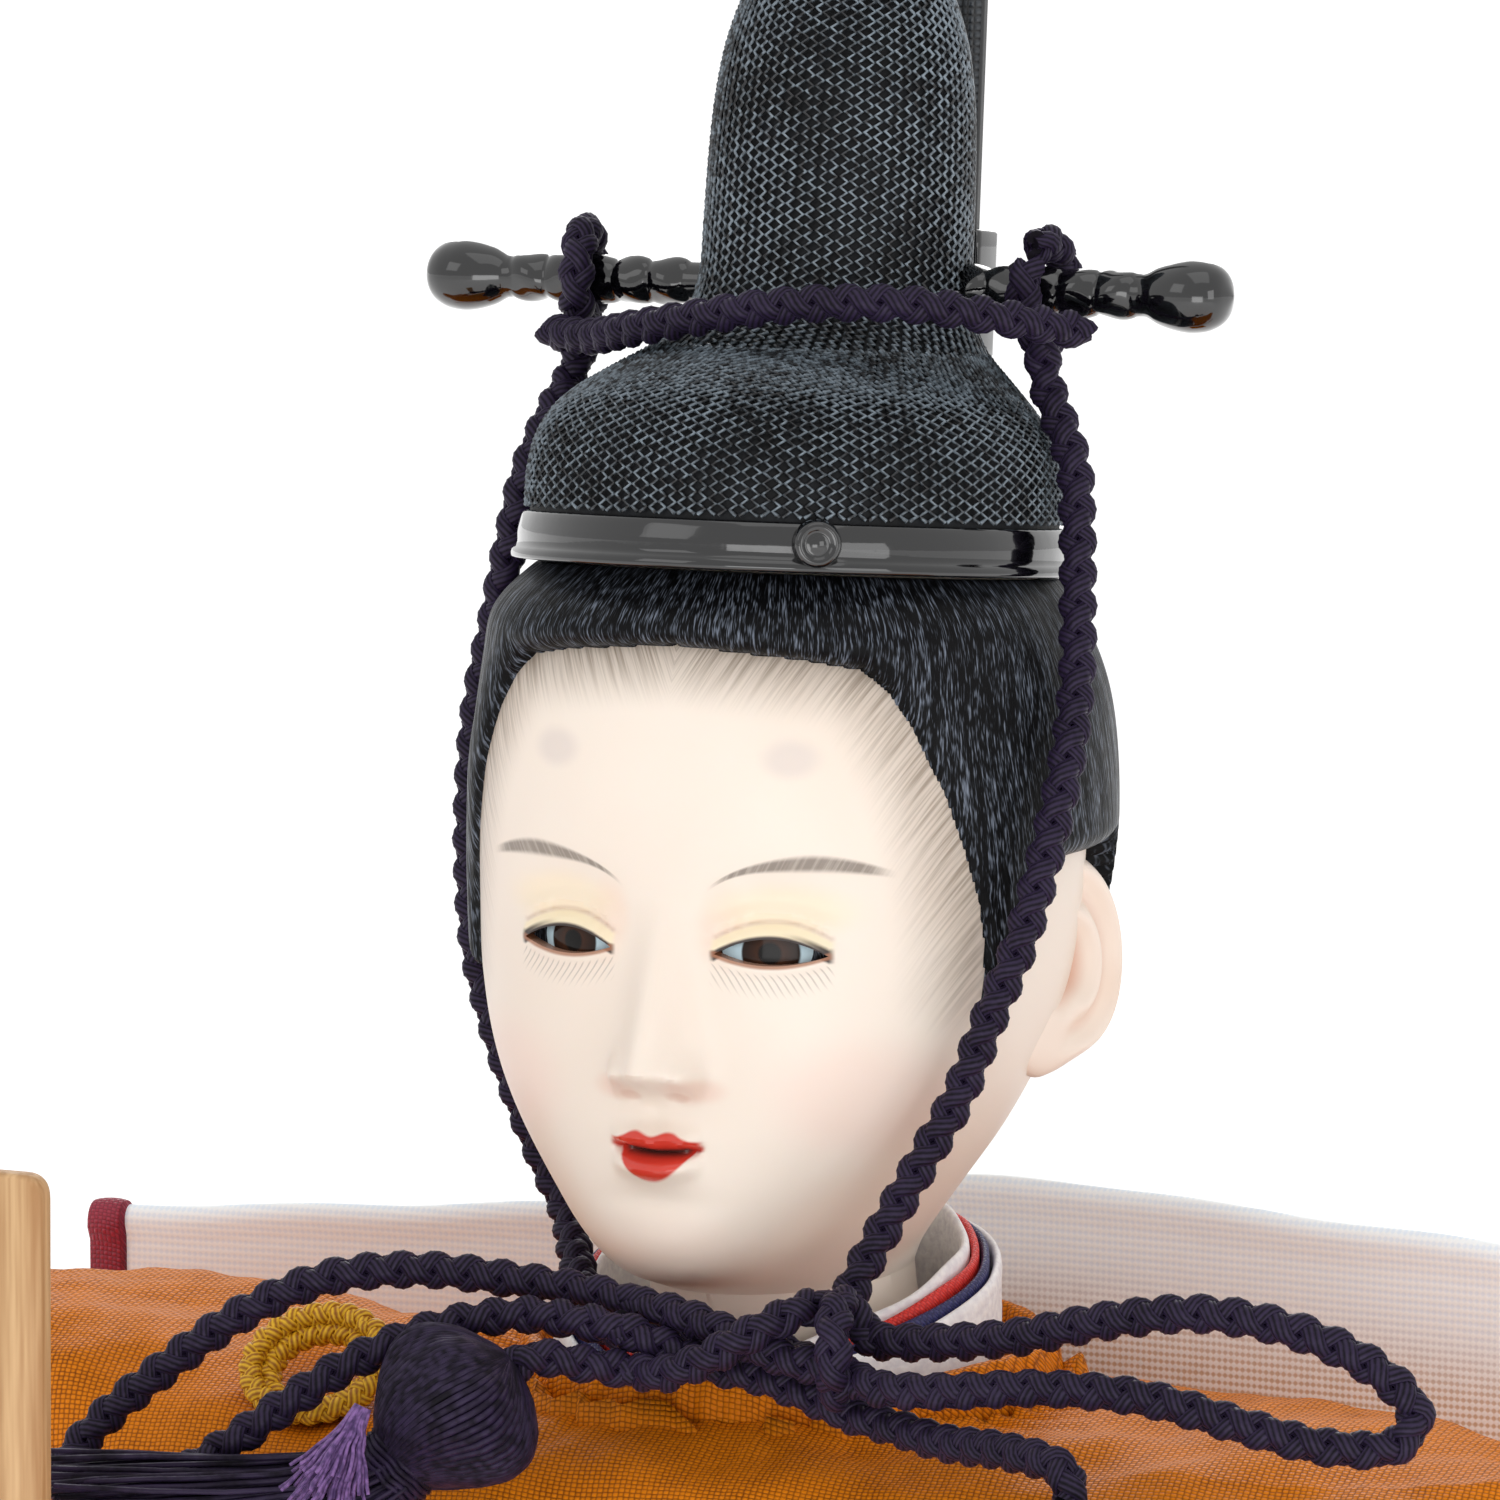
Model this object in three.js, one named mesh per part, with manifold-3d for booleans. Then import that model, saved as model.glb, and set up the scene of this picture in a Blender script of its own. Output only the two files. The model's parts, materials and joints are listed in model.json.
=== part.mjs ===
// A seated court-dress festival doll: a moulded head with glass eyes, silk hair and a netted court hat tied
// on by a braided cord, set by its peg in a straw body that is dressed in layered silk robes.
// Millimetres, +Z up. The doll faces -Y and its left hand is on +X.
// The origin is under the middle of its seat board.
import * as THREE from "three";
import { mergeVertices } from "three/addons/utils/BufferGeometryUtils.js";
import Module from "manifold-3d";

const wasm = await Module();
wasm.setup();

// Clearance between neighbours, the overrun of every cut, and the reach within which points are merged.
const gap = 0.3;
const overrun = 160;
const mergeReach = 0.001;

// The board and the straw bundle that everything stands on, and the peg that the head is set on.
const board = { width: 124, depth: 92, thick: 6, corner: 20 };
const core = {
  footRadius: 25, waistRadius: 26, topRadius: 12.4, topZ: 133.4, wrapDepth: 0.8,
  wrapShares: [0.2, 0.45, 0.66], sides: 12,
};
const peg = { radius: 3.4, length: 58, pointLength: 9, inHead: 13, sides: 10 };

// The head, a moulded shell with its neck: the heights on it are measured up from the chin.
const head = { height: 55, halfWidth: 21, front: 21.6, back: 19.2, neckRadius: 9.3, neckLength: 20 };
const headRows = 24;
const headColumns = 30;
const hairRows = 13;
const hairColumns = 22;
const neckBottomZ = core.topZ + 2 * gap;
const chinZ = neckBottomZ + head.neckLength;
const crownZ = chinZ + head.height;
// Up the head: height, half width, middle, front and back as shares of the head's sizes,
// and how square the front is.
const headRowShares = [
  [0, 0.486, -0.048, 0.625, 0.547, 2], [0.029, 0.543, -0.116, 0.847, 0.563, 2.05],
  [0.064, 0.638, -0.162, 0.954, 0.55, 2.1], [0.109, 0.729, -0.162, 0.995, 0.56, 2.15],
  [0.2, 0.845, -0.13, 1, 0.6, 2.2], [0.291, 0.918, -0.083, 0.981, 0.71, 2.25],
  [0.382, 0.967, -0.046, 0.968, 0.854, 2.3], [0.473, 0.99, -0.014, 0.958, 0.927, 2.3],
  [0.582, 0.995, 0.009, 0.954, 0.979, 2.3], [0.691, 0.971, 0.023, 0.935, 1, 2.3],
  [0.782, 0.914, 0.037, 0.88, 0.979, 2.25], [0.873, 0.8, 0.046, 0.764, 0.885, 2.15],
  [0.945, 0.595, 0.046, 0.546, 0.677, 2.05], [0.987, 0.333, 0.046, 0.278, 0.417, 2],
];
const nose = { root: 28.5, tip: 16.9, footReach: 1.7, rise: 4.2, rootHalfWidth: 1.7, tipHalfWidth: 2.5 };
// Raised on or sunk in the face: place and half sizes across and up, and rise, as shares of the head's half
// width, height and front. They are the nostrils, eye hollows, cheeks, lips, the dip below them and the chin.
const faceReliefShares = [
  [0.124, 0.298, 0.052, 0.022, 0.06], [0.362, 0.509, 0.21, 0.04, -0.042], [0.571, 0.291, 0.214, 0.091, 0.023],
  [0, 0.222, 0.138, 0.018, 0.03], [0, 0.18, 0.105, 0.02, 0.032], [0, 0.14, 0.152, 0.016, -0.016],
  [0, 0.08, 0.19, 0.04, 0.014],
];
const eye = {
  side: 7.6, rise: 24.7, halfLength: 3.6, halfHeight: 1.2, ballRadius: 9, turn: 0.3, sunk: 0.5, depth: 3.4,
};
const ear = {
  sideShare: 0.886, y: 6, rise: 21.2, halfThick: 2, halfDepth: 6.2, halfHeight: 7.9, flare: 0.14, lean: 0.3,
  dish: 1.2,
};
const earZ = chinZ + ear.rise;

// The silk hair: a front and side bundle, a deeper back bundle, and the topknot that stands inside the hat.
const hair = {
  thick: 2, rollExtra: 1, rollDrop: 8, rollReach: 3, backThick: 2.4, splitY: 7.5, napeDrop: 5.2,
  sideburnDrop: 0.2, overEar: 0.9, sideDrop: 17, edgeThinning: 0.55, seat: 0.85,
};
const hairRollZ = crownZ - hair.rollDrop;
const hairSideTopZ = crownZ - hair.sideDrop;
// Half of the hairline seen from the front, as shares of the head's half width and height.
const hairlineShares = [
  [0, 0.822], [0.148, 0.818], [0.405, 0.809], [0.581, 0.796], [0.667, 0.767], [0.738, 0.724], [0.824, 0.645],
  [0.871, 0.573], [0.9, 0.509], [0.91, 0.445], [0.905, 0.4],
];
const hairlineYShare = -0.458;
const topknot = { radius: 4.6, heightShare: 0.613, y: 6.4, sides: 14 };

// The court hat, pitched back a little: a lacquered rim, a stiff net crown with a tall hump, a pin through
// the hump, and a pocket behind it for the tail.
const hat = { sunk: 6.2, y: 0.5, pitch: (-5 * Math.PI) / 180 };
const rim = {
  widthShare: 0.895, depthShare: 1.005, height: 3.3, thick: 1.7, lip: 0.5, lipHeight: 0.9, columns: 28,
};
const rimHalfWidth = head.halfWidth * rim.widthShare;
const rimHalfDepth = ((head.front + head.back) / 2) * rim.depthShare;
const boss = { radius: 1.7, rise: 0.5, turn: (31 * Math.PI) / 180 };
const crown = { inset: 0.5, height: 40.8, wall: 0.9, rows: 11, columns: 20 };
const crownFootZ = rim.height + gap;
// Up the crown: height, half width, front and back, as shares of its height and of the rim's sizes less
// the inset.
const crownRowShares = [
  [0, 1, -1, 1], [0.07, 0.993, -0.985, 0.975], [0.135, 0.955, -0.935, 0.92], [0.19, 0.87, -0.83, 0.85],
  [0.235, 0.755, -0.63, 0.795], [0.275, 0.645, -0.42, 0.75], [0.325, 0.565, -0.255, 0.72],
  [0.4, 0.525, -0.17, 0.7], [0.5, 0.52, -0.14, 0.69], [0.61, 0.515, -0.12, 0.685], [0.72, 0.5, -0.09, 0.67],
  [0.82, 0.46, -0.05, 0.64], [0.91, 0.38, 0.03, 0.57], [0.965, 0.26, 0.12, 0.5], [1, 0.1, 0.245, 0.4],
];
const pin = {
  x: -1.5, riseShare: 0.392, halfLength: 30.9, radius: 1.45, bead: 0.3, beads: 4,
  knobRadius: 2.55, knobLength: 7, sides: 8,
};
const pinZ = crownFootZ + crown.height * pin.riseShare;
// From the beads to the tip: the knob's radius and place, as shares of its radius and length.
const pinKnobShares = [[0.72, 0.2], [0.96, 0.45], [1, 0.62], [0.86, 0.82], [0.5, 0.96]];
const tail = { width: 11, thick: 1, length: 78, rib: 1.5, ribRise: 0.3 };
const pocket = { wall: 0.7, height: 9, riseShare: 0.28 };

// The braided cord that ties the hat on, with the points of its stretches chosen by hand.
const cord = { radius: 1.35, sides: 8 };
const crownCordRoute = [
  [-20.6, 4.5, 218.2], [-16, 1.2, 218.2], [-10.6, -3.2, 219.2], [-5, -5.6, 220.2], [0.5, -6.3, 221.1],
  [6, -5.9, 221.6], [11.5, -4.2, 221.5], [16, -0.8, 220.6], [20, 4.5, 219.4],
];
const cheekCordLeftRoute = [
  [16.3, 5.4, 215.8], [18.3, 4.4, 213.2], [20, 3, 210.2], [21, 1.2, 206.4], [21.9, -0.8, 201.4],
  [23, -3.6, 196], [23.6, -7, 190.5], [23.2, -9.5, 184.8], [22.4, -11.6, 179.5], [20.8, -13.2, 174.4],
  [19.1, -14.4, 169.2], [17.2, -15.9, 165], [15.4, -17.5, 161], [14.2, -19.6, 157.6], [13.8, -21.8, 155.2],
];
const cheekCordRightRoute = [
  [-18.9, 4.4, 215.4], [-19.3, 1.6, 212.6], [-20.2, -0.4, 208.6], [-21, -1.3, 203.9], [-22.4, -1, 198.2],
  [-23.8, -0.8, 192.4], [-24.5, -0.6, 186.6], [-24.5, -0.8, 180.4], [-23.5, -1.8, 174.6],
  [-21.2, -3.1, 168.9], [-19.4, -3.3, 164.5], [-17.5, -3.4, 160.4], [-15.2, -4.6, 157.2],
  [-12.6, -8.4, 154.8], [-9.4, -13.2, 152.9], [-5.4, -18.2, 152], [-1.4, -20.6, 152.4], [1.6, -21.2, 153],
];
const bowLeftRoute = [
  [16.6, -23.7, 153.9], [21, -24.6, 154.3], [28.4, -26.4, 155.6], [35.9, -27.6, 157.6], [42.8, -28, 158.6],
  [49.4, -27.6, 157.7], [54.2, -26.8, 155.4], [56.4, -26.6, 153], [55.6, -27.6, 151.1], [51.5, -29, 150.8],
  [46.4, -30, 151.8], [39.4, -30.4, 153.2], [32, -30.2, 153.2], [24.4, -29.4, 152.2], [19.4, -28.4, 151.8],
  [16.1, -26.5, 152.2],
];
const bowRightRoute = [
  [0.6, -24.5, 155], [-3, -24.6, 155.7], [-8.1, -25.6, 156.3], [-14.6, -27.6, 156.9], [-20.5, -29.8, 156.3],
  [-25.8, -32, 153.9], [-31, -34.4, 149.9], [-35.2, -36.6, 145.8], [-36.6, -38.6, 142.7], [-33.4, -40, 141.6],
  [-28.7, -40, 142.9], [-23.9, -38.6, 146], [-20.4, -36.4, 148.8], [-16.9, -34, 151.4], [-11.6, -30.8, 153.8],
  [-6.6, -28.4, 154.6], [-2.6, -28, 154.4], [0.2, -27.5, 154.1],
];
const tailLeftRoute = [
  [15.5, -25.9, 149.4], [19.8, -27, 149], [24.6, -29.4, 148.8], [31, -33, 149.4], [35.8, -35.6, 149],
  [36.6, -36.4, 147.3],
];
const tailRightRoute = [[1, -27.6, 151.3], [-2, -30, 152], [-4.6, -31.6, 152.4], [-6, -32.4, 151.4]];
const cordSteps = { crown: 11, cheek: 15, bow: 19, tail: 4 };
const pinLoop = { leftSide: 15.4, rightSide: 20.1, leftTilt: -0.05, rightTilt: -0.3 };
const knot = { x: 8.6, y: -24.6, z: 153.6, halfLength: 7.8, radius: 2.7, wraps: 2, turn: 0.1 };
const tassel = { headRadius: 5.4, headLength: 10.8, skirtRadius: 7.2, length: 27, lobes: 8, lobeDepth: 0.55 };
// Down the tassel: places and widths of its head, and places along its skirt.
const tasselHeadShares = [[0, 0.3], [0.1, 0.72], [0.25, 1], [0.5, 1.02], [0.75, 0.7], [1, 0.48]];
const tasselSkirtShares = [0.15, 0.4, 0.7, 1];
const tasselLeftWay = [0.15, -0.55, -1];
const tasselRightWay = [-0.62, -0.36, -0.7];
const tuft = { radius: 2.6, length: 8, x: -13.4, y: -42.4, z: 146.6, heading: -0.7, dip: 1.1, sides: 8 };

// The neck bands: four silk layers that cross in front, each thickness in a lane of its own.
const collar = { ease: 3.2, thick: 0.5, overChin: 3.6, drop: 9.5, fallPower: 1.6, halfTurn: 1.08 * Math.PI };
const collarSteps = 20;
const collarLanes = 4;
const laneWidth = collar.thick + gap;
const collarRadius = head.neckRadius + collar.ease;
// What each layer shows at the top: how far its edge stands back from the one inside it.
const collarStep = 0.55;

// The padded torso and the over-robe on it, with heights measured up from the top of the straw.
const torso = {
  halfWidth: 64, front: 42, back: 34, footZ: 8, overCore: 12.4, rightRise: 3.6, square: 2.4, columns: 24,
  rows: 8,
};
const shoulderZ = core.topZ + torso.overCore;
const roundSides = 28;
const torsoRowShares = [
  [0, 0.92, -1.1, 1.42], [0.2, 0.86, -1.04, 1.3], [0.37, 0.78, -1, 1.12], [0.55, 0.79, -0.98, 1.02],
  [0.72, 0.85, -0.92, 0.95], [0.85, 0.93, -0.83, 0.85], [0.93, 0.985, -0.73, 0.7],
  [0.97, 0.995, -0.665, 0.56], [0.99, 0.985, -0.6, 0.44], [1, 0.95, -0.5, 0.33],
];
const robe = { thick: 1.6, seamY: 2, seatDepth: 3.4, collarHeight: 6.6, collarThick: 1.4 };
const collarInner = collarRadius + collarLanes * laneWidth * (1 + collar.halfTurn / (2 * Math.PI));
const robeSeatZ = shoulderZ - robe.seatDepth;
const binding = { width: 2.6, rise: 0.5 };
const backSheet = { thick: 1.2, yShare: 0.665, bow: 3.5, rise: 10.9, steps: 16 };
const backSheetHalfWidth = torso.halfWidth + binding.width;
// The sheet's top edge: places along its half width, and drops as shares of its rise over the shoulders.
const sheetDropShares = [[-1, 0.633], [-0.42, 0.388], [0.06, 0], [0.4, 0.058], [0.73, 0.158], [1, 0.259]];
const buttonLoop = {
  xShare: -0.408, yShare: -0.5, rise: 2.2, radius: 3.7, thick: 1.2, stretch: 1.18, tilt: 0.75,
};

// The lap: trousers over crossed knees, the robe's skirt over them, the feet and the train.
const lap = {
  halfWidth: 88, halfDepth: 62, height: 52, y: -26, power: 0.72, square: 2.3, columns: 26, rows: 8,
};
const lapFootZ = 2 * gap;
const skirt = { halfWidth: 66, thick: 1.8, bandWidth: 9, bandRise: 0.7 };
const sock = { halfWidth: 6.5, halfLength: 15, height: 10, x: 12, reach: 2, turn: 0.9 };
const train = { halfWidth: 34, length: 65.4, thick: 5, waves: 5, waveDepth: 1.4, flare: 0.12, steps: 15 };

// A sleeve's hem and the edge of its top, as shares of its reach, its depth and the shoulder's height.
const sleeve = {
  reach: 154, depth: 64, shoulderDrop: 0.8, hemZ: 1.2, folds: 7, foldDepth: 2.6, bulge: 5,
  columns: 27, rows: 5,
};
const sleeveTopZ = shoulderZ - sleeve.shoulderDrop;
const sleeveHemShares = [
  [0.33, -0.98], [0.62, -1.05], [0.9, -0.78], [1, -0.4], [0.82, 0.02], [0.55, 0.26], [0.37, 0.22],
  [0.31, -0.3],
];
const sleeveTopShares = [
  [0.3, -0.84, 0.6], [0.5, -0.6, 0.78], [0.86, -0.5, 0.76], [0.93, -0.36, 0.75], [0.72, -0.08, 0.91],
  [0.5, 0.08, 0.985], [0.385, 0.1, 0.99], [0.36, -0.2, 0.965],
];
// The right forearm is lifted to hold the baton, so its sleeve rises with it.
const sleeveLiftShares = [0.2, 0.07, 0.02, 0.01, 0.01, 0.012, 0.014, 0.018];

// The straw arms from shoulder to wrist, as shares of the sleeve's sizes, and the hands beyond the wrists.
const arm = { radius: 5, sides: 8, steps: 11 };
const armLeftShares = [
  [0.175, 0.047, 0.903], [0.377, 0.03, 0.89], [0.52, -0.094, 0.814], [0.455, -0.5, 0.634],
  [0.312, -0.78, 0.497],
];
const armRightShares = [
  [-0.175, 0.047, 0.903], [-0.377, 0.03, 0.897], [-0.506, -0.125, 0.855], [-0.429, -0.5625, 0.772],
  [-0.28, -0.884, 0.691],
];
const hand = {
  palmHalfLength: 4.6, palmHalfWidth: 5.6, palmHalfThick: 3.6,
  fingerRadius: 1.5, fingerLength: 9.4, fingers: 4,
};
const handLeft = { fromWrist: [-6, -4.6, -4.4], heading: -0.7, dip: -0.4 };
const handRight = { fromWrist: [4, -1.4, -0.6], heading: 0, dip: 0 };
// The baton in the right fist: a thin wooden tablet, wider above.
const shaku = { fromPalm: [8, 0, -11.6], length: 79.4, width: 9.6, footWidth: 8, thick: 1.7, corner: 1.6 };

// Materials, by the finish that they stand for.
const shell = new THREE.MeshStandardMaterial({ color: 0xf3e9e0, roughness: 0.55 });
const glass = new THREE.MeshStandardMaterial({ color: 0x2c1a14, roughness: 0.08 });
const blackSilk = new THREE.MeshStandardMaterial({ color: 0x1c1d21, roughness: 0.5 });
const lacquer = new THREE.MeshStandardMaterial({ color: 0x0b0b0d, roughness: 0.12 });
const net = new THREE.MeshStandardMaterial({ color: 0x23272b, roughness: 0.45 });
const purpleCord = new THREE.MeshStandardMaterial({ color: 0x281f33, roughness: 0.6 });
const purpleTuft = new THREE.MeshStandardMaterial({ color: 0x5a3378, roughness: 0.7 });
const whiteSilk = new THREE.MeshStandardMaterial({ color: 0xe9e6e2, roughness: 0.7 });
const redSilk = new THREE.MeshStandardMaterial({ color: 0xb3262c, roughness: 0.6 });
const navySilk = new THREE.MeshStandardMaterial({ color: 0x2a2350, roughness: 0.6 });
const orangeSilk = new THREE.MeshStandardMaterial({ color: 0xcc7620, roughness: 0.55 });
const darkRedSilk = new THREE.MeshStandardMaterial({ color: 0x8e1630, roughness: 0.6 });
const goldCord = new THREE.MeshStandardMaterial({ color: 0xc5972a, roughness: 0.45, metalness: 0.3 });
const wood = new THREE.MeshStandardMaterial({ color: 0xcaa06d, roughness: 0.6 });
const straw = new THREE.MeshStandardMaterial({ color: 0xc9b483, roughness: 0.9 });

const doll = new THREE.Group();
const hatGroup = new THREE.Group();
const hatBaseZ = crownZ - hat.sunk;
hatGroup.position.set(0, hat.y, hatBaseZ);
hatGroup.rotation.x = hat.pitch;
doll.add(hatGroup);

function place(name, geometry, material, group = doll) {
  const mesh = new THREE.Mesh(geometry, material);
  mesh.name = name;
  group.add(mesh);
  return mesh;
}

// Turns the faces of a closed body outwards where it was built inside out, as a mirrored one is.
function faceOut(geometry) {
  const points = geometry.getAttribute("position");
  const index = geometry.index.array;
  const [a, b, c] = [new THREE.Vector3(), new THREE.Vector3(), new THREE.Vector3()];
  let volume = 0;
  for (let i = 0; i < index.length; i += 3) {
    a.fromBufferAttribute(points, index[i]);
    b.fromBufferAttribute(points, index[i + 1]);
    c.fromBufferAttribute(points, index[i + 2]);
    volume += a.dot(b.cross(c));
  }
  if (volume < 0) {
    for (let i = 0; i < index.length; i += 3) {
      [index[i + 1], index[i + 2]] = [index[i + 2], index[i + 1]];
    }
  }
  return geometry;
}

// Skins a row of rings of equal count into one closed body: capped at both ends, or joined round into a hoop.
function skin(rings, hoop = false) {
  const count = rings[0].length;
  const points = rings.flat();
  const index = [];
  const last = hoop ? rings.length : rings.length - 1;
  for (let row = 0; row < last; row++) {
    const next = (row + 1) % rings.length;
    for (let i = 0; i < count; i++) {
      const j = (i + 1) % count;
      index.push(row * count + i, row * count + j, next * count + j);
      index.push(row * count + i, next * count + j, next * count + i);
    }
  }
  if (!hoop) {
    for (const [row, up] of [[0, false], [rings.length - 1, true]]) {
      const middle = new THREE.Vector3();
      rings[row].forEach((p) => middle.addScaledVector(p, 1 / count));
      points.push(middle);
      for (let i = 0; i < count; i++) {
        const pair = [row * count + i, row * count + ((i + 1) % count)];
        index.push(points.length - 1, ...(up ? pair : pair.reverse()));
      }
    }
  }
  const geometry = new THREE.BufferGeometry();
  geometry.setAttribute("position", new THREE.Float32BufferAttribute(points.flatMap((p) => p.toArray()), 3));
  geometry.setIndex(new THREE.BufferAttribute(new Uint32Array(index), 1));
  return faceOut(geometry);
}

// A copy of a geometry that holds places alone, with its shared points merged.
function pointsMerged(geometry) {
  const bare = new THREE.BufferGeometry();
  bare.setAttribute("position", geometry.getAttribute("position").clone());
  if (geometry.index) bare.setIndex(geometry.index.clone());
  return mergeVertices(bare, mergeReach);
}

function solidOf(geometry) {
  const merged = faceOut(pointsMerged(geometry));
  return new wasm.Manifold(new wasm.Mesh({
    numProp: 3,
    vertProperties: merged.getAttribute("position").array,
    triVerts: new Uint32Array(merged.index.array),
  }));
}

function geometryOf(solid) {
  const mesh = solid.getMesh();
  const geometry = new THREE.BufferGeometry();
  geometry.setAttribute("position", new THREE.BufferAttribute(mesh.vertProperties, 3));
  geometry.setIndex(new THREE.BufferAttribute(mesh.triVerts, 1));
  return geometry;
}

// A row of a table of shares at any height, on a smooth curve through the rows.
function rowAt(table, t) {
  let i = 0;
  while (i < table.length - 2 && table[i + 1][0] < t) i++;
  const at = (k) => table[Math.min(Math.max(k, 0), table.length - 1)];
  const [before, from, to, after] = [at(i - 1), at(i), at(i + 1), at(i + 2)];
  const span = to[0] - from[0];
  const u = Math.min(Math.max((t - from[0]) / span, 0), 1);
  return from.map((value, k) => {
    const inSlope = i === 0 ? (to[k] - value) / span : (to[k] - before[k]) / (to[0] - before[0]);
    const outSlope = after === to ? (to[k] - value) / span : (after[k] - value) / (after[0] - from[0]);
    const [u2, u3] = [u * u, u * u * u];
    const held = (2 * u3 - 3 * u2 + 1) * value + (3 * u2 - 2 * u3) * to[k];
    return held + ((u3 - 2 * u2 + u) * inSlope + (u3 - u2) * outSlope) * span;
  });
}

// An oval ring at one height: the front half may be squarer than the back half.
function ovalRing({ z, halfWidth, middle, front, back, square = 2, columns, crowd = 0 }) {
  const ring = [];
  for (let i = 0; i < columns; i++) {
    const u = (2 * Math.PI * i) / columns;
    const turn = u - crowd * Math.sin(u);
    const [s, c] = [Math.sin(turn), -Math.cos(turn)];
    const power = c < 0 ? 2 / square : 1;
    const x = halfWidth * Math.sign(s) * Math.abs(s) ** power;
    const y = middle + (c < 0 ? (front - middle) * Math.abs(c) ** power : (back - middle) * c);
    ring.push(new THREE.Vector3(x, y, z));
  }
  return ring;
}

function smooth(from, to, value) {
  const t = Math.min(Math.max((value - from) / (to - from), 0), 1);
  return t * t * (3 - 2 * t);
}

function tubeAlong(route, radius, sides, steps) {
  const curve = new THREE.CatmullRomCurve3(route.map((p) => new THREE.Vector3(...p)), false, "centripetal");
  const section = new THREE.Shape();
  for (let i = 0; i < sides; i++) {
    const turn = (2 * Math.PI * i) / sides;
    const [x, y] = [radius * Math.cos(turn), radius * Math.sin(turn)];
    if (i === 0) section.moveTo(x, y);
    else section.lineTo(x, y);
  }
  return new THREE.ExtrudeGeometry(section, { steps, bevelEnabled: false, extrudePath: curve });
}

function boxBetween(low, high) {
  const size = high.map((value, i) => value - low[i]);
  const box = new THREE.BoxGeometry(...size);
  return box.translate(...low.map((value, i) => value + size[i] / 2));
}

function post(radius, lowZ, highZ, sides) {
  const cylinder = new THREE.CylinderGeometry(radius, radius, highZ - lowZ, sides);
  return cylinder.rotateX(Math.PI / 2).translate(0, 0, (lowZ + highZ) / 2);
}

function mirrored(geometry) {
  return faceOut(pointsMerged(geometry).scale(-1, 1, 1));
}

// The seat board: a flat board with rounded corners.
function roundedOutline(width, depth, corner) {
  const [x, y] = [width / 2, depth / 2];
  const shape = new THREE.Shape();
  shape.moveTo(corner - x, -y);
  shape.lineTo(x - corner, -y);
  shape.absarc(x - corner, corner - y, corner, -Math.PI / 2, 0);
  shape.lineTo(x, y - corner);
  shape.absarc(x - corner, y - corner, corner, 0, Math.PI / 2);
  shape.lineTo(corner - x, y);
  shape.absarc(corner - x, y - corner, corner, Math.PI / 2, Math.PI);
  shape.lineTo(-x, corner - y);
  shape.absarc(corner - x, corner - y, corner, Math.PI, 1.5 * Math.PI);
  return shape;
}
const boardOutline = { bevelEnabled: false, curveSegments: 5 };
place("seat_board", new THREE.ExtrudeGeometry(
  roundedOutline(board.width, board.depth, board.corner), { ...boardOutline, depth: board.thick },
), wood);
const boardRoom = solidOf(new THREE.ExtrudeGeometry(
  roundedOutline(board.width + 2 * gap, board.depth + 2 * gap, board.corner),
  { ...boardOutline, depth: board.thick + gap },
));

// The straw bundle, bound tight in three places, with the hole that takes the peg.
function coreProfile(grow, boreRadius) {
  const footZ = board.thick + gap - grow;
  const span = core.topZ - footZ;
  const profile = [new THREE.Vector2(0, footZ), new THREE.Vector2(core.footRadius + grow, footZ)];
  for (const share of core.wrapShares) {
    const z = footZ + span * share;
    profile.push(new THREE.Vector2(core.waistRadius + grow, z - 3 * core.wrapDepth));
    profile.push(new THREE.Vector2(core.waistRadius - core.wrapDepth + grow, z));
    profile.push(new THREE.Vector2(core.waistRadius + grow, z + 3 * core.wrapDepth));
  }
  profile.push(new THREE.Vector2(core.waistRadius - core.wrapDepth + grow, footZ + span * 0.8));
  profile.push(new THREE.Vector2(core.topRadius + grow, core.topZ - core.wrapDepth));
  profile.push(new THREE.Vector2(core.topRadius - core.wrapDepth + grow, core.topZ + grow));
  if (boreRadius > 0) {
    const boreFoot = neckBottomZ + peg.inHead - peg.length - gap;
    profile.push(new THREE.Vector2(boreRadius, core.topZ + grow));
    profile.push(new THREE.Vector2(boreRadius, boreFoot + peg.pointLength));
    profile.push(new THREE.Vector2(0, boreFoot));
  } else {
    profile.push(new THREE.Vector2(0, core.topZ + grow));
  }
  return profile;
}
function coreBody(grow, boreRadius) {
  return new THREE.LatheGeometry(coreProfile(grow, boreRadius), core.sides).rotateX(Math.PI / 2);
}
place("straw_core", coreBody(0, peg.radius + gap), straw);
const coreRoom = solidOf(coreBody(gap, 0));

// The peg, pointed below and seated in the neck above.
const pegTopZ = neckBottomZ + peg.inHead - gap;
const pegFootZ = neckBottomZ + peg.inHead - peg.length;
place("neck_peg", new THREE.LatheGeometry([
  new THREE.Vector2(0, pegFootZ),
  new THREE.Vector2(peg.radius, pegFootZ + peg.pointLength),
  new THREE.Vector2(peg.radius, pegTopZ),
  new THREE.Vector2(0, pegTopZ),
], peg.sides).rotateX(Math.PI / 2), wood);

// The rise of the face over the plain head at a place seen from the front.
function faceRise(x, z) {
  let rise = 0;
  for (const [side, height, halfWidth, halfHeight, lift] of faceReliefShares) {
    const dx = (Math.abs(x) / head.halfWidth - side) / halfWidth;
    const dz = ((z - chinZ) / head.height - height) / halfHeight;
    rise += head.front * lift * Math.exp(-dx * dx - dz * dz);
  }
  const up = z - chinZ;
  const down = (nose.root - up) / (nose.root - nose.tip);
  const widening = nose.tipHalfWidth - nose.rootHalfWidth;
  const width = nose.rootHalfWidth + widening * Math.min(Math.max(down, 0), 1);
  const foot = Math.exp(-(((nose.tip - up) / nose.footReach) ** 2));
  const along = down <= 1 ? Math.max(down, 0) ** 1.15 : foot;
  return rise + nose.rise * along * Math.exp(-((x / width) ** 2));
}

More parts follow.
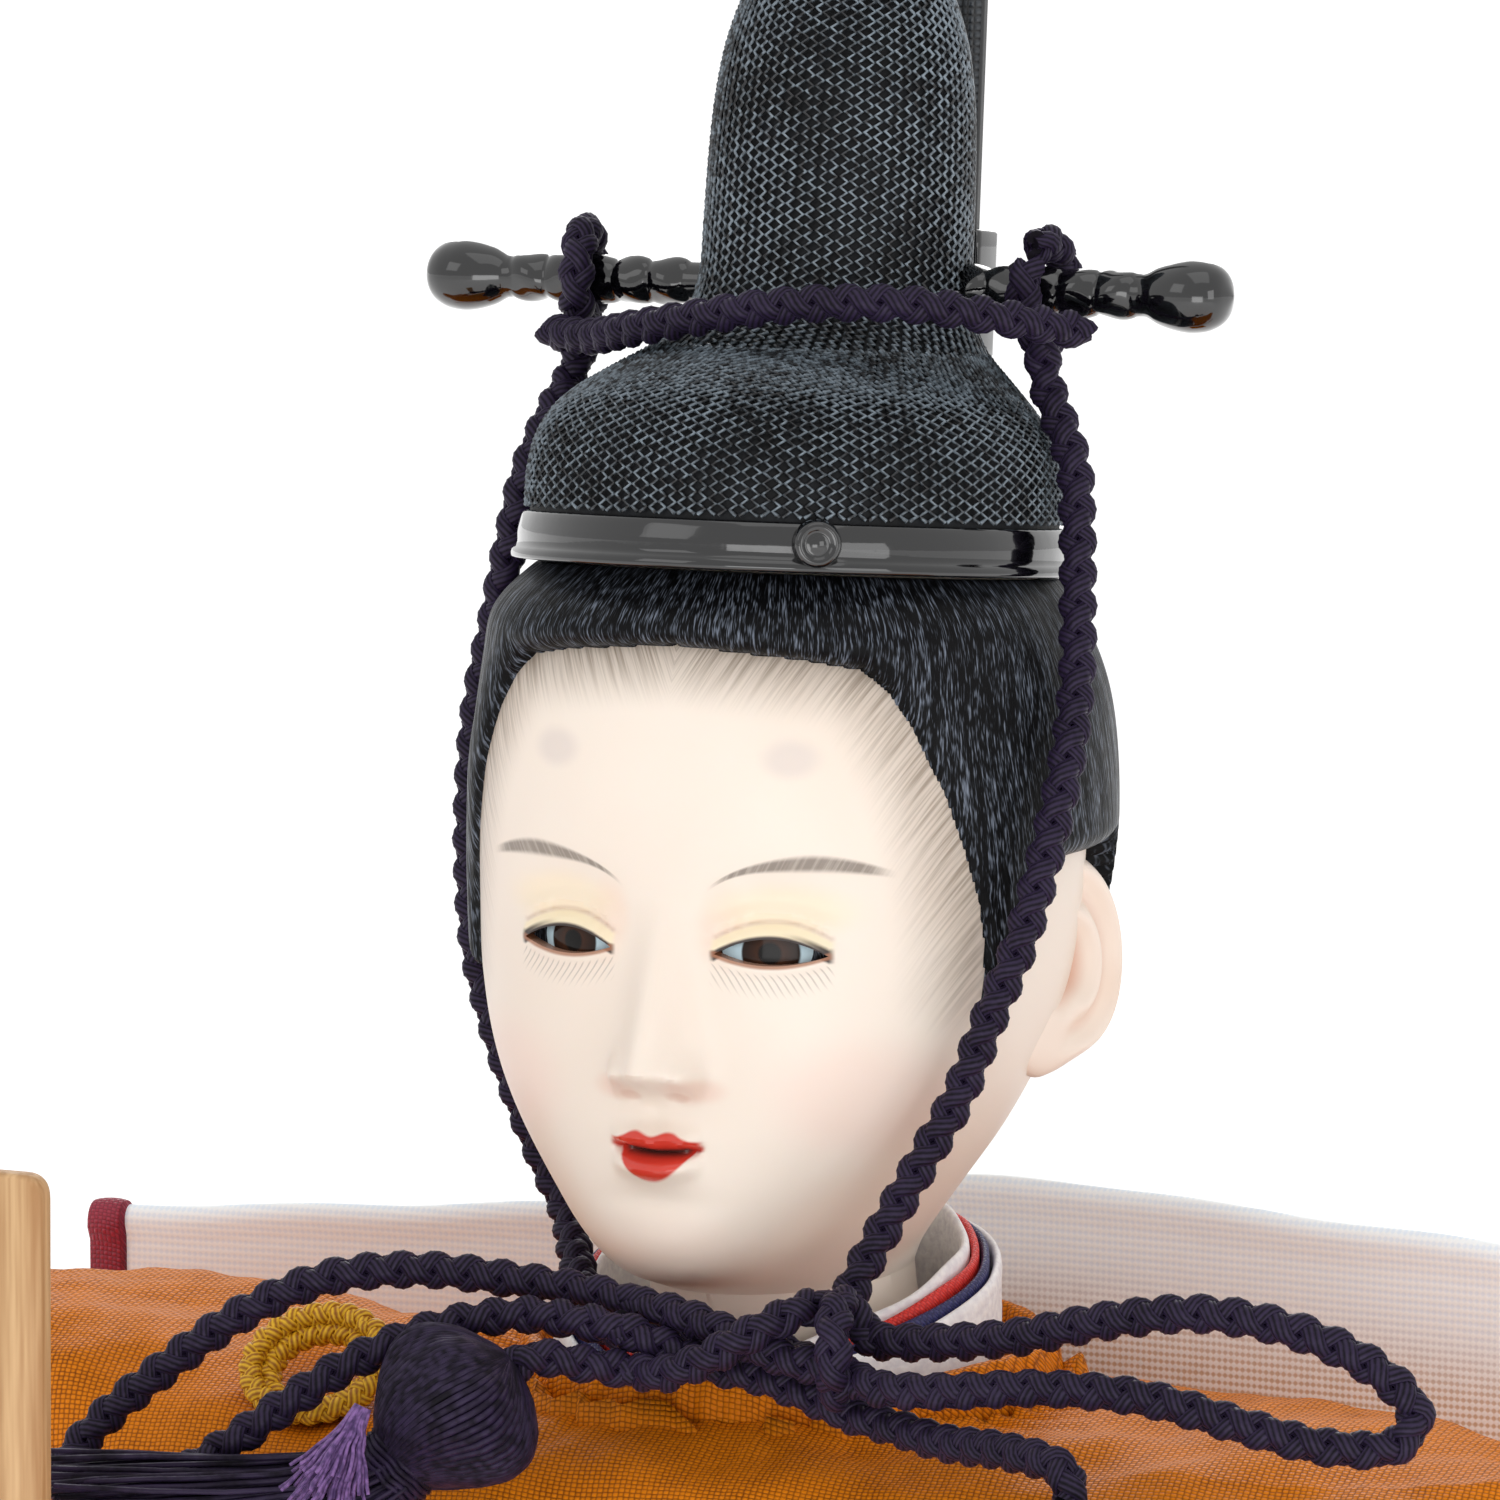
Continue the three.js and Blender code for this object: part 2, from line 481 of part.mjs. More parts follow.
function headRing(z, grow, columns) {
  if (z < chinZ) {
    const radius = head.neckRadius + grow;
    return ovalRing({ z, halfWidth: radius, middle: 0, front: -radius, back: radius, columns, crowd: 0.6 });
  }
  const [, width, middle, front, back, square] = rowAt(headRowShares, (z - chinZ) / head.height);
  return ovalRing({
    z, halfWidth: head.halfWidth * width + grow, middle: head.front * middle,
    front: -head.front * front - grow, back: head.back * back + grow, square, columns, crowd: 0.6,
  });
}

function headHeights(rows) {
  const heights = [neckBottomZ, chinZ - head.neckRadius / 2];
  for (let i = 0; i <= rows; i++) {
    const t = i / rows;
    const eased = t - 0.09 * Math.sin(2 * Math.PI * t);
    heights.push(chinZ + head.height * headRowShares.at(-1)[0] * eased);
  }
  return heights;
}

const headBody = skin(headHeights(headRows).map((z) => headRing(z, 0, headColumns).map((p) => {
  if (p.y < 0) p.y -= faceRise(p.x, z) * smooth(0, head.front / 2, -p.y);
  return p;
})));

// An ear: a leaning oval plate with a dished outer side.
function earBody(side, grow) {
  const plate = new THREE.SphereGeometry(1, 12, 8);
  plate.scale(ear.halfThick + grow, ear.halfDepth + grow, ear.halfHeight + grow);
  const dish = new THREE.SphereGeometry(1, 8, 6);
  dish.scale(ear.dish, ear.halfDepth * 0.62, ear.halfHeight * 0.62);
  dish.translate(ear.halfThick, 0, ear.halfHeight * 0.08);
  const body = grow > 0 ? solidOf(plate) : solidOf(plate).subtract(solidOf(dish));
  const shape = geometryOf(body).rotateZ(-ear.flare).rotateX(-ear.lean);
  shape.translate(head.halfWidth * ear.sideShare, ear.y, earZ);
  return side > 0 ? shape : mirrored(shape);
}

// An eye opening seen from the front, drawn as two arcs between the corners and pushed back into the head.
function eyeOpening(inset) {
  const [length, height] = [eye.halfLength - inset, eye.halfHeight - inset];
  const outline = new THREE.Shape();
  outline.moveTo(-length, 0);
  outline.quadraticCurveTo(0, 2 * height, length, 0);
  outline.quadraticCurveTo(0, -1.3 * height, -length, 0);
  const depth = head.front;
  const prism = new THREE.ExtrudeGeometry(outline, { depth, bevelEnabled: false, curveSegments: 7 });
  return prism.rotateX(Math.PI / 2);
}
const eyeZ = chinZ + eye.rise;
const eyeFaceY = -headRing(eyeZ, 0, headColumns).reduce((best, p) => (
  Math.abs(p.x - eye.side) < Math.abs(best.x - eye.side) && p.y < 0 ? p : best
)).y;
const eyeBackY = eye.depth - eyeFaceY;
const eyeBall = new THREE.SphereGeometry(eye.ballRadius, 24, 24).translate(
  eye.side - (eye.ballRadius + eye.sunk) * Math.sin(eye.turn),
  (eye.ballRadius + eye.sunk) * Math.cos(eye.turn) - eyeFaceY,
  eyeZ,
);
const eyePocket = eyeOpening(0).translate(eye.side, eyeBackY, eyeZ);
const eyeGlass = geometryOf(
  solidOf(eyeBall).intersect(solidOf(eyeOpening(gap).translate(eye.side, eyeBackY - gap, eyeZ))),
);
place("eye_left", eyeGlass, glass);
place("eye_right", mirrored(eyeGlass), glass);

const pegSocket = post(peg.radius + gap, neckBottomZ - overrun, pegTopZ + gap, peg.sides);
place("head_shell", geometryOf(
  solidOf(headBody).add(solidOf(earBody(1, 0))).add(solidOf(earBody(-1, 0)))
    .subtract(solidOf(eyePocket)).subtract(solidOf(mirrored(eyePocket))).subtract(solidOf(pegSocket)),
), shell);

// The hair lies on the head from the hairline back, rolled under the hat's rim.
const hairlineY = head.front * hairlineYShare;
const napeZ = earZ - hair.napeDrop;
function hairThickness(p, thick) {
  const roll = hair.rollExtra * Math.exp(-(((p.z - hairRollZ) / hair.rollReach) ** 2));
  return thick * (1 - smooth(hairSideTopZ, crownZ, p.z) / 2) + roll * smooth(0, -hairlineY, -p.y);
}
function hairShell(thick, footZ) {
  const heights = headHeights(hairRows).filter((z) => z > footZ - head.neckRadius);
  const outer = skin(heights.map((z) => {
    const plain = headRing(z, 0, hairColumns);
    const full = headRing(z, thick + hair.rollExtra, hairColumns);
    return full.map((p, i) => {
      const atSide = (1 - smooth(hairSideTopZ, hairRollZ, z)) * (1 - smooth(hairlineY, 0, p.y));
      const share = (hairThickness(p, thick) / (thick + hair.rollExtra)) * (1 - hair.edgeThinning * atSide);
      return plain[i].lerp(p, share);
    });
  }));
  const inner = skin(headHeights(hairRows).map((z) => headRing(z, hair.seat, hairColumns)));
  const topPlane = boxBetween([-overrun, -overrun, 0], [overrun, overrun, overrun]);
  topPlane.translate(0, 0, -gap).rotateX(hat.pitch).translate(0, hat.y, hatBaseZ);
  const foot = boxBetween([-overrun, -overrun, neckBottomZ], [overrun, overrun, footZ]);
  return solidOf(outer).subtract(solidOf(inner)).subtract(solidOf(topPlane)).subtract(solidOf(foot))
    .subtract(solidOf(earBody(1, gap))).subtract(solidOf(earBody(-1, gap)));
}
const faceOutline = new THREE.Shape();
const hairlinePoints = hairlineShares.map(([x, z]) => new THREE.Vector2(
  x * head.halfWidth, chinZ + z * head.height,
));
const hairlineFoot = new THREE.Vector2(hairlinePoints.at(-1).x, neckBottomZ);
const mirroredHairline = hairlinePoints.slice(1).map((p) => new THREE.Vector2(-p.x, p.y)).reverse();
faceOutline.setFromPoints([
  new THREE.Vector2(-hairlineFoot.x, hairlineFoot.y), ...mirroredHairline, ...hairlinePoints, hairlineFoot,
]);
const faceCut = new THREE.ExtrudeGeometry(faceOutline, { depth: overrun, bevelEnabled: false });
faceCut.rotateX(Math.PI / 2).translate(0, hairlineY, 0);
const sideburnCut = boxBetween([-overrun, -overrun, neckBottomZ], [overrun, 0, earZ - hair.sideburnDrop]);
const overEarZ = earZ + ear.halfHeight + hair.overEar;
const aroundEarCut = boxBetween([-overrun, -gap, neckBottomZ], [overrun, overrun, overEarZ]);
const behindSplit = boxBetween([-overrun, hair.splitY, neckBottomZ], [overrun, overrun, crownZ + overrun]);
const beforeSplit = boxBetween(
  [-overrun, -overrun, neckBottomZ], [overrun, hair.splitY + gap, crownZ + overrun],
);
place("hair_front", geometryOf(
  hairShell(hair.thick, napeZ).subtract(solidOf(faceCut)).subtract(solidOf(sideburnCut))
    .subtract(solidOf(aroundEarCut)).subtract(solidOf(behindSplit)),
), blackSilk);
place("hair_back", geometryOf(hairShell(hair.backThick, napeZ).subtract(solidOf(beforeSplit))), blackSilk);

// The hat's rim: a lacquered band with a lip below and a small round boss.
function rimSection(turn) {
  const [s, c] = [Math.sin(turn), -Math.cos(turn)];
  const profile = [
    [-rim.thick, 0], [rim.lip / 2, 0], [rim.lip, rim.lipHeight / 2], [0, rim.lipHeight],
    [-rim.lip * 0.1, rim.height * 0.6], [-rim.lip * 0.6, rim.height], [-rim.thick, rim.height],
  ];
  return profile.map(([out, z]) => new THREE.Vector3((rimHalfWidth + out) * s, (rimHalfDepth + out) * c, z));
}
const rimSections = [];
for (let i = 0; i < rim.columns; i++) rimSections.push(rimSection((2 * Math.PI * i) / rim.columns));
const bossDisc = new THREE.CylinderGeometry(boss.radius * 0.85, boss.radius, rim.thick / 2 + boss.rise, 10);
const bossRing = new THREE.TorusGeometry(boss.radius * 0.72, boss.rise * 0.45, 4, 10);
bossDisc.translate(0, boss.rise / 2 - rim.thick / 4, 0);
bossRing.rotateX(Math.PI / 2).translate(0, boss.rise, 0);
const bossBody = solidOf(bossDisc).add(solidOf(bossRing));
const bossPlace = geometryOf(bossBody).rotateX(Math.PI).rotateZ(boss.turn);
bossPlace.translate(
  rimHalfWidth * Math.sin(boss.turn), -rimHalfDepth * Math.cos(boss.turn), rim.height * 0.58,
);
place("hat_rim", geometryOf(solidOf(skin(rimSections, true)).add(solidOf(bossPlace))), lacquer, hatGroup);

// The crown: stiff net drawn up from the rim into a tall hump, with a hole on each side for the pin.
function crownRow(t, shrink) {
  const [height, width, front, back] = rowAt(crownRowShares, t);
  const [halfWidth, halfDepth] = [rimHalfWidth - crown.inset, rimHalfDepth - crown.inset];
  const slim = Math.max(halfWidth * width - shrink, halfWidth * 0.03);
  const middle = (halfDepth * (front + back)) / 2;
  const half = Math.max((halfDepth * (back - front)) / 2 - shrink, halfDepth * 0.03);
  const z = crownFootZ + crown.height * height;
  return { z, halfWidth: slim, middle, front: middle - half, back: middle + half };
}
function crownBody(shrink) {
  const rings = [];
  for (let i = 0; i <= crown.rows; i++) {
    const row = crownRow(i / crown.rows, shrink);
    const lowered = shrink > 0 ? (shrink * i) / crown.rows + (i === 0 ? overrun : 0) : 0;
    rings.push(ovalRing({ ...row, z: row.z - lowered, columns: crown.columns }));
  }
  return skin(rings);
}
function acrossPin(radius, halfLength, sides) {
  return new THREE.CylinderGeometry(radius, radius, 2 * halfLength, sides).rotateZ(Math.PI / 2)
    .translate(0, topknot.y, pinZ);
}
const pinRoom = solidOf(acrossPin(pin.radius + pin.bead + gap, overrun, pin.sides));
place("hat_crown", geometryOf(
  solidOf(crownBody(0)).subtract(solidOf(crownBody(crown.wall))).subtract(pinRoom),
), net, hatGroup);

// The topknot, bound hair standing in the hump on the top of the head, with the pin through it.
const topknotFootZ = hat.sunk + gap;
const topknotHeight = crown.height * topknot.heightShare;
const topknotShares = [[0, 0], [0.9, 0], [1, 0.3], [0.9, 0.45], [1, 0.6], [0.8, 1], [0, 1]];
const topknotBody = new THREE.LatheGeometry(topknotShares.map(([radius, height]) => new THREE.Vector2(
  topknot.radius * radius, topknotFootZ + topknotHeight * height,
)), topknot.sides).rotateX(Math.PI / 2).translate(0, topknot.y, 0);
place("topknot", geometryOf(solidOf(topknotBody).subtract(pinRoom)), blackSilk, hatGroup);

// The pin: turned beads on each side and a pear-shaped knob at each end.
function pinProfile() {
  const half = [];
  const beadsStart = crownRow(0.3, 0).halfWidth;
  const beadsEnd = pin.halfLength - pin.knobLength;
  for (let i = 0; i < pin.beads; i++) {
    const along = (share) => beadsStart + ((beadsEnd - beadsStart) * (i + share)) / pin.beads;
    half.push([pin.radius, along(0)], [pin.radius + pin.bead, along(0.5)]);
  }
  half.push([pin.radius, beadsEnd]);
  for (const [radius, share] of pinKnobShares) {
    half.push([pin.knobRadius * radius, beadsEnd + pin.knobLength * share]);
  }
  const ends = [...half, [0, pin.halfLength]];
  return [...ends.map(([r, y]) => [r, -y]).reverse(), ...ends].map(([r, y]) => new THREE.Vector2(r, y));
}
const pinBody = new THREE.LatheGeometry(pinProfile(), pin.sides).rotateZ(Math.PI / 2);
place("hat_pin", pinBody.translate(pin.x, topknot.y, pinZ), lacquer, hatGroup);

// The pocket behind the hump and the ribbed tail that stands in it.
const pocketFootZ = crownFootZ + crown.height * pocket.riseShare;
const pocketFrontY = crownRow(pocket.riseShare, 0).back + gap;
const tailY = pocketFrontY + pocket.wall + gap + tail.ribRise + tail.thick / 2;
const tailRoomHalf = [tail.width / 2 + gap, tail.thick / 2 + tail.ribRise + gap];
const pocketBox = boxBetween(
  [-tailRoomHalf[0] - pocket.wall, pocketFrontY, pocketFootZ],
  [tailRoomHalf[0] + pocket.wall, tailY + tailRoomHalf[1] + pocket.wall, pocketFootZ + pocket.height],
);
const pocketRoom = boxBetween(
  [-tailRoomHalf[0], tailY - tailRoomHalf[1], pocketFootZ + pocket.wall],
  [tailRoomHalf[0], tailY + tailRoomHalf[1], pocketFootZ + pocket.height + overrun],
);
place("hat_pocket", geometryOf(solidOf(pocketBox).subtract(solidOf(pocketRoom))), lacquer, hatGroup);
const tailOutline = [];
const ribCount = Math.round(tail.width / tail.rib);
for (const side of [-1, 1]) {
  for (let i = 0; i <= 2 * ribCount; i++) {
    const x = side * (i / ribCount - 1) * (tail.width / 2);
    tailOutline.push(new THREE.Vector2(x, side * (-tail.thick / 2 - (i % 2) * tail.ribRise)));
  }
}
const tailFootZ = pocketFootZ + pocket.wall + gap;
const tailShape = new THREE.Shape(tailOutline);
const tailBody = new THREE.ExtrudeGeometry(tailShape, { depth: tail.length, bevelEnabled: false });
place("hat_tail", tailBody.translate(0, tailY, tailFootZ), net, hatGroup);

// The cord over the hat, its turn round each end of the pin, and the two lengths down the cheeks.
function placeCord(name, route, steps) {
  place(name, tubeAlong(route, cord.radius, cord.sides, steps), purpleCord);
}
placeCord("crown_cord", crownCordRoute, cordSteps.crown);
placeCord("cheek_cord_left", cheekCordLeftRoute, cordSteps.cheek);
placeCord("cheek_cord_right", cheekCordRightRoute, cordSteps.cheek);
function pinLoopBody(side, tilt) {
  const ringRadius = pin.radius + pin.bead + cord.radius + gap;
  const ring = new THREE.TorusGeometry(ringRadius, cord.radius, cord.sides, 12);
  return ring.rotateY(Math.PI / 2).rotateZ(tilt).translate(side, topknot.y, pinZ);
}
place("pin_loop_left", pinLoopBody(pinLoop.leftSide, pinLoop.leftTilt), purpleCord, hatGroup);
place("pin_loop_right", mirrored(pinLoopBody(pinLoop.rightSide, pinLoop.rightTilt)), purpleCord, hatGroup);

// The knot under the chin, the two loops of the bow and the two ends with their tassels.
const knotLength = 2 * (knot.halfLength - knot.radius);
const knotCore = new THREE.CapsuleGeometry(knot.radius, knotLength, 3, 9).rotateZ(Math.PI / 2);
let knotBody = solidOf(knotCore);
for (let i = 0; i < knot.wraps; i++) {
  const wrap = new THREE.TorusGeometry(knot.radius * 0.8, cord.radius, 6, 10).rotateY(Math.PI / 2);
  wrap.rotateZ(knot.turn * 3).translate((i - (knot.wraps - 1) / 2) * knot.radius * 1.5, 0, 0);
  knotBody = knotBody.add(solidOf(wrap));
}
const knotPlace = geometryOf(knotBody).rotateY(knot.turn).rotateZ(knot.turn);
place("chin_knot", knotPlace.translate(knot.x, knot.y, knot.z), purpleCord);
placeCord("bow_loop_left", bowLeftRoute, cordSteps.bow);
placeCord("bow_loop_right", bowRightRoute, cordSteps.bow);
placeCord("cord_tail_left", tailLeftRoute, cordSteps.tail);
placeCord("cord_tail_right", tailRightRoute, cordSteps.tail);

// A tassel hanging along a direction from the end of its cord: a round head bound at the neck, and a skirt
// with lobes.
function tasselBody(route, direction) {
  const rows = tasselHeadShares.map(([along, width]) => [
    along * tassel.headLength, width * tassel.headRadius, 0,
  ]);
  const skirtLength = tassel.length - tassel.headLength;
  for (const share of tasselSkirtShares) {
    const spread = tassel.skirtRadius * (0.5 + 0.5 * share ** 0.6);
    rows.push([tassel.headLength + share * skirtLength, spread, tassel.lobeDepth * share]);
  }
  const rings = rows.map(([along, radius, lobe]) => {
    const ring = [];
    for (let i = 0; i < 2 * tassel.lobes; i++) {
      const turn = (Math.PI * i) / tassel.lobes;
      const reach = radius + (i % 2 ? lobe : -lobe);
      ring.push(new THREE.Vector3(reach * Math.cos(turn), reach * Math.sin(turn), -along));
    }
    return ring;
  });
  const down = new THREE.Vector3(...direction).normalize();
  const turn = new THREE.Quaternion().setFromUnitVectors(new THREE.Vector3(0, 0, -1), down);
  const end = new THREE.Vector3(...route.at(-1)).addScaledVector(down, 2 * gap);
  return skin(rings).applyQuaternion(turn).translate(...end.toArray());
}
const tasselRight = tasselBody(tailRightRoute, tasselRightWay);
place("tassel_left", tasselBody(tailLeftRoute, tasselLeftWay), purpleCord);
place("tassel_right", tasselRight, purpleCord);
const tuftBody = new THREE.ConeGeometry(tuft.radius, tuft.length, tuft.sides).rotateX(Math.PI / 2);
tuftBody.rotateY(tuft.dip).rotateZ(tuft.heading).translate(tuft.x, tuft.y, tuft.z);
place("tassel_tuft", geometryOf(solidOf(tuftBody).subtract(
  solidOf(tasselRight.clone().translate(0, -gap, gap)),
)), purpleTuft);

// The neck bands, wound from the right breast round the neck to the left breast, so that they cross in front.
const collarFootZ = core.topZ + gap;
const collarLayers = [
  ["collar_white_inner", whiteSilk], ["collar_red_piping", redSilk], ["collar_purple_piping", navySilk],
  ["collar_white_outer", whiteSilk],
];
collarLayers.forEach(([name, material], order) => {
  const sections = [];
  for (let i = 0; i <= collarSteps; i++) {
    const turn = ((2 * i) / collarSteps - 1) * collar.halfTurn;
    const lane = collarLanes * laneWidth * (turn / (2 * Math.PI));
    const inner = collarRadius + order * laneWidth + lane;
    const fall = collar.drop * (Math.abs(turn) / Math.PI) ** collar.fallPower;
    const topZ = chinZ + collar.overChin - order * collarStep - fall;
    const section = [[inner, topZ], [inner + collar.thick, topZ]];
    section.push([inner + collar.thick, collarFootZ], [inner, collarFootZ]);
    sections.push(section.map(([radius, z]) => new THREE.Vector3(
      -radius * Math.sin(turn), radius * Math.cos(turn), z,
    )));
  }
  place(name, skin(sections), material);
});

// The lap, the torso and the sleeves are each a form that can be grown to leave room round it.
function lapBody(grow) {
  const rings = [];
  for (let i = 0; i <= lap.rows; i++) {
    const lift = (Math.PI / 2) * (i / lap.rows) * 0.97;
    const [out, up] = [Math.cos(lift) ** lap.power, Math.sin(lift) ** lap.power];
    const foot = i === 0 ? grow : 0;
    rings.push(ovalRing({
      z: lapFootZ - foot + (lap.height + grow - lapFootZ) * up, halfWidth: (lap.halfWidth + grow) * out,
      middle: lap.y, front: lap.y - (lap.halfDepth + grow) * out, back: lap.y + (lap.halfDepth + grow) * out,
      square: lap.square, columns: lap.columns,
    }));
  }
  return skin(rings);
}
function torsoBody(grow) {
  const rings = [];
  for (let i = 0; i <= torso.rows; i++) {
    const [height, width, front, back] = rowAt(torsoRowShares, 1 - (1 - i / torso.rows) ** 1.6);
    const sunk = i === torso.rows ? grow : grow * smooth(0.7, 1, height);
    const ring = ovalRing({
      z: torso.footZ + (shoulderZ - torso.footZ) * height + sunk, halfWidth: torso.halfWidth * width + grow,
      middle: torso.back * (back - 1) * 0.5, front: torso.front * front - grow,
      back: torso.back * back + grow, square: torso.square, columns: torso.columns,
    });
    const lifted = torso.rightRise * smooth(0.75, 1, height);
    ring.forEach((p) => {
      p.z += lifted * smooth(collarInner, torso.halfWidth * 0.85, -p.x);
    });
    rings.push(ring);
  }
  return skin(rings);
}
function armRoute(shares) {
  return shares.map(([x, y, z]) => [sleeve.reach * x, sleeve.depth * y, sleeveTopZ * z]);
}
const armLeftRoute = armRoute(armLeftShares);
const armRightRoute = armRoute(armRightShares);
function armBody(route, grow) {
  return tubeAlong(route, arm.radius + grow, arm.sides, arm.steps);
}
const lapRoom = solidOf(lapBody(gap));
const skirtRoom = solidOf(lapBody(skirt.thick + 2 * gap));
const armRooms = solidOf(armBody(armLeftRoute, gap)).add(solidOf(armBody(armRightRoute, gap)));
place("arm_core_left", armBody(armLeftRoute, 0), straw);
place("arm_core_right", armBody(armRightRoute, 0), straw);

const collarSeat = post(collarInner + robe.collarThick + gap, robeSeatZ, shoulderZ + overrun, roundSides);

// The padded under-robe fills the torso down to the lap, with a well for the neck bands.
const belowPadding = boxBetween([-overrun, -overrun, -overrun], [overrun, overrun, lap.height]);
const collarWell = post(collarInner, core.topZ, shoulderZ + overrun, roundSides);
const padding = solidOf(torsoBody(-robe.thick - gap)).subtract(solidOf(belowPadding))
  .subtract(skirtRoom).subtract(solidOf(collarSeat)).subtract(solidOf(collarWell)).subtract(coreRoom)
  .subtract(armRooms);
place("under_robe", geometryOf(padding), whiteSilk);

// The over-robe's front and back, sewn up the sides and along the shoulders, open at the neck.
const neckHole = post(collarInner - gap, core.topZ, shoulderZ + overrun, roundSides);
const robeShell = solidOf(torsoBody(0)).subtract(solidOf(torsoBody(-robe.thick))).subtract(skirtRoom)
  .subtract(solidOf(neckHole)).subtract(solidOf(collarSeat)).subtract(armRooms);
const behindSeam = boxBetween([-overrun, robe.seamY, -overrun], [overrun, overrun, shoulderZ + overrun]);
const beforeSeam = boxBetween(
  [-overrun, -overrun, -overrun], [overrun, robe.seamY + gap, shoulderZ + overrun],
);
place("robe_front", geometryOf(robeShell.subtract(solidOf(behindSeam))), orangeSilk);
place("robe_back", geometryOf(robeShell.subtract(solidOf(beforeSeam))), orangeSilk);
const collarOuter = collarInner + robe.collarThick;
const robeCollarTopZ = robeSeatZ + robe.collarHeight;
const collarRing = [];
for (let i = 0; i < roundSides; i++) {
  const turn = (2 * Math.PI * i) / roundSides;
  const [s, c] = [Math.sin(turn), Math.cos(turn)];
  const section = [
    [collarInner, robeSeatZ + gap], [collarOuter, robeSeatZ + gap],
    [collarOuter, robeCollarTopZ - robe.collarThick / 2],
    [collarInner + robe.collarThick / 2, robeCollarTopZ], [collarInner, robeCollarTopZ - gap],
  ];
  collarRing.push(section.map(([radius, z]) => new THREE.Vector3(radius * c, radius * s, z)));
}
place("robe_collar", skin(collarRing, true), orangeSilk);
const buttonRing = new THREE.TorusGeometry(buttonLoop.radius, buttonLoop.thick, 6, 14);
buttonRing.scale(buttonLoop.stretch, 1, 1).rotateX(buttonLoop.tilt);
place("button_loop", buttonRing.translate(
  torso.halfWidth * buttonLoop.xShare, torso.front * buttonLoop.yShare, shoulderZ + buttonLoop.rise,
), goldCord);

// The white sheet that stands behind the shoulders, with a rolled top edge and a bound end on each side.
function sheetTop(share) {
  return shoulderZ + backSheet.rise * (1 - rowAt(sheetDropShares, share)[1]);
}
function sheetSection(share, swell) {
  const y = torso.back * backSheet.yShare - backSheet.bow * share * share;
  const [half, top] = [backSheet.thick / 2 + swell, sheetTop(share) + swell];
  const roll = top - 2 * half;
  const foot = neckBottomZ - swell;
  const outline = [
    [-half, foot], [half, foot], [half, roll - half], [half * 1.7, roll], [half * 1.2, top - half / 2],
    [0, top], [-half * 1.2, top - half / 2], [-half, roll],
  ];
  return outline.map(([dy, z]) => new THREE.Vector3(share * backSheetHalfWidth, y + dy, z));
}
const torsoRoom = solidOf(torsoBody(gap));
const sheetEndShare = 1 - (binding.width + gap) / backSheetHalfWidth;
const sheetSections = [];
for (let i = 0; i <= backSheet.steps; i++) {
  sheetSections.push(sheetSection(((2 * i) / backSheet.steps - 1) * sheetEndShare, 0));
}
place("back_sheet", geometryOf(solidOf(skin(sheetSections)).subtract(torsoRoom)), whiteSilk);
const bindingStart = 1 - binding.width / backSheetHalfWidth;
for (const [side, word] of [[1, "left"], [-1, "right"]]) {
  const ends = [sheetSection(side * bindingStart, binding.rise), sheetSection(side, binding.rise)];
  place("back_binding_" + word, geometryOf(solidOf(skin(ends)).subtract(torsoRoom)), darkRedSilk);
}

// The trousers over the crossed legs, one for each leg.
const trousers = solidOf(lapBody(0)).subtract(boardRoom).subtract(coreRoom);
const leftOfMiddle = boxBetween([-overrun, -overrun, -overrun], [gap / 2, overrun, lap.height + overrun]);
const rightOfMiddle = boxBetween([-gap / 2, -overrun, -overrun], [overrun, overrun, lap.height + overrun]);
place("trouser_left", geometryOf(trousers.subtract(solidOf(leftOfMiddle))), whiteSilk);
place("trouser_right", geometryOf(trousers.subtract(solidOf(rightOfMiddle))), whiteSilk);

// The robe's skirt lies over the lap in front, with a broad band along its foot.
const skirtBlock = boxBetween(
  [-skirt.halfWidth, -overrun, -overrun], [skirt.halfWidth, lap.y, lap.height + overrun],
);
const skirtShell = solidOf(lapBody(skirt.thick + gap)).subtract(lapRoom).intersect(solidOf(skirtBlock));
const skirtFootZ = lapFootZ + skirt.bandWidth;
const underBand = solidOf(boxBetween([-overrun, -overrun, -overrun], [overrun, overrun, skirtFootZ]));
place("robe_skirt", geometryOf(skirtShell.subtract(underBand)), orangeSilk);
const bandTop = boxBetween(
  [-overrun, -overrun, skirtFootZ - gap], [overrun, overrun, lap.height + overrun],
);
const bandFoot = boxBetween([-overrun, -overrun, -overrun], [overrun, overrun, lapFootZ]);
const bandShell = solidOf(lapBody(skirt.thick + gap + skirt.bandRise)).subtract(lapRoom)
  .intersect(solidOf(skirtBlock)).subtract(solidOf(bandTop)).subtract(solidOf(bandFoot));
place("skirt_band", geometryOf(bandShell), orangeSilk);

// The feet in white socks, sole to sole in front of the lap.
const bandRoom = solidOf(lapBody(skirt.thick + 2 * gap + skirt.bandRise));
const sockBody = new THREE.SphereGeometry(1, 12, 8).scale(sock.halfWidth, sock.halfLength, sock.height / 2);
const sockY = lap.y - lap.halfDepth - sock.reach;
sockBody.rotateZ(sock.turn).translate(sock.x, sockY, sock.height / 2 + lapFootZ);
const sockShape = geometryOf(solidOf(sockBody).subtract(bandRoom).subtract(solidOf(leftOfMiddle)));
place("sock_left", sockShape, whiteSilk);
place("sock_right", mirrored(sockShape), whiteSilk);

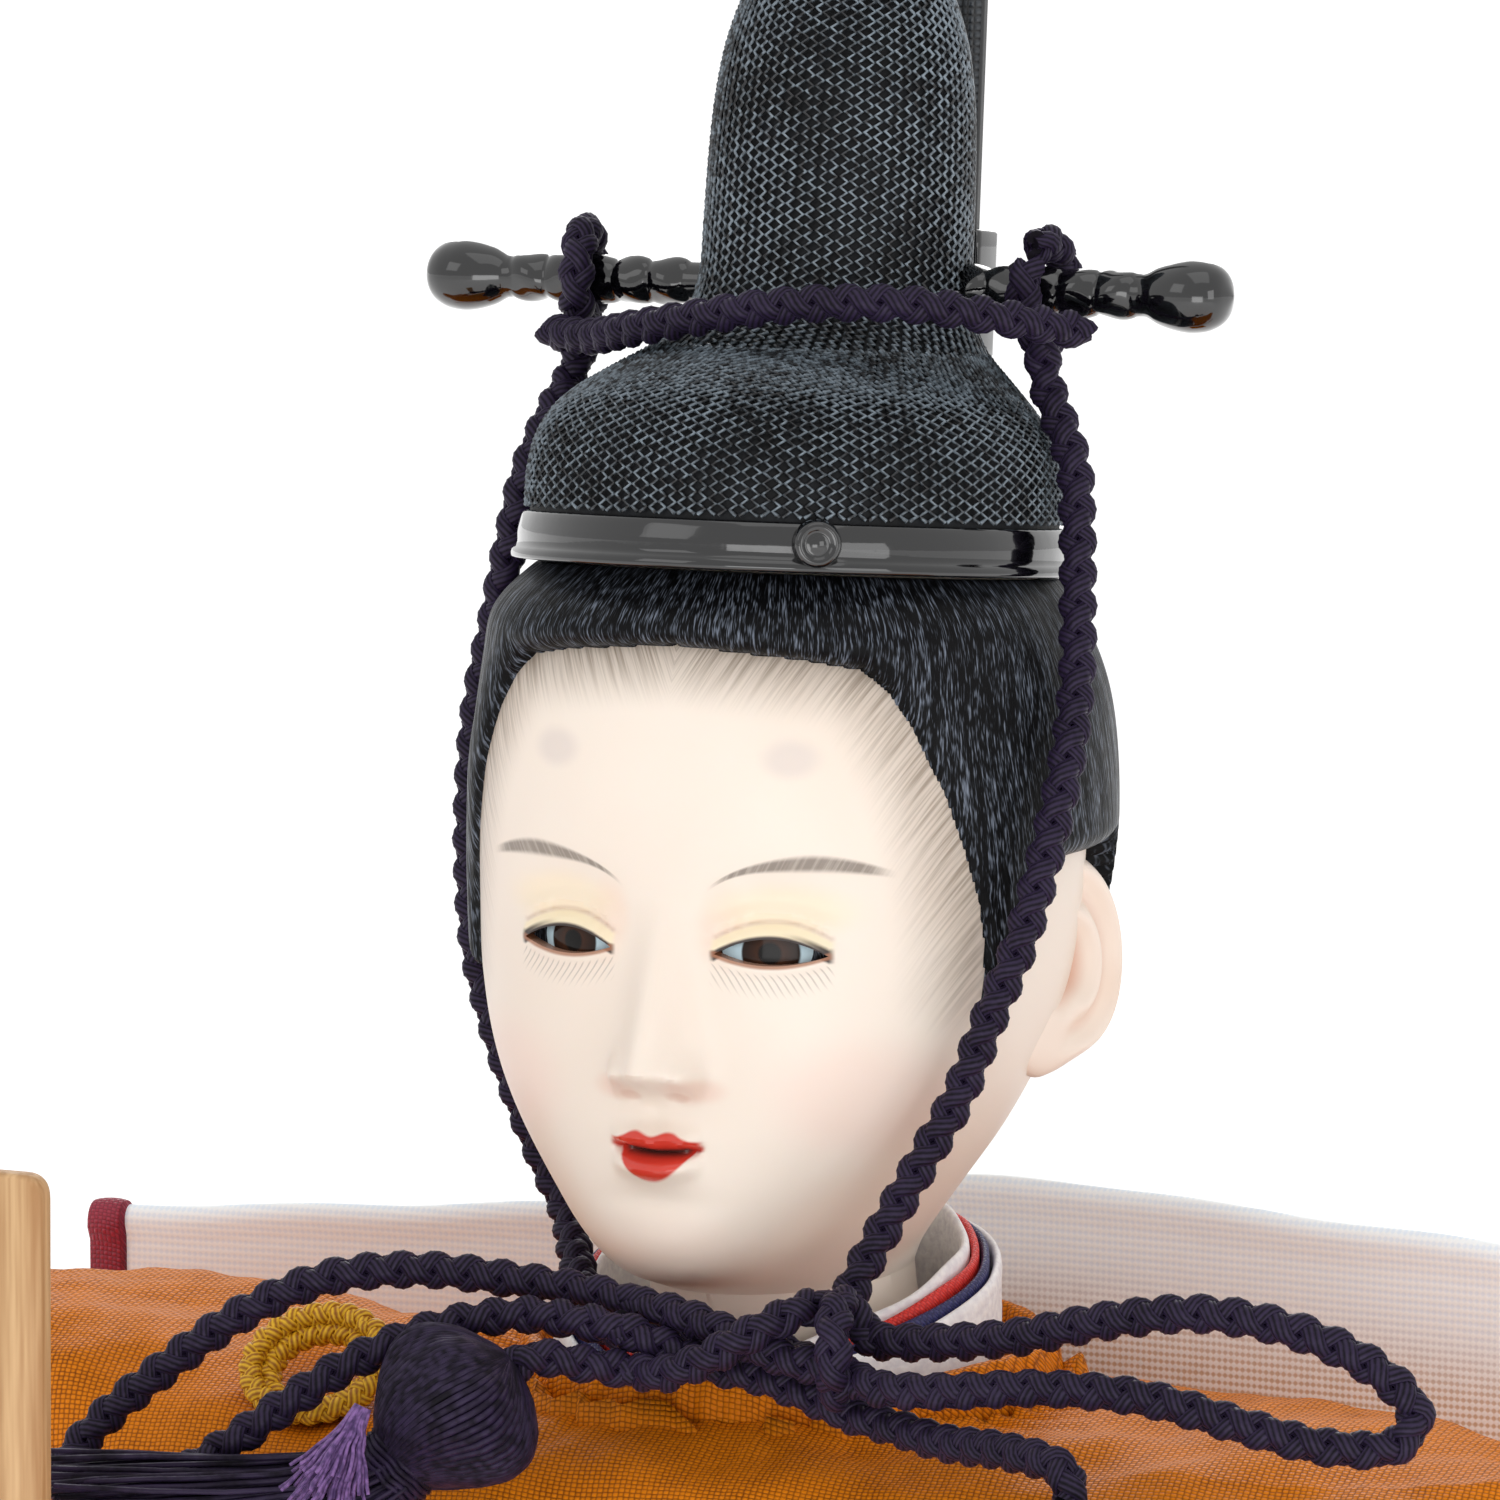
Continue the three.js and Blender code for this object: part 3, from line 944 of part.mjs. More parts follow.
// The train, a long folded cloth that lies behind.
const trainStartY = board.depth / 2 + 2 * gap;
const trainRings = [];
for (let i = 0; i <= train.steps; i++) {
  const share = i / train.steps;
  const lift = train.waveDepth * (1 + Math.cos(2 * Math.PI * train.waves * share)) / 2;
  const y = trainStartY + train.length * share;
  const half = train.halfWidth * (1 + train.flare * share);
  const topZ = lapFootZ + train.thick + lift;
  const section = [
    [-half, lapFootZ], [half, lapFootZ], [half, topZ - lift], [half * 0.9, topZ], [-half * 0.9, topZ],
    [-half, topZ - lift],
  ];
  trainRings.push(section.map(([x, z]) => new THREE.Vector3(x, y, z)));
}
place("train", geometryOf(solidOf(skin(trainRings)).subtract(torsoRoom)), darkRedSilk);

// A hand, drawn as the left one: a palm, the fingers closed in front of what it grips, and the thumb behind.
function digit(length, radius, fromX, y, z) {
  const capsule = new THREE.CapsuleGeometry(radius, length, 2, 6).rotateZ(Math.PI / 2);
  return solidOf(capsule.translate(fromX - length / 2, y, z));
}
function beyondWrist(spot, route) {
  return route.at(-1).map((value, i) => value + spot.fromWrist[i]);
}
const handLeftPlace = beyondWrist(handLeft, armLeftRoute);
const handRightPlace = beyondWrist(handRight, armRightRoute);
function handBody(spot, [x, y, z]) {
  const grip = shaku.thick / 2 + gap + hand.fingerRadius;
  const palm = new THREE.SphereGeometry(1, 9, 6);
  let body = solidOf(palm.scale(hand.palmHalfLength, hand.palmHalfThick, hand.palmHalfWidth));
  for (let i = 0; i < hand.fingers; i++) {
    const across = (2 * (i + 0.5)) / hand.fingers - 1;
    const length = hand.fingerLength * (1 - 0.2 * Math.abs(across - 0.2));
    body = body.add(digit(length, hand.fingerRadius, 0, -grip, across * hand.palmHalfWidth));
  }
  body = body.add(digit(hand.fingerLength * 0.7, hand.fingerRadius * 1.15, 0, grip, hand.palmHalfWidth / 2));
  return geometryOf(body).rotateY(spot.dip).rotateZ(spot.heading).translate(Math.abs(x), y, z);
}
const [shakuX, shakuY, shakuFootZ] = handRightPlace.map((value, i) => value + shaku.fromPalm[i]);
function shakuBody() {
  const [half, foot] = [shaku.width / 2, shaku.footWidth / 2];
  const outline = new THREE.Shape();
  outline.moveTo(-foot, 0);
  outline.lineTo(foot, 0);
  outline.lineTo(half, shaku.length - shaku.corner);
  outline.quadraticCurveTo(half, shaku.length, half - shaku.corner, shaku.length);
  outline.lineTo(shaku.corner - half, shaku.length);
  outline.quadraticCurveTo(-half, shaku.length, -half, shaku.length - shaku.corner);
  const slab = new THREE.ExtrudeGeometry(outline, {
    depth: shaku.thick, bevelEnabled: false, curveSegments: 4,
  });
  return slab.rotateX(Math.PI / 2).translate(shakuX, shakuY + shaku.thick / 2, shakuFootZ);
}
place("shaku", shakuBody(), wood);
const batonPath = boxBetween(
  [shakuX - shaku.width / 2 - gap, shakuY - shaku.thick / 2 - gap, shakuFootZ - gap],
  [shakuX + shaku.width / 2 + gap, shakuY + shaku.thick / 2 + gap, crownZ],
);
const leftHand = handBody(handLeft, handLeftPlace);
const rightHand = mirrored(handBody(handRight, handRightPlace));
place("hand_left", geometryOf(solidOf(leftHand).subtract(armRooms)), shell);
place("hand_right", geometryOf(solidOf(rightHand).subtract(armRooms).subtract(solidOf(batonPath))), shell);

// A sleeve: a wide hanging bag drawn from a folded hem up to the edge of its top.
function sleeveEdge(shares, side, grow) {
  const middle = new THREE.Vector3();
  const points = shares.map(([x, y, z], i) => {
    const lift = side < 0 && z !== undefined ? sleeveLiftShares[i] : 0;
    const height = z === undefined ? sleeve.hemZ : sleeveTopZ * (z + lift);
    const point = new THREE.Vector3(sleeve.reach * x, sleeve.depth * y, height);
    middle.addScaledVector(point, 1 / shares.length);
    return point;
  });
  const ring = new THREE.CatmullRomCurve3(points, true, "centripetal").getPoints(sleeve.columns).slice(0, -1);
  return ring.map((p) => {
    const out = new THREE.Vector3(p.x - middle.x, p.y - middle.y, 0).setLength(grow);
    return p.clone().add(out);
  });
}
function sleeveBody(side, grow) {
  const hem = sleeveEdge(sleeveHemShares, side, grow + mergeReach);
  const top = sleeveEdge(sleeveTopShares, side, grow + mergeReach);
  const rings = [];
  for (let row = 0; row <= sleeve.rows; row++) {
    const share = row / sleeve.rows;
    const depth = sleeve.foldDepth * (1 - share) ** 0.7;
    rings.push(hem.map((low, i) => {
      const point = low.clone().lerp(top[i], share);
      const out = new THREE.Vector3().subVectors(low, top[i]).setZ(0).normalize();
      const fold = depth * Math.sin((2 * Math.PI * sleeve.folds * i) / sleeve.columns);
      return point.addScaledVector(out, sleeve.bulge * Math.sin(Math.PI * share) + fold - sleeve.foldDepth);
    }));
  }
  const shape = skin(rings);
  return side > 0 ? shape : mirrored(shape);
}
const handRooms = solidOf(leftHand).add(solidOf(rightHand));
for (const [side, word] of [[1, "left"], [-1, "right"]]) {
  const around = torsoRoom.add(bandRoom).add(armRooms);
  const body = solidOf(sleeveBody(side, 0)).subtract(around).subtract(handRooms);
  place("sleeve_" + word, geometryOf(body), orangeSilk);
}

export default doll;
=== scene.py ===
import json
import math

import bmesh
import bpy
import numpy as np
from mathutils import Matrix, Vector
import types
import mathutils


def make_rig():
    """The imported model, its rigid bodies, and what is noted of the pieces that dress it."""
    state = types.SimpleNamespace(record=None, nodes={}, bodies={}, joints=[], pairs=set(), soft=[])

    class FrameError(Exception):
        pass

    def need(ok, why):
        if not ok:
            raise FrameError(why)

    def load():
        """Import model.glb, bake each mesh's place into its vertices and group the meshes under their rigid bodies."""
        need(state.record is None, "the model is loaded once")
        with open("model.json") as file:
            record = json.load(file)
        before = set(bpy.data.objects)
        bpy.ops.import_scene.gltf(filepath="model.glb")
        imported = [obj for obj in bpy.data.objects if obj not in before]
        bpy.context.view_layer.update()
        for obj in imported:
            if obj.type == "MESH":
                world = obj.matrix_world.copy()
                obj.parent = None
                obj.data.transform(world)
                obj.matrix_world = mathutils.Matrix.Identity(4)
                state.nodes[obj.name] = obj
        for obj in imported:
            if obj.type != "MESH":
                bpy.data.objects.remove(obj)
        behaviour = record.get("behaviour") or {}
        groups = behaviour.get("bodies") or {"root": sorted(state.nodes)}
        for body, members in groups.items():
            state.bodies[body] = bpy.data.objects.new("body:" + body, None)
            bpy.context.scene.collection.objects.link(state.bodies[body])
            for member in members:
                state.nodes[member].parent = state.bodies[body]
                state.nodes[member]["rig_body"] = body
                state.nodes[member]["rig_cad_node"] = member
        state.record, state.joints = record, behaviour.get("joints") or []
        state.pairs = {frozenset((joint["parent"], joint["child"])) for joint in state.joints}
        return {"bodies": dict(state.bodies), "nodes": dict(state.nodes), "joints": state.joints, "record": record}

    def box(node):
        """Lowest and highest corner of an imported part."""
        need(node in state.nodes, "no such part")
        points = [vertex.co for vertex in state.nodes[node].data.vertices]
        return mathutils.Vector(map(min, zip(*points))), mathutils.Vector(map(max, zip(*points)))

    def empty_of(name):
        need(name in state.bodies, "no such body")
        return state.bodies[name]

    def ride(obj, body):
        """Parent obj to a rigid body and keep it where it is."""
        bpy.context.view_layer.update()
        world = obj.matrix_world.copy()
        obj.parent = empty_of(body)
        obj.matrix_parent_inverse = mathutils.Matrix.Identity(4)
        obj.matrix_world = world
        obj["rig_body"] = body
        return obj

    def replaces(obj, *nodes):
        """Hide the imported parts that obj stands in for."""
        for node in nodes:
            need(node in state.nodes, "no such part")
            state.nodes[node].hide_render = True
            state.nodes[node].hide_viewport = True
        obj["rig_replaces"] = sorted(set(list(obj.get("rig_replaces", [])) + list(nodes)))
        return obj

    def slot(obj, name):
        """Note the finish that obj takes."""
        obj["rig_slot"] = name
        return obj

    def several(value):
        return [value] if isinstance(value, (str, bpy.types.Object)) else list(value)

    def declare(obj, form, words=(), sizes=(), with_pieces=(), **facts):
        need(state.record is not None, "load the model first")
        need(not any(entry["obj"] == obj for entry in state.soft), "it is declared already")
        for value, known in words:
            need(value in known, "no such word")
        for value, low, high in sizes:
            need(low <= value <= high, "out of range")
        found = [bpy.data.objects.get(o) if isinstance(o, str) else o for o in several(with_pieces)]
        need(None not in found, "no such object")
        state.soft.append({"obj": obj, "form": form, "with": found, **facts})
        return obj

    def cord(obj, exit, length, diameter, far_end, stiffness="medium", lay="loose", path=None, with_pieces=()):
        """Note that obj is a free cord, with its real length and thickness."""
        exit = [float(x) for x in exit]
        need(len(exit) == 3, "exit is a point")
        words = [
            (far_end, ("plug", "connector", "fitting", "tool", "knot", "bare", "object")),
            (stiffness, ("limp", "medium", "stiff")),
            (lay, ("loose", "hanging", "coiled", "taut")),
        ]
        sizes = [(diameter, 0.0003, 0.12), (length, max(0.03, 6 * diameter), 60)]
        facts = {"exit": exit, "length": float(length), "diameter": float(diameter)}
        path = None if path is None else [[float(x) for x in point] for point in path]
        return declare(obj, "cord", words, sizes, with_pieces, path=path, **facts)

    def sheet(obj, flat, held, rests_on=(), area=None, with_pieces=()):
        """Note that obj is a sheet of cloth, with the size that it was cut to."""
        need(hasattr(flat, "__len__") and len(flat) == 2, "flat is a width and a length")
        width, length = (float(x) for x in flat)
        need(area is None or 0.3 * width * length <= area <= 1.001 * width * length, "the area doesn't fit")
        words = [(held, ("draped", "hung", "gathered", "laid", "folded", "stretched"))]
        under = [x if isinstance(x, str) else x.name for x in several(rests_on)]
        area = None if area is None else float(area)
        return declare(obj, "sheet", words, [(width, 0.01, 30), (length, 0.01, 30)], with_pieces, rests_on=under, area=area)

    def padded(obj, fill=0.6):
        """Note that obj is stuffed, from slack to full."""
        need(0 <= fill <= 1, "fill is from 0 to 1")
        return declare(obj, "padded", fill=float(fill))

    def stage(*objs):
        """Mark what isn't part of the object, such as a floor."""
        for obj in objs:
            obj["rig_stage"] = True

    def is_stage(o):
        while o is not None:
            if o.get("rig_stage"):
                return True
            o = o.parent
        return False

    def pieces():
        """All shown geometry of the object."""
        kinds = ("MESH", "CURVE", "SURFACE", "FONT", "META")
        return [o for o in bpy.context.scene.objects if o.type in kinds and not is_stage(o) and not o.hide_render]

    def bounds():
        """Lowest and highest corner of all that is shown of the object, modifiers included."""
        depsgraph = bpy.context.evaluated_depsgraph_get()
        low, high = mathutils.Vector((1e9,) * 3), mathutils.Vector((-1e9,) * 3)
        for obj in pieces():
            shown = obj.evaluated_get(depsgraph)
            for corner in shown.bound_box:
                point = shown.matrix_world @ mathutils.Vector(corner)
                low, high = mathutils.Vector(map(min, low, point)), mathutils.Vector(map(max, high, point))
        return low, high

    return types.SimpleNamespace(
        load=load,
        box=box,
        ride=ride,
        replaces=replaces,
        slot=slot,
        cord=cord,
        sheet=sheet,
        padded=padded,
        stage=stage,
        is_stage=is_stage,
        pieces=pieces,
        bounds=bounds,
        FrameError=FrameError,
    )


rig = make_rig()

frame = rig.load()
cad_low, cad_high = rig.bounds()

# The studio: a white floor under soft light boxes, and a long lens at the height of the face. The camera stands
# 25 degrees round to the doll's left and looks down at it by 7 degrees. Nothing here belongs to the doll.
MM = 0.001
view_turn, view_drop = math.radians(25), math.radians(7)
view_distance, frame_width = 560 * MM, 104.2 * MM
image_right = Vector((math.cos(view_turn), math.sin(view_turn), 0))
towards_camera = Vector((
    math.sin(view_turn) * math.cos(view_drop), -math.cos(view_turn) * math.cos(view_drop), math.sin(view_drop),
))
look_at = Vector((0, 0, 190 * MM)) - 2.8 * MM * image_right


def placed(name, data):
    """A new object at the origin, linked to the scene."""
    made = bpy.data.objects.new(name, data)
    bpy.context.scene.collection.objects.link(made)
    return made


camera = placed("camera", bpy.data.cameras.new("camera"))
camera.data.sensor_width = 36
camera.data.lens = camera.data.sensor_width * view_distance / frame_width
camera.location = look_at + towards_camera * view_distance
camera.rotation_euler = (-towards_camera).to_track_quat("-Z", "Y").to_euler()
bpy.context.scene.camera = camera


class Wire:
    """A node socket that sums can be written on: each operator adds its Math node, in any kind of tree."""

    def __init__(self, tree, socket):
        self.tree, self.socket = tree, socket

    def node(self, kind, inputs=(), out=0, **settings):
        """Adds any node: its settings first, then the values or wires of its sockets."""
        made = self.tree.nodes.new(kind)
        for name, value in settings.items():
            setattr(made, name, value)
        for key, value in (inputs.items() if isinstance(inputs, dict) else enumerate(inputs)):
            if isinstance(value, Wire):
                self.tree.links.new(value.socket, made.inputs[key])
            else:
                made.inputs[key].default_value = value
        return Wire(self.tree, made.outputs[out])

    def math(self, operation, *values):
        return self.node("ShaderNodeMath", values, operation=operation)

    def __add__(self, other):
        return self.math("ADD", self, other)

    def __sub__(self, other):
        return self.math("SUBTRACT", self, other)

    def __rsub__(self, other):
        return self.math("SUBTRACT", other, self)

    def __mul__(self, other):
        return self.math("MULTIPLY", self, other)

    def __truediv__(self, other):
        return self.math("DIVIDE", self, other)

    def __pow__(self, other):
        return self.math("POWER", self, other)

    __radd__, __rmul__ = __add__, __mul__

    def sin(self):
        return self.math("SINE", self)

    def abs(self):
        return self.math("ABSOLUTE", self)

    def high(self, other):
        return self.math("MAXIMUM", self, other)

    def smooth(self, start, end, low=0.0, high=1.0):
        """Eases from low to high as the wire goes from start to end."""
        return self.node("ShaderNodeMapRange", (self, start, end, low, high), interpolation_type="SMOOTHSTEP")

    def near(self, middle, reach):
        """1 at the middle, easing to 0 where the wire is a reach away from it."""
        return (self - middle).abs().smooth(0.0, reach, 1.0, 0.0)

    def vector(self, operation, *values):
        return self.node("ShaderNodeVectorMath", (self, *values), operation=operation)

    def scaled(self, x, y, z):
        return self.vector("MULTIPLY", (x, y, z))

    def times(self, factor):
        """The vector made longer by a factor, which may be a wire."""
        return self.node("ShaderNodeVectorMath", {0: self, "Scale": factor}, operation="SCALE")

    def attribute(self, name, out="Fac"):
        return self.node("ShaderNodeAttribute", out=out, attribute_name=name)

    def parts(self):
        return [self.node("ShaderNodeSeparateXYZ", (self,), out=i) for i in range(3)]

    def noise(self, scale, detail=2.0, rough=0.5):
        inputs = {"Vector": self, "Scale": scale, "Detail": detail, "Roughness": rough}
        return self.node("ShaderNodeTexNoise", inputs, out="Fac")

    def mix(self, first, second):
        """The first colour where the wire is 0 and the second where it is 1."""
        inputs = {0: self, 6: first, 7: second}
        return self.node("ShaderNodeMix", inputs, out=2, data_type="RGBA", clamp_factor=True)

    def to(self, name):
        """Feeds a socket of the material's shader."""
        self.tree.links.new(self.socket, self.tree.nodes["Principled BSDF"].inputs[name])

    def bump(self, distance, strength):
        return self.node("ShaderNodeBump", {"Height": self, "Distance": distance, "Strength": strength})


def tone(red, green, blue):
    """A colour as a screen shows it, from 0 to 255, made linear for the shader."""
    return (*[((c / 255 + 0.055) / 1.055) ** 2.4 if c > 10 else c / 3295 for c in (red, green, blue)], 1.0)


def finish(name, colour, roughness=0.5, **fixed):
    """A material with its fixed values on the shader's own sockets, and the wire of its object coordinates."""
    material = bpy.data.materials.new(name)
    material.use_nodes = True
    shader = material.node_tree.nodes["Principled BSDF"]
    shader.inputs["Base Color"].default_value = colour
    shader.inputs["Roughness"].default_value = roughness
    for key, value in fixed.items():
        shader.inputs[key.replace("_", " ")].default_value = value
    place = Wire(material.node_tree, material.node_tree.nodes.new("ShaderNodeTexCoord").outputs["Object"])
    return material, place


def mottled(name, base, rough, shades, spots, grain, relief, stretch=(1, 1, 1), **fixed):
    """A finish whose colour wavers between two shades in soft spots, with a fine relief."""
    material, place = finish(name, base, rough, **fixed)
    place = place.scaled(*stretch)
    place.noise(*spots).smooth(0.3, 0.7).mix(*shades).to("Base Color")
    place.noise(*grain).bump(*relief).to("Normal")
    return material


def mesh_piece(name, points, faces, material):
    """A smooth-shaded mesh object at the origin from points in millimetres."""
    mesh = bpy.data.meshes.new(name)
    mesh.from_pydata([Vector(p) * MM for p in points], [], faces)
    mesh.polygons.foreach_set("use_smooth", [True] * len(mesh.polygons))
    mesh.materials.append(material)
    return placed(name, mesh)


def seat(piece, body, slot, *nodes, place=None):
    """Puts a finished piece in its place, and says what it rides on and stands for."""
    if place:
        piece.data.transform(place)
    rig.ride(piece, body)
    if nodes:
        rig.replaces(piece, *nodes)
    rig.slot(piece, slot)
    return piece


def turns_of(count):
    """Even turns round a circle."""
    return 2 * np.pi * np.arange(count) / count


def ring_about(middle, side, other, turn, reach):
    """Points round a middle, at each turn between two directions."""
    return np.array(middle) + np.outer(reach * np.cos(turn), side) + np.outer(reach * np.sin(turn), other)


floor_half = 12000
floor_finish, floor_place = finish(
    "floor_paper", tone(252, 252, 252), 0.9, Emission_Color=(1, 1, 1, 1), Emission_Strength=0.36,
)
floor_place.noise(40).smooth(0.3, 0.7, 0.85, 0.95).to("Roughness")
floor = mesh_piece(
    "floor", [(x * floor_half, y * floor_half, 0) for x, y in ((-1, -1), (1, -1), (1, 1), (-1, 1))],
    [(0, 1, 2, 3)], floor_finish,
)
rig.stage(floor)
world = bpy.data.worlds.new("studio")
world.use_nodes = True
seen = Wire(world.node_tree, world.node_tree.nodes.new("ShaderNodeLightPath").outputs["Is Camera Ray"])
backdrop = world.node_tree.nodes["Background"]
backdrop.inputs["Color"].default_value = (1, 1, 1, 1)
world.node_tree.links.new(seen.smooth(0, 1, 0.8, 1.0).socket, backdrop.inputs["Strength"])
bpy.context.scene.world = world
bpy.context.scene.view_settings.view_transform = "Standard"
for name, place, size, watts in (
    ("key_box", (-420, -780, 640), 420, 0.46), ("top_box", (160, -240, 900), 520, 0.45),
    ("side_box", (720, -420, 330), 380, 0.7), ("back_box", (-260, 620, 520), 360, 1.0),
    ("low_box", (260, -820, 40), 460, 1.6),
):
    light = placed(name, bpy.data.lights.new(name, "AREA"))
    light.data.energy, light.data.size = watts, size * MM
    light.location = Vector(place) * MM
    light.rotation_euler = (look_at - light.location).to_track_quat("-Z", "Y").to_euler()


# The hat cord: a round plait of four thick silk strands, each laid up from fine yarns and dyed a dark purple. It
# runs over the hat, turns round each end of the pin, comes down both cheeks and is tied in a bow under the chin.
# The points of its routes are in millimetres and are made metres by the curve that runs through them.
cord_width = 2.75
braid_sizes = {
    "Middle": 0.66 * MM, "Weave": 0.22 * MM, "Pitch": 2.3 * MM, "Step": 0.3 * MM, "Strands": 4, "Yarns": 20,
    "Half width": 0.72 * MM, "Half thickness": 0.5 * MM, "Groove": 0.09,
}


def between(a, b, start, end, t):
    return a + (b - a) * ((t - start) / (end - start))


def curve_points(route, per_span=8):
    """A smooth line in metres through points chosen in millimetres: a centripetal Catmull-Rom curve."""
    points = [Vector(p) * MM for p in route]
    points = [2 * points[0] - points[1], *points, 2 * points[-1] - points[-2]]
    line = []
    for p0, p1, p2, p3 in zip(points, points[1:], points[2:], points[3:]):
        k1 = math.sqrt((p1 - p0).length)
        k2 = k1 + math.sqrt((p2 - p1).length)
        k3 = k2 + math.sqrt((p3 - p2).length)
        for i in range(per_span):
            t = k1 + (k2 - k1) * i / per_span
            a1, a2, a3 = between(p0, p1, 0, k1, t), between(p1, p2, k1, k2, t), between(p2, p3, k2, k3, t)
            line.append(between(between(a1, a2, 0, k2, t), between(a2, a3, k1, k3, t), k1, k2, t))
    return [*line, points[-2]]


def line_length(line):
    return sum((b - a).length for a, b in zip(line, line[1:]))


def curve_object(name, lines):
    """A curve object with one open spline through each line of points."""
    data = bpy.data.curves.new(name, "CURVE")
    data.dimensions = "3D"
    for line in lines:
        spline = data.splines.new("POLY")
        spline.points.add(len(line) - 1)
        for point, place in zip(spline.points, line):
            point.co = (*place, 1)
    return placed(name, data)


class Grower:
    """A geometry tree under construction: its named inputs, and the shape that runs through it."""

    def __init__(self, name, sizes):
        self.tree = bpy.data.node_groups.new(name, "GeometryNodeTree")
        face = self.tree.interface
        face.new_socket("Geometry", in_out="OUTPUT", socket_type="NodeSocketGeometry")
        face.new_socket("Geometry", in_out="INPUT", socket_type="NodeSocketGeometry")
        for key, value in sizes.items():
            kind = "NodeSocketInt" if isinstance(value, int) else "NodeSocketFloat"
            face.new_socket(key, in_out="INPUT", socket_type=kind).default_value = value
        inputs = self.tree.nodes.new("NodeGroupInput")
        self.shape, *self.given = [Wire(self.tree, socket) for socket in inputs.outputs[:-1]]

    def step(self, kind, inputs=None, first="Geometry", **settings):
        """Passes the shape through a node."""
        self.shape = self.shape.node("GeometryNode" + kind, {first: self.shape, **(inputs or {})}, **settings)
        return self.shape

    def value(self, kind, inputs=(), out=0, **settings):
        return self.shape.node(kind, inputs, out, **settings)

    def keep(self, wire, kind="VECTOR"):
        """Holds a value on the shape as it is now, and gives it as a wire for later steps."""
        held = self.tree.nodes.new("GeometryNodeCaptureAttribute")
        held.capture_items.new(kind, "held")
        self.tree.links.new(self.shape.socket, held.inputs[0])
        self.tree.links.new(wire.socket, held.inputs[1])
        self.shape = Wire(self.tree, held.outputs[0])
        return Wire(self.tree, held.outputs[1])

    def store(self, name, wire):
        self.step("StoreNamedAttribute", {"Name": name, "Value": wire}, domain="POINT", data_type="FLOAT")

    def tube(self, section):
        """Sweeps a section along the curves."""
        self.step("CurveToMesh", {"Profile Curve": section, "Fill Caps": True}, "Curve")

    def round_section(self, sides, radius):
        return self.value("GeometryNodeCurvePrimitiveCircle", {"Resolution": sides, "Radius": radius})

    def close(self, material):
        """Ends the tree with real, smooth-shaded geometry and its material."""
        self.step("RealizeInstances")
        self.step("SetShadeSmooth")
        self.step("SetMaterial", {"Material": material})
        self.tree.links.new(self.shape.socket, self.tree.nodes.new("NodeGroupOutput").inputs[0])
        return self.tree


def evaluated_mesh(piece):
    """A mesh of what a piece's modifiers make of it."""
    return bpy.data.meshes.new_from_object(piece.evaluated_get(bpy.context.evaluated_depsgraph_get()))


def grown(name, source, tree, **sizes):
    """Runs a tree on an object, keeps the result as a plain mesh piece at the origin and removes the source."""
    modifier = source.modifiers.new("grow", "NODES")
    modifier.node_group = tree
    for item in tree.interface.items_tree:
        if item.in_out == "INPUT" and item.name in sizes:
            modifier[item.identifier] = sizes[item.name]
    mesh = evaluated_mesh(source)
    bpy.data.objects.remove(source)
    mesh.name = name
    return placed(name, mesh)


# Dark purple silk yarn: painted shade in the grooves between yarns and painted light on the crowns, with fine
# painted glints and soft random tone; the shader adds a soft violet sheen.
cord_silk, cord_place = finish(
    "purple_cord_silk", tone(40, 32, 48), 0.5, Sheen_Weight=0.05, Sheen_Roughness=0.4,
    Sheen_Tint=tone(150, 130, 190), Specular_IOR_Level=0.2,
)
# Fine fuzz: painted glints in the colour, and a fine relief in the bump.
fuzz_and_glint = cord_place.noise(2600, 1)
shade = (cord_place.attribute("crown") * 0.6 + cord_place.noise(220, 2) * 0.35 + fuzz_and_glint * 0.35).smooth(0.25, 1.0)
shade.mix(tone(8, 4, 12), tone(46, 35, 62)).to("Base Color")
shade.smooth(0.0, 1.0, 0.75, 0.42).to("Roughness")
fuzz_and_glint.bump(0.00005, 0.5).to("Normal")


def braid_tree(name, silk):
    """Half of the strands wind one way and half the other, each passing over and under in turn."""
    grow = Grower(name, braid_sizes)
    middle, weave, pitch, step, strands, yarns, wide, thick, groove = grow.given
    grow.step("ResampleCurve", {"Length": step}, "Curve", mode="LENGTH")
    copies = grow.step("DuplicateElements", {"Amount": strands}, domain="SPLINE")
    number = Wire(grow.tree, copies.socket.node.outputs[1])
    hand = 1 - 2 * number.math("MODULO", number, 2)
    start = number.math("FLOOR", number / 2) * math.pi
    along = grow.value("GeometryNodeSplineParameter", out="Length") / pitch
    turn = hand * along * math.pi + start
    normal = grow.value("GeometryNodeInputNormal")
    across = grow.value("GeometryNodeInputTangent").vector("CROSS_PRODUCT", normal)
    out = grow.keep(normal.times(turn.math("COSINE", turn)).vector("ADD", across.times(turn.sin())))
    over = hand * (along * 2 * math.pi).math("COSINE", along * 2 * math.pi)
    grow.step("SetPosition", {"Offset": out.times(middle + weave * over)})
    grow.step("SetCurveNormal", {"Normal": out}, "Curve", mode="FREE")
    strand_curve = grow.shape
    grow.shape = grow.round_section(yarns, 1.0)
    index = grow.value("GeometryNodeInputIndex")
    odd = index.math("MODULO", index, 2)
    crown = grow.keep(1 - odd, "FLOAT")
    place = grow.value("GeometryNodeInputPosition")
    size = grow.value("ShaderNodeCombineXYZ", (thick * (1 - groove * odd), wide * (1 - groove * odd), 1.0))
    grow.step("SetPosition", {"Position": place.vector("MULTIPLY", size)})
    section = grow.shape
    grow.shape = strand_curve
    grow.tube(section)
    grow.store("crown", crown)
    return grow.close(silk)


plait = braid_tree("round_plait", cord_silk)


def plaited(name, routes, node, slot="purple_cord", body="head", tree=plait, **sizes):
    """A piece of plait along one route or more, standing for a node."""
    piece = grown(name, curve_object(name, [curve_points(route) for route in routes]), tree, **sizes)
    return seat(piece, body, slot, node)


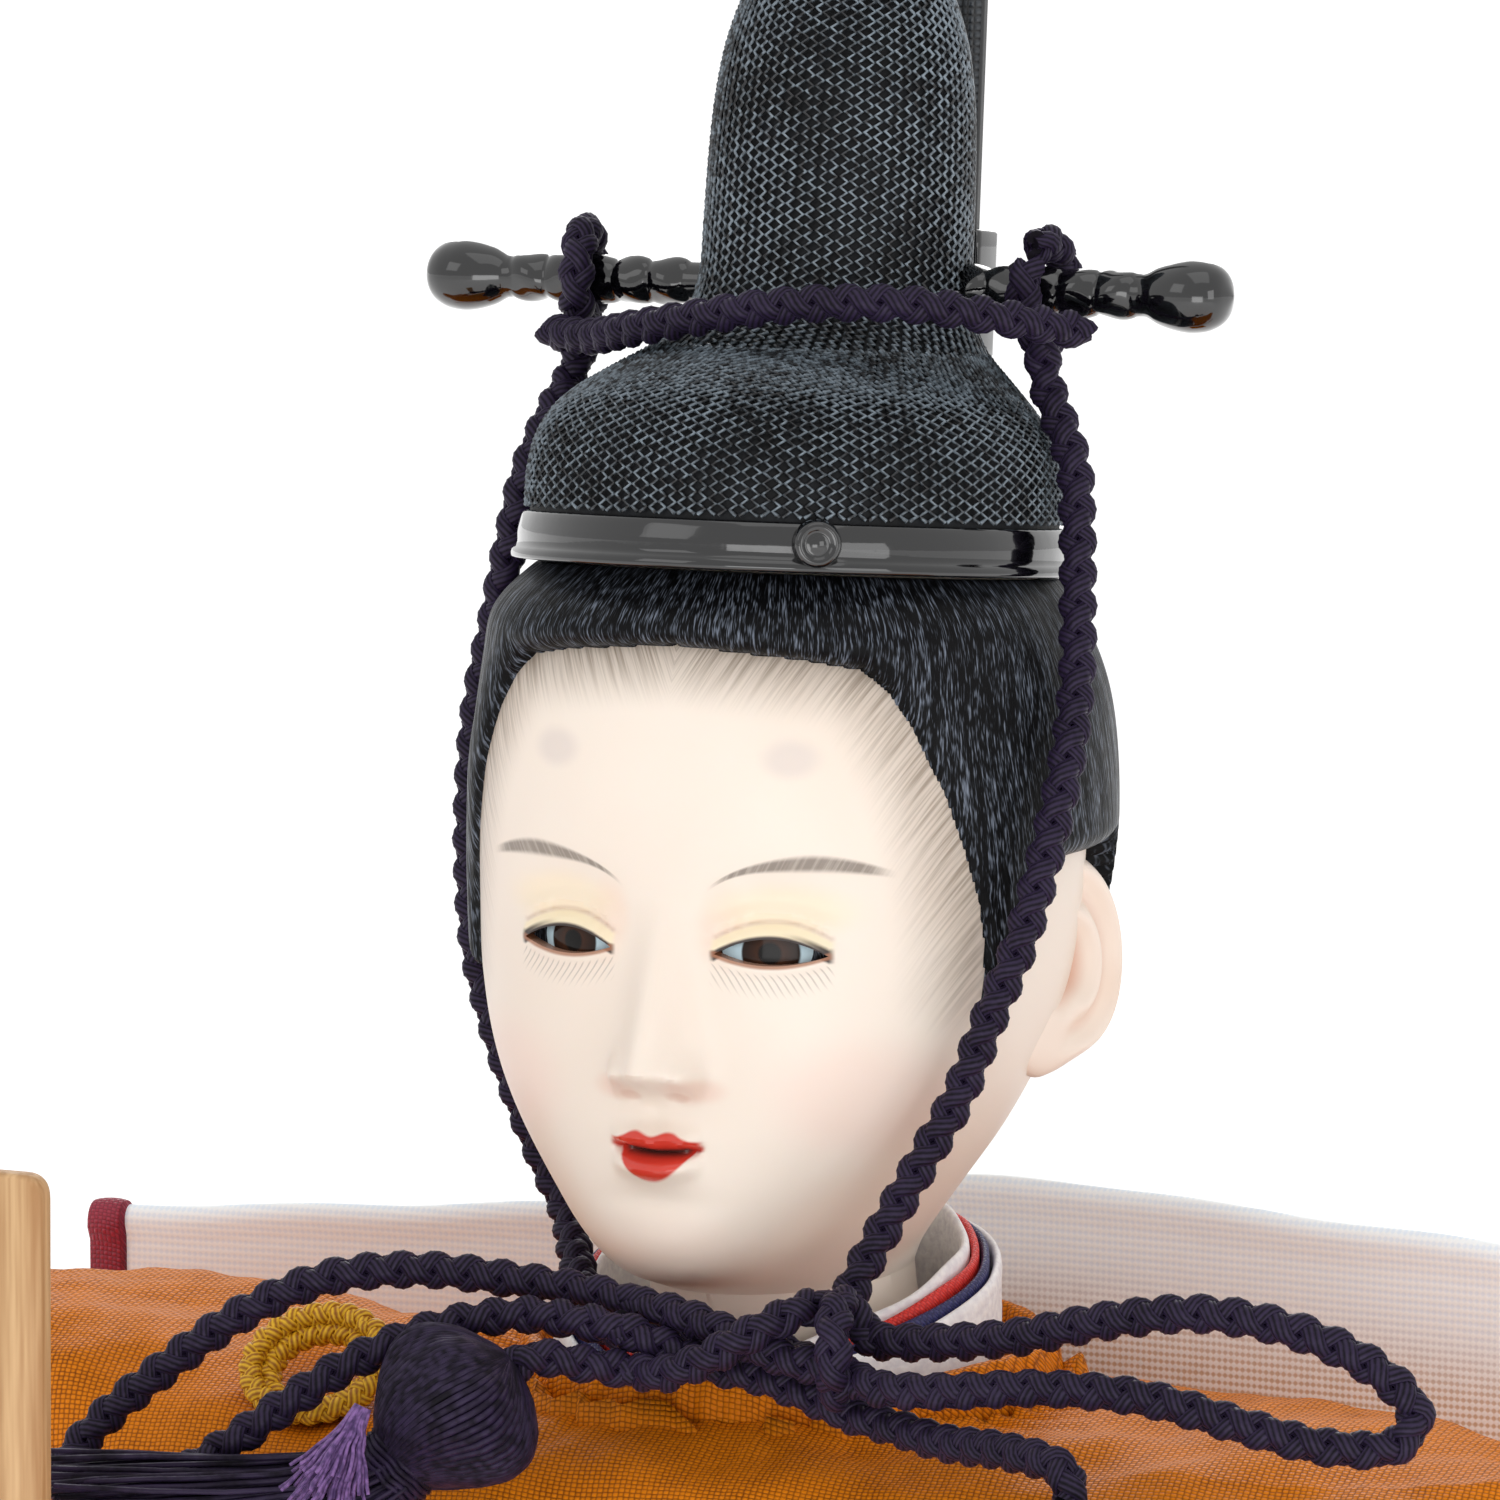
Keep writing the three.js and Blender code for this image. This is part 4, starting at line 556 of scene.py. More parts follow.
def free_cord(name, route, lay, with_pieces=()):
    """One stretch of the hat cord along its route, declared as the free cord that it is."""
    piece, line = plaited(name + "_plait", [route], name), curve_points(route)
    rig.cord(
        piece, exit=line[0], length=line_length(line), diameter=cord_width * MM, far_end="object",
        stiffness="limp", lay=lay, path=line, with_pieces=list(with_pieces),
    )


crown_route = [
    (-20.6, 4.5, 218.2), (-16, 1.2, 218.2), (-10.6, -3.2, 219.2), (-5, -5.6, 220.2), (0.5, -6.3, 221.1),
    (6, -5.9, 221.6), (11.5, -4.2, 221.5), (16, -0.8, 220.6), (20, 4.5, 219.4),
]
cheek_left_route = [
    (16.6, 5.2, 218.4), (16.9, 5.3, 215.8), (18.3, 4.4, 213.2), (20, 3, 210.2), (21, 1.2, 206.4), (21.9, -0.8, 201.4),
    (23, -3.6, 196), (23.6, -7, 190.5), (23.2, -9.5, 184.8), (22.4, -11.6, 179.5), (20.8, -13.2, 174.4),
    (19.1, -14.4, 169.2), (17.2, -15.9, 165), (15.4, -17.5, 161), (14.2, -19.6, 157.6), (13.8, -21.8, 155.2),
]
cheek_right_route = [
    (-18.4, 5, 217.9), (-18.9, 4.4, 215.4), (-19.3, 1.6, 212.6), (-20.2, -0.4, 208.6), (-21, -1.3, 203.9),
    (-22.4, -1, 198.2), (-23.8, -0.8, 192.4), (-24.5, -0.6, 186.6), (-24.5, -0.8, 180.4), (-23.5, -1.8, 174.6),
    (-21.2, -3.1, 168.9), (-19.4, -3.3, 164.5), (-17.5, -3.4, 160.4), (-15.2, -4.6, 157.2), (-12.6, -8.4, 154.8),
    (-9.4, -13.2, 152.9), (-5.4, -18.2, 152), (-1.4, -20.6, 152.4), (1.6, -21.2, 153),
]
bow_left_route = [
    (16.6, -23.7, 153.9), (21, -24.6, 154.3), (28.4, -26.4, 155.6), (35.9, -27.6, 157.6), (42.8, -28, 158.6),
    (49.4, -27.6, 157.7), (54.2, -26.8, 155.4), (56.4, -26.6, 153), (55.6, -27.6, 151.1), (51.5, -29, 150.8),
    (46.4, -30, 151.8), (39.4, -30.4, 153.2), (32, -30.2, 153.2), (24.4, -29.4, 152.2), (19.4, -28.4, 151.8),
    (16.1, -26.5, 152.2),
]
bow_right_route = [
    (0.6, -24.5, 155), (-3, -24.6, 155.7), (-8.1, -25.6, 156.3), (-14.6, -27.6, 156.9), (-20.5, -29.8, 156.3),
    (-25.8, -32, 153.9), (-31, -34.4, 149.9), (-35.2, -36.6, 145.8), (-36.6, -38.6, 142.7), (-33.4, -40, 141.6),
    (-28.7, -40, 142.9), (-23.9, -38.6, 146), (-20.4, -36.4, 148.8), (-16.9, -34, 151.4), (-11.6, -30.8, 153.8),
    (-6.6, -28.4, 154.6), (-2.6, -28, 154.4), (0.2, -27.5, 154.1),
]
free_cord("cheek_cord_left", cheek_left_route, "taut")
free_cord("cheek_cord_right", cheek_right_route, "taut")


# The head: wood paste moulded with its neck and ears, coated with many layers of crushed-shell white that are
# rubbed smooth, and carved open for the glass eyes. The brows, lashes, lips and hairline are painted by brush.
chin_z, head_height = 154, 55
head_half_width, head_front, head_back = 21, 21.6, 19.2
neck_radius, neck_bottom_z, neck_top_z = 9.3, 134, 149.4
head_columns, head_rows, neck_rows, head_crowd = 280, 224, 14, 0.6
# Up the head: height, half width, middle, front and back as shares of the head's sizes, and how square the front
# is.
head_shares = [
    (0, 0.41, -0.048, 0.625, 0.547, 2), (0.029, 0.455, -0.116, 0.847, 0.563, 2),
    (0.064, 0.53, -0.162, 0.954, 0.55, 2), (0.109, 0.62, -0.162, 0.995, 0.56, 2.05),
    (0.2, 0.79, -0.13, 1, 0.6, 2.12), (0.291, 0.905, -0.083, 0.981, 0.71, 2.25),
    (0.382, 0.967, -0.046, 0.968, 0.854, 2.3), (0.473, 0.99, -0.014, 0.958, 0.927, 2.3),
    (0.582, 0.995, 0.009, 0.954, 0.979, 2.3), (0.691, 0.971, 0.023, 0.935, 1, 2.3),
    (0.782, 0.914, 0.037, 0.88, 0.979, 2.25), (0.873, 0.8, 0.046, 0.764, 0.885, 2.15),
    (0.945, 0.595, 0.046, 0.546, 0.677, 2.05), (0.987, 0.333, 0.046, 0.278, 0.417, 2),
]
# What is raised on or sunk in the face, mirrored on both sides: side, height, half width, half height and rise.
face_forms = [
    (2.6, 170.4, 1.1, 1.2, 1.3), (7.6, 182, 4.4, 2.2, -0.9), (12, 170, 4.5, 5, 0.5), (0, 166.2, 2.9, 1, 0.65),
    (0, 163.9, 2.2, 1.1, 0.7), (0, 161.7, 3.2, 0.9, -0.35), (0, 158.4, 4, 2.2, 0.3),
]
nose_root_z, nose_tip_z, nose_foot, nose_rise, nose_root_half, nose_tip_half = 182.5, 170.9, 1.6, 4.1, 1.65, 2.25
eye_x, eye_z, eye_half_length, eye_half_height, lower_share = 7.6, 178.7, 3.75, 1.08, 0.65
lip_z, lip_half_width = 165.1, 3.3


def row_at(table, t):
    """A row of a table of shares at any height, on a smooth curve through the rows."""
    i = 0
    while i < len(table) - 2 and table[i + 1][0] < t:
        i += 1
    at = [np.array(table[min(max(k, 0), len(table) - 1)], float) for k in (i - 1, i, i + 1, i + 2)]
    before, start, end, after = at
    span = end[0] - start[0]
    u = min(max((t - start[0]) / span, 0), 1)
    slope_in = (end - start) / span if i == 0 else (end - before) / (end[0] - before[0])
    slope_out = (end - start) / span if after[0] == end[0] else (after - start) / (after[0] - start[0])
    held = (2 * u ** 3 - 3 * u ** 2 + 1) * start + (3 * u ** 2 - 2 * u ** 3) * end
    return held + ((u ** 3 - 2 * u ** 2 + u) * slope_in + (u ** 3 - u ** 2) * slope_out) * span


def oval(z, half_width, middle, front, back, square, columns, crowd=0.0):
    """An oval ring of points at one height, with a squarer front half and more points in front where it is crowded."""
    u = 2 * np.pi * np.arange(columns) / columns
    turn = u - crowd * np.sin(u)
    s, c = np.sin(turn), -np.cos(turn)
    power = np.where(c < 0, 2 / square, 1)
    x = half_width * np.sign(s) * np.abs(s) ** power
    y = middle + np.where(c < 0, (front - middle) * np.abs(c) ** power, (back - middle) * c)
    return np.stack([x, y, np.full(columns, float(z))], 1)


def ease(start, end, value):
    t = np.clip((value - start) / (end - start), 0, 1)
    return t * t * (3 - 2 * t)


def bell(value, middle, reach):
    return np.exp(-(((value - middle) / reach) ** 2))


def lid_rise(x, z):
    """The thin rolls of the lids round the eye opening, and the fold above the upper one."""
    side = (np.abs(x) - eye_x) / eye_half_length
    curve = np.clip(1 - side ** 2, 0, 1)
    above = z - eye_z - eye_half_height * curve
    below = eye_z - lower_share * eye_half_height * curve - z
    upper = 0.34 * bell(above, 0.25, 0.45) - 0.22 * bell(above, 1.15, 0.32) + 0.3 * bell(above, 1.8, 0.5)
    lower = 0.2 * bell(below, 0.25, 0.4) - 0.1 * bell(below, 1.1, 0.5)
    return (upper * (z > eye_z) + lower * (z <= eye_z)) * (1 - ease(0.8, 1.35, np.abs(side)))


def lip_rise(x, z):
    """The two lips, parted by a narrow line that turns up a little at the corners."""
    side = x / lip_half_width
    line = lip_z + 0.35 * side ** 2
    within = 1 - ease(0.7, 1.15, np.abs(side))
    bow = 0.25 * bell(np.abs(side), 0.3, 0.2)
    upper = 0.55 * bell(z, line + 0.75 + bow, 0.6)
    lower = 0.75 * bell(z, line - 1.05, 0.75) * (1 - 0.3 * side ** 2)
    groove = -1.0 * bell(z, line - 0.05, 0.3)
    philtrum = -0.16 * bell(x, 0, 0.7) * bell(z, lip_z + 2.6, 1.1)
    return (upper + lower + groove) * within + philtrum


def nostril_rise(x, z):
    side = np.abs(x)
    wing = 0.25 * bell(side, 2.75, 0.7) * bell(z, 170.3, 1.0)
    crease = -0.3 * bell(side, 3.6, 0.5) * bell(z, 170.2, 1.3)
    hole = -0.25 * bell(side, 1.5, 0.6) * bell(z, 168.9, 0.45)
    return wing + crease + hole


def face_rise(x, z):
    """How far the face stands out from the plain head at a place seen from the front."""
    rise = lid_rise(x, z) + lip_rise(x, z) + nostril_rise(x, z)
    for side, height, half_width, half_height, amount in face_forms:
        rise = rise + amount * bell(np.abs(x), side, half_width) * bell(z, height, half_height)
    down = (nose_root_z - z) / (nose_root_z - nose_tip_z)
    width = nose_root_half + (nose_tip_half - nose_root_half) * np.clip(down, 0, 1)
    along = np.where(down <= 1, np.clip(down, 0, 1) ** 1.15, bell(z, nose_tip_z, nose_foot))
    return rise + nose_rise * along * np.exp(-((x / width) ** 2))


def head_ring(z, grow=0.0, columns=head_columns):
    radius = neck_radius + grow
    neck = oval(z, radius, 0, -radius, radius, 2, columns, head_crowd)
    t = max(z - chin_z, 0) / head_height
    _, width, middle, front, back, square = row_at(head_shares, t)
    skull = oval(
        z, head_half_width * width + grow, head_front * middle, -head_front * front - grow, head_back * back + grow,
        square, columns, head_crowd,
    )
    return neck + (skull - neck) * ease(neck_top_z, chin_z, z) if z < chin_z else skull


def loft(rings, closed_round=True, caps=True):
    """Points and faces of a skin through rings of equal count, capped at both ends."""
    count, rows = len(rings[0]), len(rings)
    points = np.concatenate(rings)
    i = np.arange(count if closed_round else count - 1)
    j = (i + 1) % count
    faces = []
    for row in range(rows - 1):
        a, b = row * count, (row + 1) * count
        faces.extend(np.stack([a + i, a + j, b + j, b + i], 1).tolist())
    if caps:
        points = np.concatenate([points, [rings[0].mean(0)], [rings[-1].mean(0)]])
        foot, top = rows * count, rows * count + 1
        faces.extend([[foot, int(b), int(a)] for a, b in zip(i, j)])
        faces.extend([[top, int((rows - 1) * count + a), int((rows - 1) * count + b)] for a, b in zip(i, j)])
    return points, faces


def outward(piece):
    """Merges doubled points and turns every face outwards."""
    work = bmesh.new()
    work.from_mesh(piece.data)
    bmesh.ops.remove_doubles(work, verts=work.verts, dist=0.001 * MM)
    bmesh.ops.recalc_face_normals(work, faces=work.faces)
    work.to_mesh(piece.data)
    work.free()
    return piece


def skinned(name, rings, material, caps=True):
    points, faces = loft(rings, caps=caps)
    return outward(mesh_piece(name, points, faces, material))


def applied(piece):
    """Makes a piece's modifiers part of its mesh."""
    mesh = evaluated_mesh(piece)
    mesh.name = piece.name
    piece.modifiers.clear()
    piece.data = mesh
    return piece


def cut(piece, tool):
    """Takes a tool's shape out of a piece, and removes the tool."""
    modifier = piece.modifiers.new("cut", "BOOLEAN")
    modifier.operation, modifier.solver, modifier.object = "DIFFERENCE", "EXACT", tool
    applied(piece)
    bpy.data.objects.remove(tool)
    return piece


def store(piece, name, values):
    """Keeps a number or a vector for each of a piece's points, for its material to read."""
    values = np.asarray(values, np.float32)
    kind, field = ("FLOAT", "value") if values.ndim == 1 else ("FLOAT_VECTOR", "vector")
    piece.data.attributes.new(name, kind, "POINT").data.foreach_set(field, values.ravel())


def points_of(piece):
    """A piece's points in millimetres."""
    return np.array([v.co for v in piece.data.vertices]) / MM


# The painting of the face, all in millimetres: soft washes first, then the fine lines of the lids, brows and mouth.
shell_paint, shell_place = finish(
    "shell_white", tone(247, 234, 222), 0.5, Coat_Weight=0.1, Coat_Roughness=0.35, Subsurface_Weight=0.06,
    Subsurface_Radius=(0.004, 0.002, 0.001), Subsurface_Scale=0.4,
)
face_x, face_y, face_z = [part / MM for part in shell_place.parts()]
side_x = face_x.abs()
facing = face_y.smooth(-9.0, -11.0)
paint = shell_place.noise(60, 2).smooth(0.3, 0.7).mix(tone(238, 225, 212), tone(235, 220, 206))


def washed(mask, colour):
    """Lays a colour over what is painted so far."""
    global paint
    paint = mask.mix(paint, colour)


def spot(x, z, reach_x, reach_z):
    """An oval that fades from its middle, on both sides of the face."""
    out = (((side_x - x) / reach_x) ** 2 + ((face_z - z) / reach_z) ** 2) ** 0.5
    return out.smooth(0.35, 1.0, 1.0, 0.0) * facing


for x, z, reach_x, reach_z, strength, colour in (
    (13, 169, 7, 5.5, 0.4, (240, 208, 196)),  # the cheeks
    (0, 158, 9, 4, 0.35, (238, 214, 200)),  # the chin
    (4.2, 180.6, 2.2, 3.6, 0.42, (238, 205, 184)),  # beside the root of the nose
    (8.4, 181.6, 6, 2.4, 0.55, (242, 222, 188)),  # over the eyes
    # painted shade round the wings of the nose
    (2.9, 169.4, 2.6, 1.2, 0.4, (226, 182, 164)),  # the wings of the nose
    (8.7, 191.9, 2.5, 1.75, 0.75, (219, 206, 198)),  # the two court marks on the forehead
):
    washed(spot(x, z, reach_x, reach_z) * strength, tone(*colour))
hairs = shell_place.attribute("brush", "Vector").scaled(4600, 4600, 170).noise(1.0, 2, 0.55)
inset = shell_place.attribute("inset")
wash = inset.smooth(4.6, 0.3) * face_z.smooth(168, 184, 0.35, 1.0) * (0.5 + 0.65 * hairs.smooth(0.35, 0.7))
washed(wash * facing * inset.smooth(-1.5, -0.5) * 0.78, tone(138, 122, 106))
brow_z = 183.2 + 1.85 * (1 - ((3.5 - side_x) / 2.5).math("EXPONENT", (3.5 - side_x) / 2.5))
brow_z = brow_z - 0.03 * ((side_x - 9.5).high(0.0) ** 2)
brow_half = 0.13 + 0.36 * side_x.near(10.4, 7.0)
brow = ((face_z - brow_z).abs() / brow_half).smooth(1.5, 0.5) * side_x.smooth(3.0, 5.0)
brow = brow * side_x.smooth(15.2, 13.4) * (0.8 + 0.25 * hairs.smooth(0.3, 0.62)) * facing
washed(brow * 0.84, tone(122, 110, 100))
lid_side = (side_x - eye_x) / eye_half_length
lid_curve = (1 - lid_side ** 2).high(0.0)
on_lid = lid_side.abs().smooth(1.12, 0.98) * facing
above_lid = face_z - (eye_z + eye_half_height * lid_curve)
below_lid = (eye_z - lower_share * eye_half_height * lid_curve) - face_z
washed(above_lid.smooth(0.0, 0.3) * above_lid.smooth(1.15, 0.8) * on_lid * 0.8, tone(243, 226, 190))
# Painted shade in the fold above the upper lid.
washed(above_lid.near(1.15, 0.3) * on_lid * 0.35, tone(176, 142, 116))
liner = above_lid.smooth(0.34, 0.1) * above_lid.smooth(-0.6, -0.35)
outer_liner = above_lid.smooth(0.62, 0.3) * lid_side.smooth(0.1, 1.0) * above_lid.smooth(-0.6, -0.35)
washed(liner.high(outer_liner) * on_lid, tone(46, 34, 30))
washed(below_lid.smooth(-0.35, -0.1) * below_lid.smooth(0.34, 0.12) * on_lid * 0.85, tone(160, 104, 72))
lash_lean = (side_x + 0.7 * face_z) * 12.5
lash = lash_lean.sin().smooth(0.4, 1.0) * below_lid.smooth(0.5, 0.8) * below_lid.smooth(2.5, 1.3)
washed(lash * on_lid * 0.5, tone(150, 138, 130))
mouth = face_x / lip_half_width
line_z = lip_z + 0.35 * mouth ** 2
within = mouth.abs().smooth(1.08, 0.9) * facing
bow_top = 1.15 + 0.28 * mouth.abs().near(0.34, 0.34) - 0.62 * mouth.abs().smooth(0.45, 1.0)
upper_lip = (face_z - line_z - bow_top).smooth(0.16, -0.1) * (face_z - line_z).smooth(-0.3, 0.0)
lower_lip = (line_z - face_z - 1.9 + 2.5 * mouth ** 2).smooth(0.2, -0.15) * (line_z - face_z).smooth(-0.3, 0.0)
lips = upper_lip.high(lower_lip) * within
washed(lips * 0.97, tone(206, 44, 24))
washed((line_z - face_z).near(0.0, 0.42) * mouth.abs().smooth(0.8, 0.62) * within, tone(84, 48, 44))
washed((line_z - face_z).near(-0.05, 0.34) * mouth.abs().near(0.94, 0.18) * facing, tone(186, 60, 46))
# Painted shade in the nostrils.
nostril = ((side_x - 1.75) / 0.85) ** 2 + ((face_z - 168.95) / 0.42) ** 2
washed(nostril.smooth(1.5, 0.2) * facing * 0.3, tone(196, 146, 124))
paint.to("Base Color")
lips.smooth(0.2, 1.0, 0.42, 0.2).to("Roughness")
grit = shell_place.noise(2400, 2)
(grit * 0.25 + shell_place.noise(300, 2) * 0.75).bump(0.00008, 0.25).to("Normal")

turns = np.arange(head_rows + 1) / head_rows
heights = [neck_bottom_z + (chin_z - neck_bottom_z) * i / neck_rows for i in range(neck_rows)]
heights += list(chin_z + head_height * head_shares[-1][0] * (turns - 0.06 * np.sin(2 * np.pi * turns)))
rings = []
for z in heights:
    ring = head_ring(z)
    front = ring[:, 1] < 0
    rise = face_rise(ring[:, 0], ring[:, 2]) * ease(0, head_front / 2, -ring[:, 1])
    ring[:, 1] -= np.where(front, rise, 0)
    rings.append(ring)
head = skinned("head_moulded", rings, shell_paint)

eye_back_y = -15
for side in (1, -1):
    across = np.linspace(-1, 1, 33)
    curve = 1 - across ** 2
    upper = np.stack([across * eye_half_length, eye_half_height * curve], 1)
    lower = np.stack([across * eye_half_length, -lower_share * eye_half_height * curve], 1)[::-1][1:-1]
    outline = np.concatenate([upper, lower])
    ends = [
        np.stack([side * (eye_x + outline[:, 0]), np.full(len(outline), y), eye_z + outline[:, 1]], 1)
        for y in (-head_front - 5, eye_back_y)
    ]
    cut(head, skinned("eye_pocket", ends, shell_paint))
head.data.set_sharp_from_angle(angle=math.radians(38))

# The ears: moulded with the head and coated with it, each a leaning plate with a rolled rim, a hollow and a lobe.
ear_x, ear_y, ear_z, ear_flare, ear_lean = 18.6, 2.6, 175.6, 0.22, 0.36
ear_half_depth, ear_half_height, ear_half_thick = 6.9, 8.2, 1.5
ear_rows, ear_columns = 34, 96
ear_paint, ear_place = finish("shell_ear", tone(243, 226, 211), 0.45, Coat_Weight=0.12, Coat_Roughness=0.3)
# Painted shade: the ear's hollows and furrow are darkened by how deep they lie.
hollow = ear_place.attribute("hollow")
blush = ear_place.noise(90, 2).smooth(0.3, 0.7).mix(tone(245, 229, 215), tone(238, 217, 200))
hollow.smooth(0.0, 0.9).mix(blush, tone(214, 166, 142)).to("Base Color")
hollow.smooth(0.0, 1.0, 0.42, 0.55).to("Roughness")
ear_place.noise(300, 2).bump(0.00008, 0.25).to("Normal")


def ear_outline(turn):
    """How far the ear reaches from its middle, as shares: wide and round above and behind, drawn in at the lobe."""
    reach = 1 - 0.1 * np.clip(-np.cos(turn), 0, 1) ** 2 * np.clip(np.sin(turn), -1, 1)
    return reach - 0.16 * bell(turn, 4.3, 0.75) - 0.1 * bell(turn, 2.6, 0.5)


def ear_relief(share, turn):
    """The outer face of the ear: the rolled rim, the furrow inside it, the inner ridge and the deep hollow."""
    back = ease(-0.9, -0.2, np.cos(turn - 0.6))
    rim = 0.85 * bell(share, 0.87, 0.12) * back
    furrow = -0.5 * bell(share, 0.66, 0.12) * back
    ridge = 0.55 * bell(share, 0.47, 0.12) * ease(-0.2, 0.5, np.cos(turn - 1.0))
    deep = -1.25 * (1 - ease(0.1, 0.5, share))
    return rim + furrow + ridge + deep


for side, word in ((1, "left"), (-1, "right")):
    rows, dark = [], []
    turn = turns_of(ear_columns)
    # From the middle of the outer face to the edge, and back to the middle of the plain inner face.
    for i, outer_face in [(i, True) for i in range(ear_rows + 1)] + [(i, False) for i in range(ear_rows - 1, -1, -1)]:
        share = i / ear_rows
        reach = share * ear_outline(turn)
        relief = ear_relief(share, turn) * outer_face
        thick = ear_half_thick * math.sqrt(max(1 - share ** (4 if outer_face else 3), 0))
        out = (thick if outer_face else -thick) + relief
        rows.append(np.stack([out, ear_half_depth * reach * np.sin(turn), ear_half_height * reach * np.cos(turn)], 1))
        # How deep each place lies, kept for the painted shade in the hollows.
        dark.append(np.clip(-relief * 0.8, 0, 1))
    points, faces = loft(rows, caps=False)
    ear = mesh_piece("ear_" + word, np.where(np.abs(points) < 1e-9, 0, points), faces, ear_paint)
    store(ear, "hollow", np.concatenate(dark))
    ear.data.transform(
        Matrix.Diagonal((side, 1, 1, 1)) @ Matrix.Translation(Vector((ear_x, ear_y, ear_z)) * MM)
        @ Matrix.Rotation(-ear_lean, 4, "X") @ Matrix.Rotation(-ear_flare, 4, "Z")
    )
    seat(outward(ear), "head", "shell")
seat(head, "head", "shell", "head_shell")


# The eyes: blown glass set in from behind, a pale blue-white ball with a dark brown iris, of which the lids show
# a strip.
ball_radius, ball_turn, ball_sunk = 9.0, 0.3, 0.6
iris_radius, pupil_radius, iris_x, iris_z = 1.95, 0.9, 7.35, 178.75
ring = head_ring(eye_z)
face_front = -ring[np.argmin(np.abs(ring[:, 0] - eye_x) + (ring[:, 1] > 0) * 99)][1]
eye_glass, eye_place = finish(
    "eye_glass", tone(190, 205, 212), 0.12, Coat_Weight=0.08, Coat_Roughness=0.04, Specular_IOR_Level=0.15,
)
x, y, z = eye_place.parts()
from_iris = ((x.abs() - iris_x * MM) ** 2 + (z - iris_z * MM) ** 2) ** 0.5
brown = from_iris.smooth(0, iris_radius * MM).mix(tone(70, 38, 20), tone(34, 19, 11))
brown = from_iris.smooth(pupil_radius * 0.7 * MM, pupil_radius * MM).mix(tone(12, 8, 6), brown)
# Painted shadow of the upper lid: the white turns grey towards its top.
shade_z = z.smooth((eye_z + 0.25) * MM, (eye_z + 1.1) * MM)
white = (shade_z * 0.85).mix(tone(196, 220, 230), tone(84, 84, 88))
from_iris.smooth((iris_radius - 0.12) * MM, (iris_radius + 0.05) * MM).mix(brown, white).to("Base Color")
for side, word in ((1, "left"), (-1, "right")):
    middle = np.array([
        side * (eye_x - (ball_radius + ball_sunk) * math.sin(ball_turn)),
        (ball_radius + ball_sunk) * math.cos(ball_turn) - face_front, eye_z,
    ])
    turn = side * np.radians(np.linspace(-14, 52, 41))
    rings = [
        middle + ball_radius * np.stack([
            np.sin(tilt) * np.sin(turn), -np.sin(tilt) * np.cos(turn), np.full(41, np.cos(tilt)),
        ], 1) for tilt in np.radians(np.linspace(77.5, 102.5, 25))
    ]
    points, faces = loft(rings, closed_round=False, caps=False)
    ball = mesh_piece("glass_eye_" + word, points, faces, eye_glass)
    seat(ball, "head", "eye_glass", "eye_" + word)

# The hair: black silk fibre glued on in bundles and combed up and back from the hairline, rolled full over the
# forehead and drawn under the hat to a bound topknot that stands inside it.
hair_thick, hair_back_thick, roll_extra, roll_z, roll_reach = 2.1, 2.4, 1.0, 201, 3.4
hairline_y, sideburn_z, around_ear_z, nape_z, side_top_z, edge_thinning = -9.9, 175, 184, 170, 192, 0.5
hair_columns, hair_rows, hair_top_z = 440, 190, 207
hat_tip, hat_y, hat_z = math.radians(-5), 0.5, 202.8
# Half of the hairline seen from the front, as shares of the head's half width and height.
hairline_shares = [
    (0, 0.822), (0.148, 0.818), (0.405, 0.809), (0.581, 0.796), (0.667, 0.767), (0.738, 0.724), (0.824, 0.645),
    (0.871, 0.573), (0.9, 0.509), (0.91, 0.445), (0.905, 0.4),
]
hairline = [(x * head_half_width, chin_z + z * head_height) for x, z in hairline_shares]


def past_hairline(x, z):
    """The distance from the hairline seen from the front, above 0 on the hair's side of it."""
    x = np.abs(x)
    nearest = np.full(x.shape, 99.0)
    for (x0, z0), (x1, z1) in zip(hairline, hairline[1:]):
        along = np.clip(((x - x0) * (x1 - x0) + (z - z0) * (z1 - z0)) / ((x1 - x0) ** 2 + (z1 - z0) ** 2), 0, 1)
        nearest = np.minimum(nearest, np.hypot(x - x0 - along * (x1 - x0), z - z0 - along * (z1 - z0)))
    line_x, line_z = zip(*hairline)
    top = np.interp(x, line_x[:9], line_z[:9])
    inside = (z < top) & (x < np.interp(-z, [-v for v in line_z], line_x))
    return np.where(inside, -nearest, nearest)


def hair_depth(p):
    """How thick the hair lies over a place on the head, below 0 where there is none."""
    x, y, z = p[:, 0], p[:, 1], p[:, 2]
    behind = ease(4, 11, y)
    full = hair_thick + (hair_back_thick - hair_thick) * behind
    full = full * (1 - ease(side_top_z, chin_z + head_height, z) / 2)
    full = full + roll_extra * bell(z, roll_z, roll_reach) * ease(0, -hairline_y, -y)
    full = full * (1 - edge_thinning * (1 - ease(side_top_z, roll_z, z)) * (1 - ease(hairline_y, 0, y)))
    foot = sideburn_z + (around_ear_z - sideburn_z) * ease(-8.2, -5, y) - (around_ear_z - nape_z) * ease(7.5, 11, y)
    region = np.minimum(np.maximum(past_hairline(x, z), y - hairline_y), z - foot)
    edge = np.clip(region / 1.6, -1, 1)
    return np.where(edge > 0, full * np.sqrt(np.maximum(1 - (1 - edge) ** 2, 0)), 0.9 * edge)


silk, silk_place = finish("hair_silk", tone(20, 21, 24), 0.42, Specular_IOR_Level=0.1)
comb = silk_place.attribute("comb", "Vector")
streak = comb.scaled(3000, 120, 120).noise(1.0, 3, 0.6)
strand = comb.scaled(9000, 1100, 1100).noise(1.0, 1)
# Painted glints: fine light streaks along the combed strands.
glint = (streak * 0.4 + strand * 0.7).smooth(0.54, 0.8)
glint.mix(tone(9, 9, 11), tone(116, 124, 138)).to("Base Color")
streak.smooth(0.35, 0.65, 0.5, 0.3).to("Roughness")
(streak * 0.7 + strand * 0.5).bump(0.00012, 0.8).to("Normal")


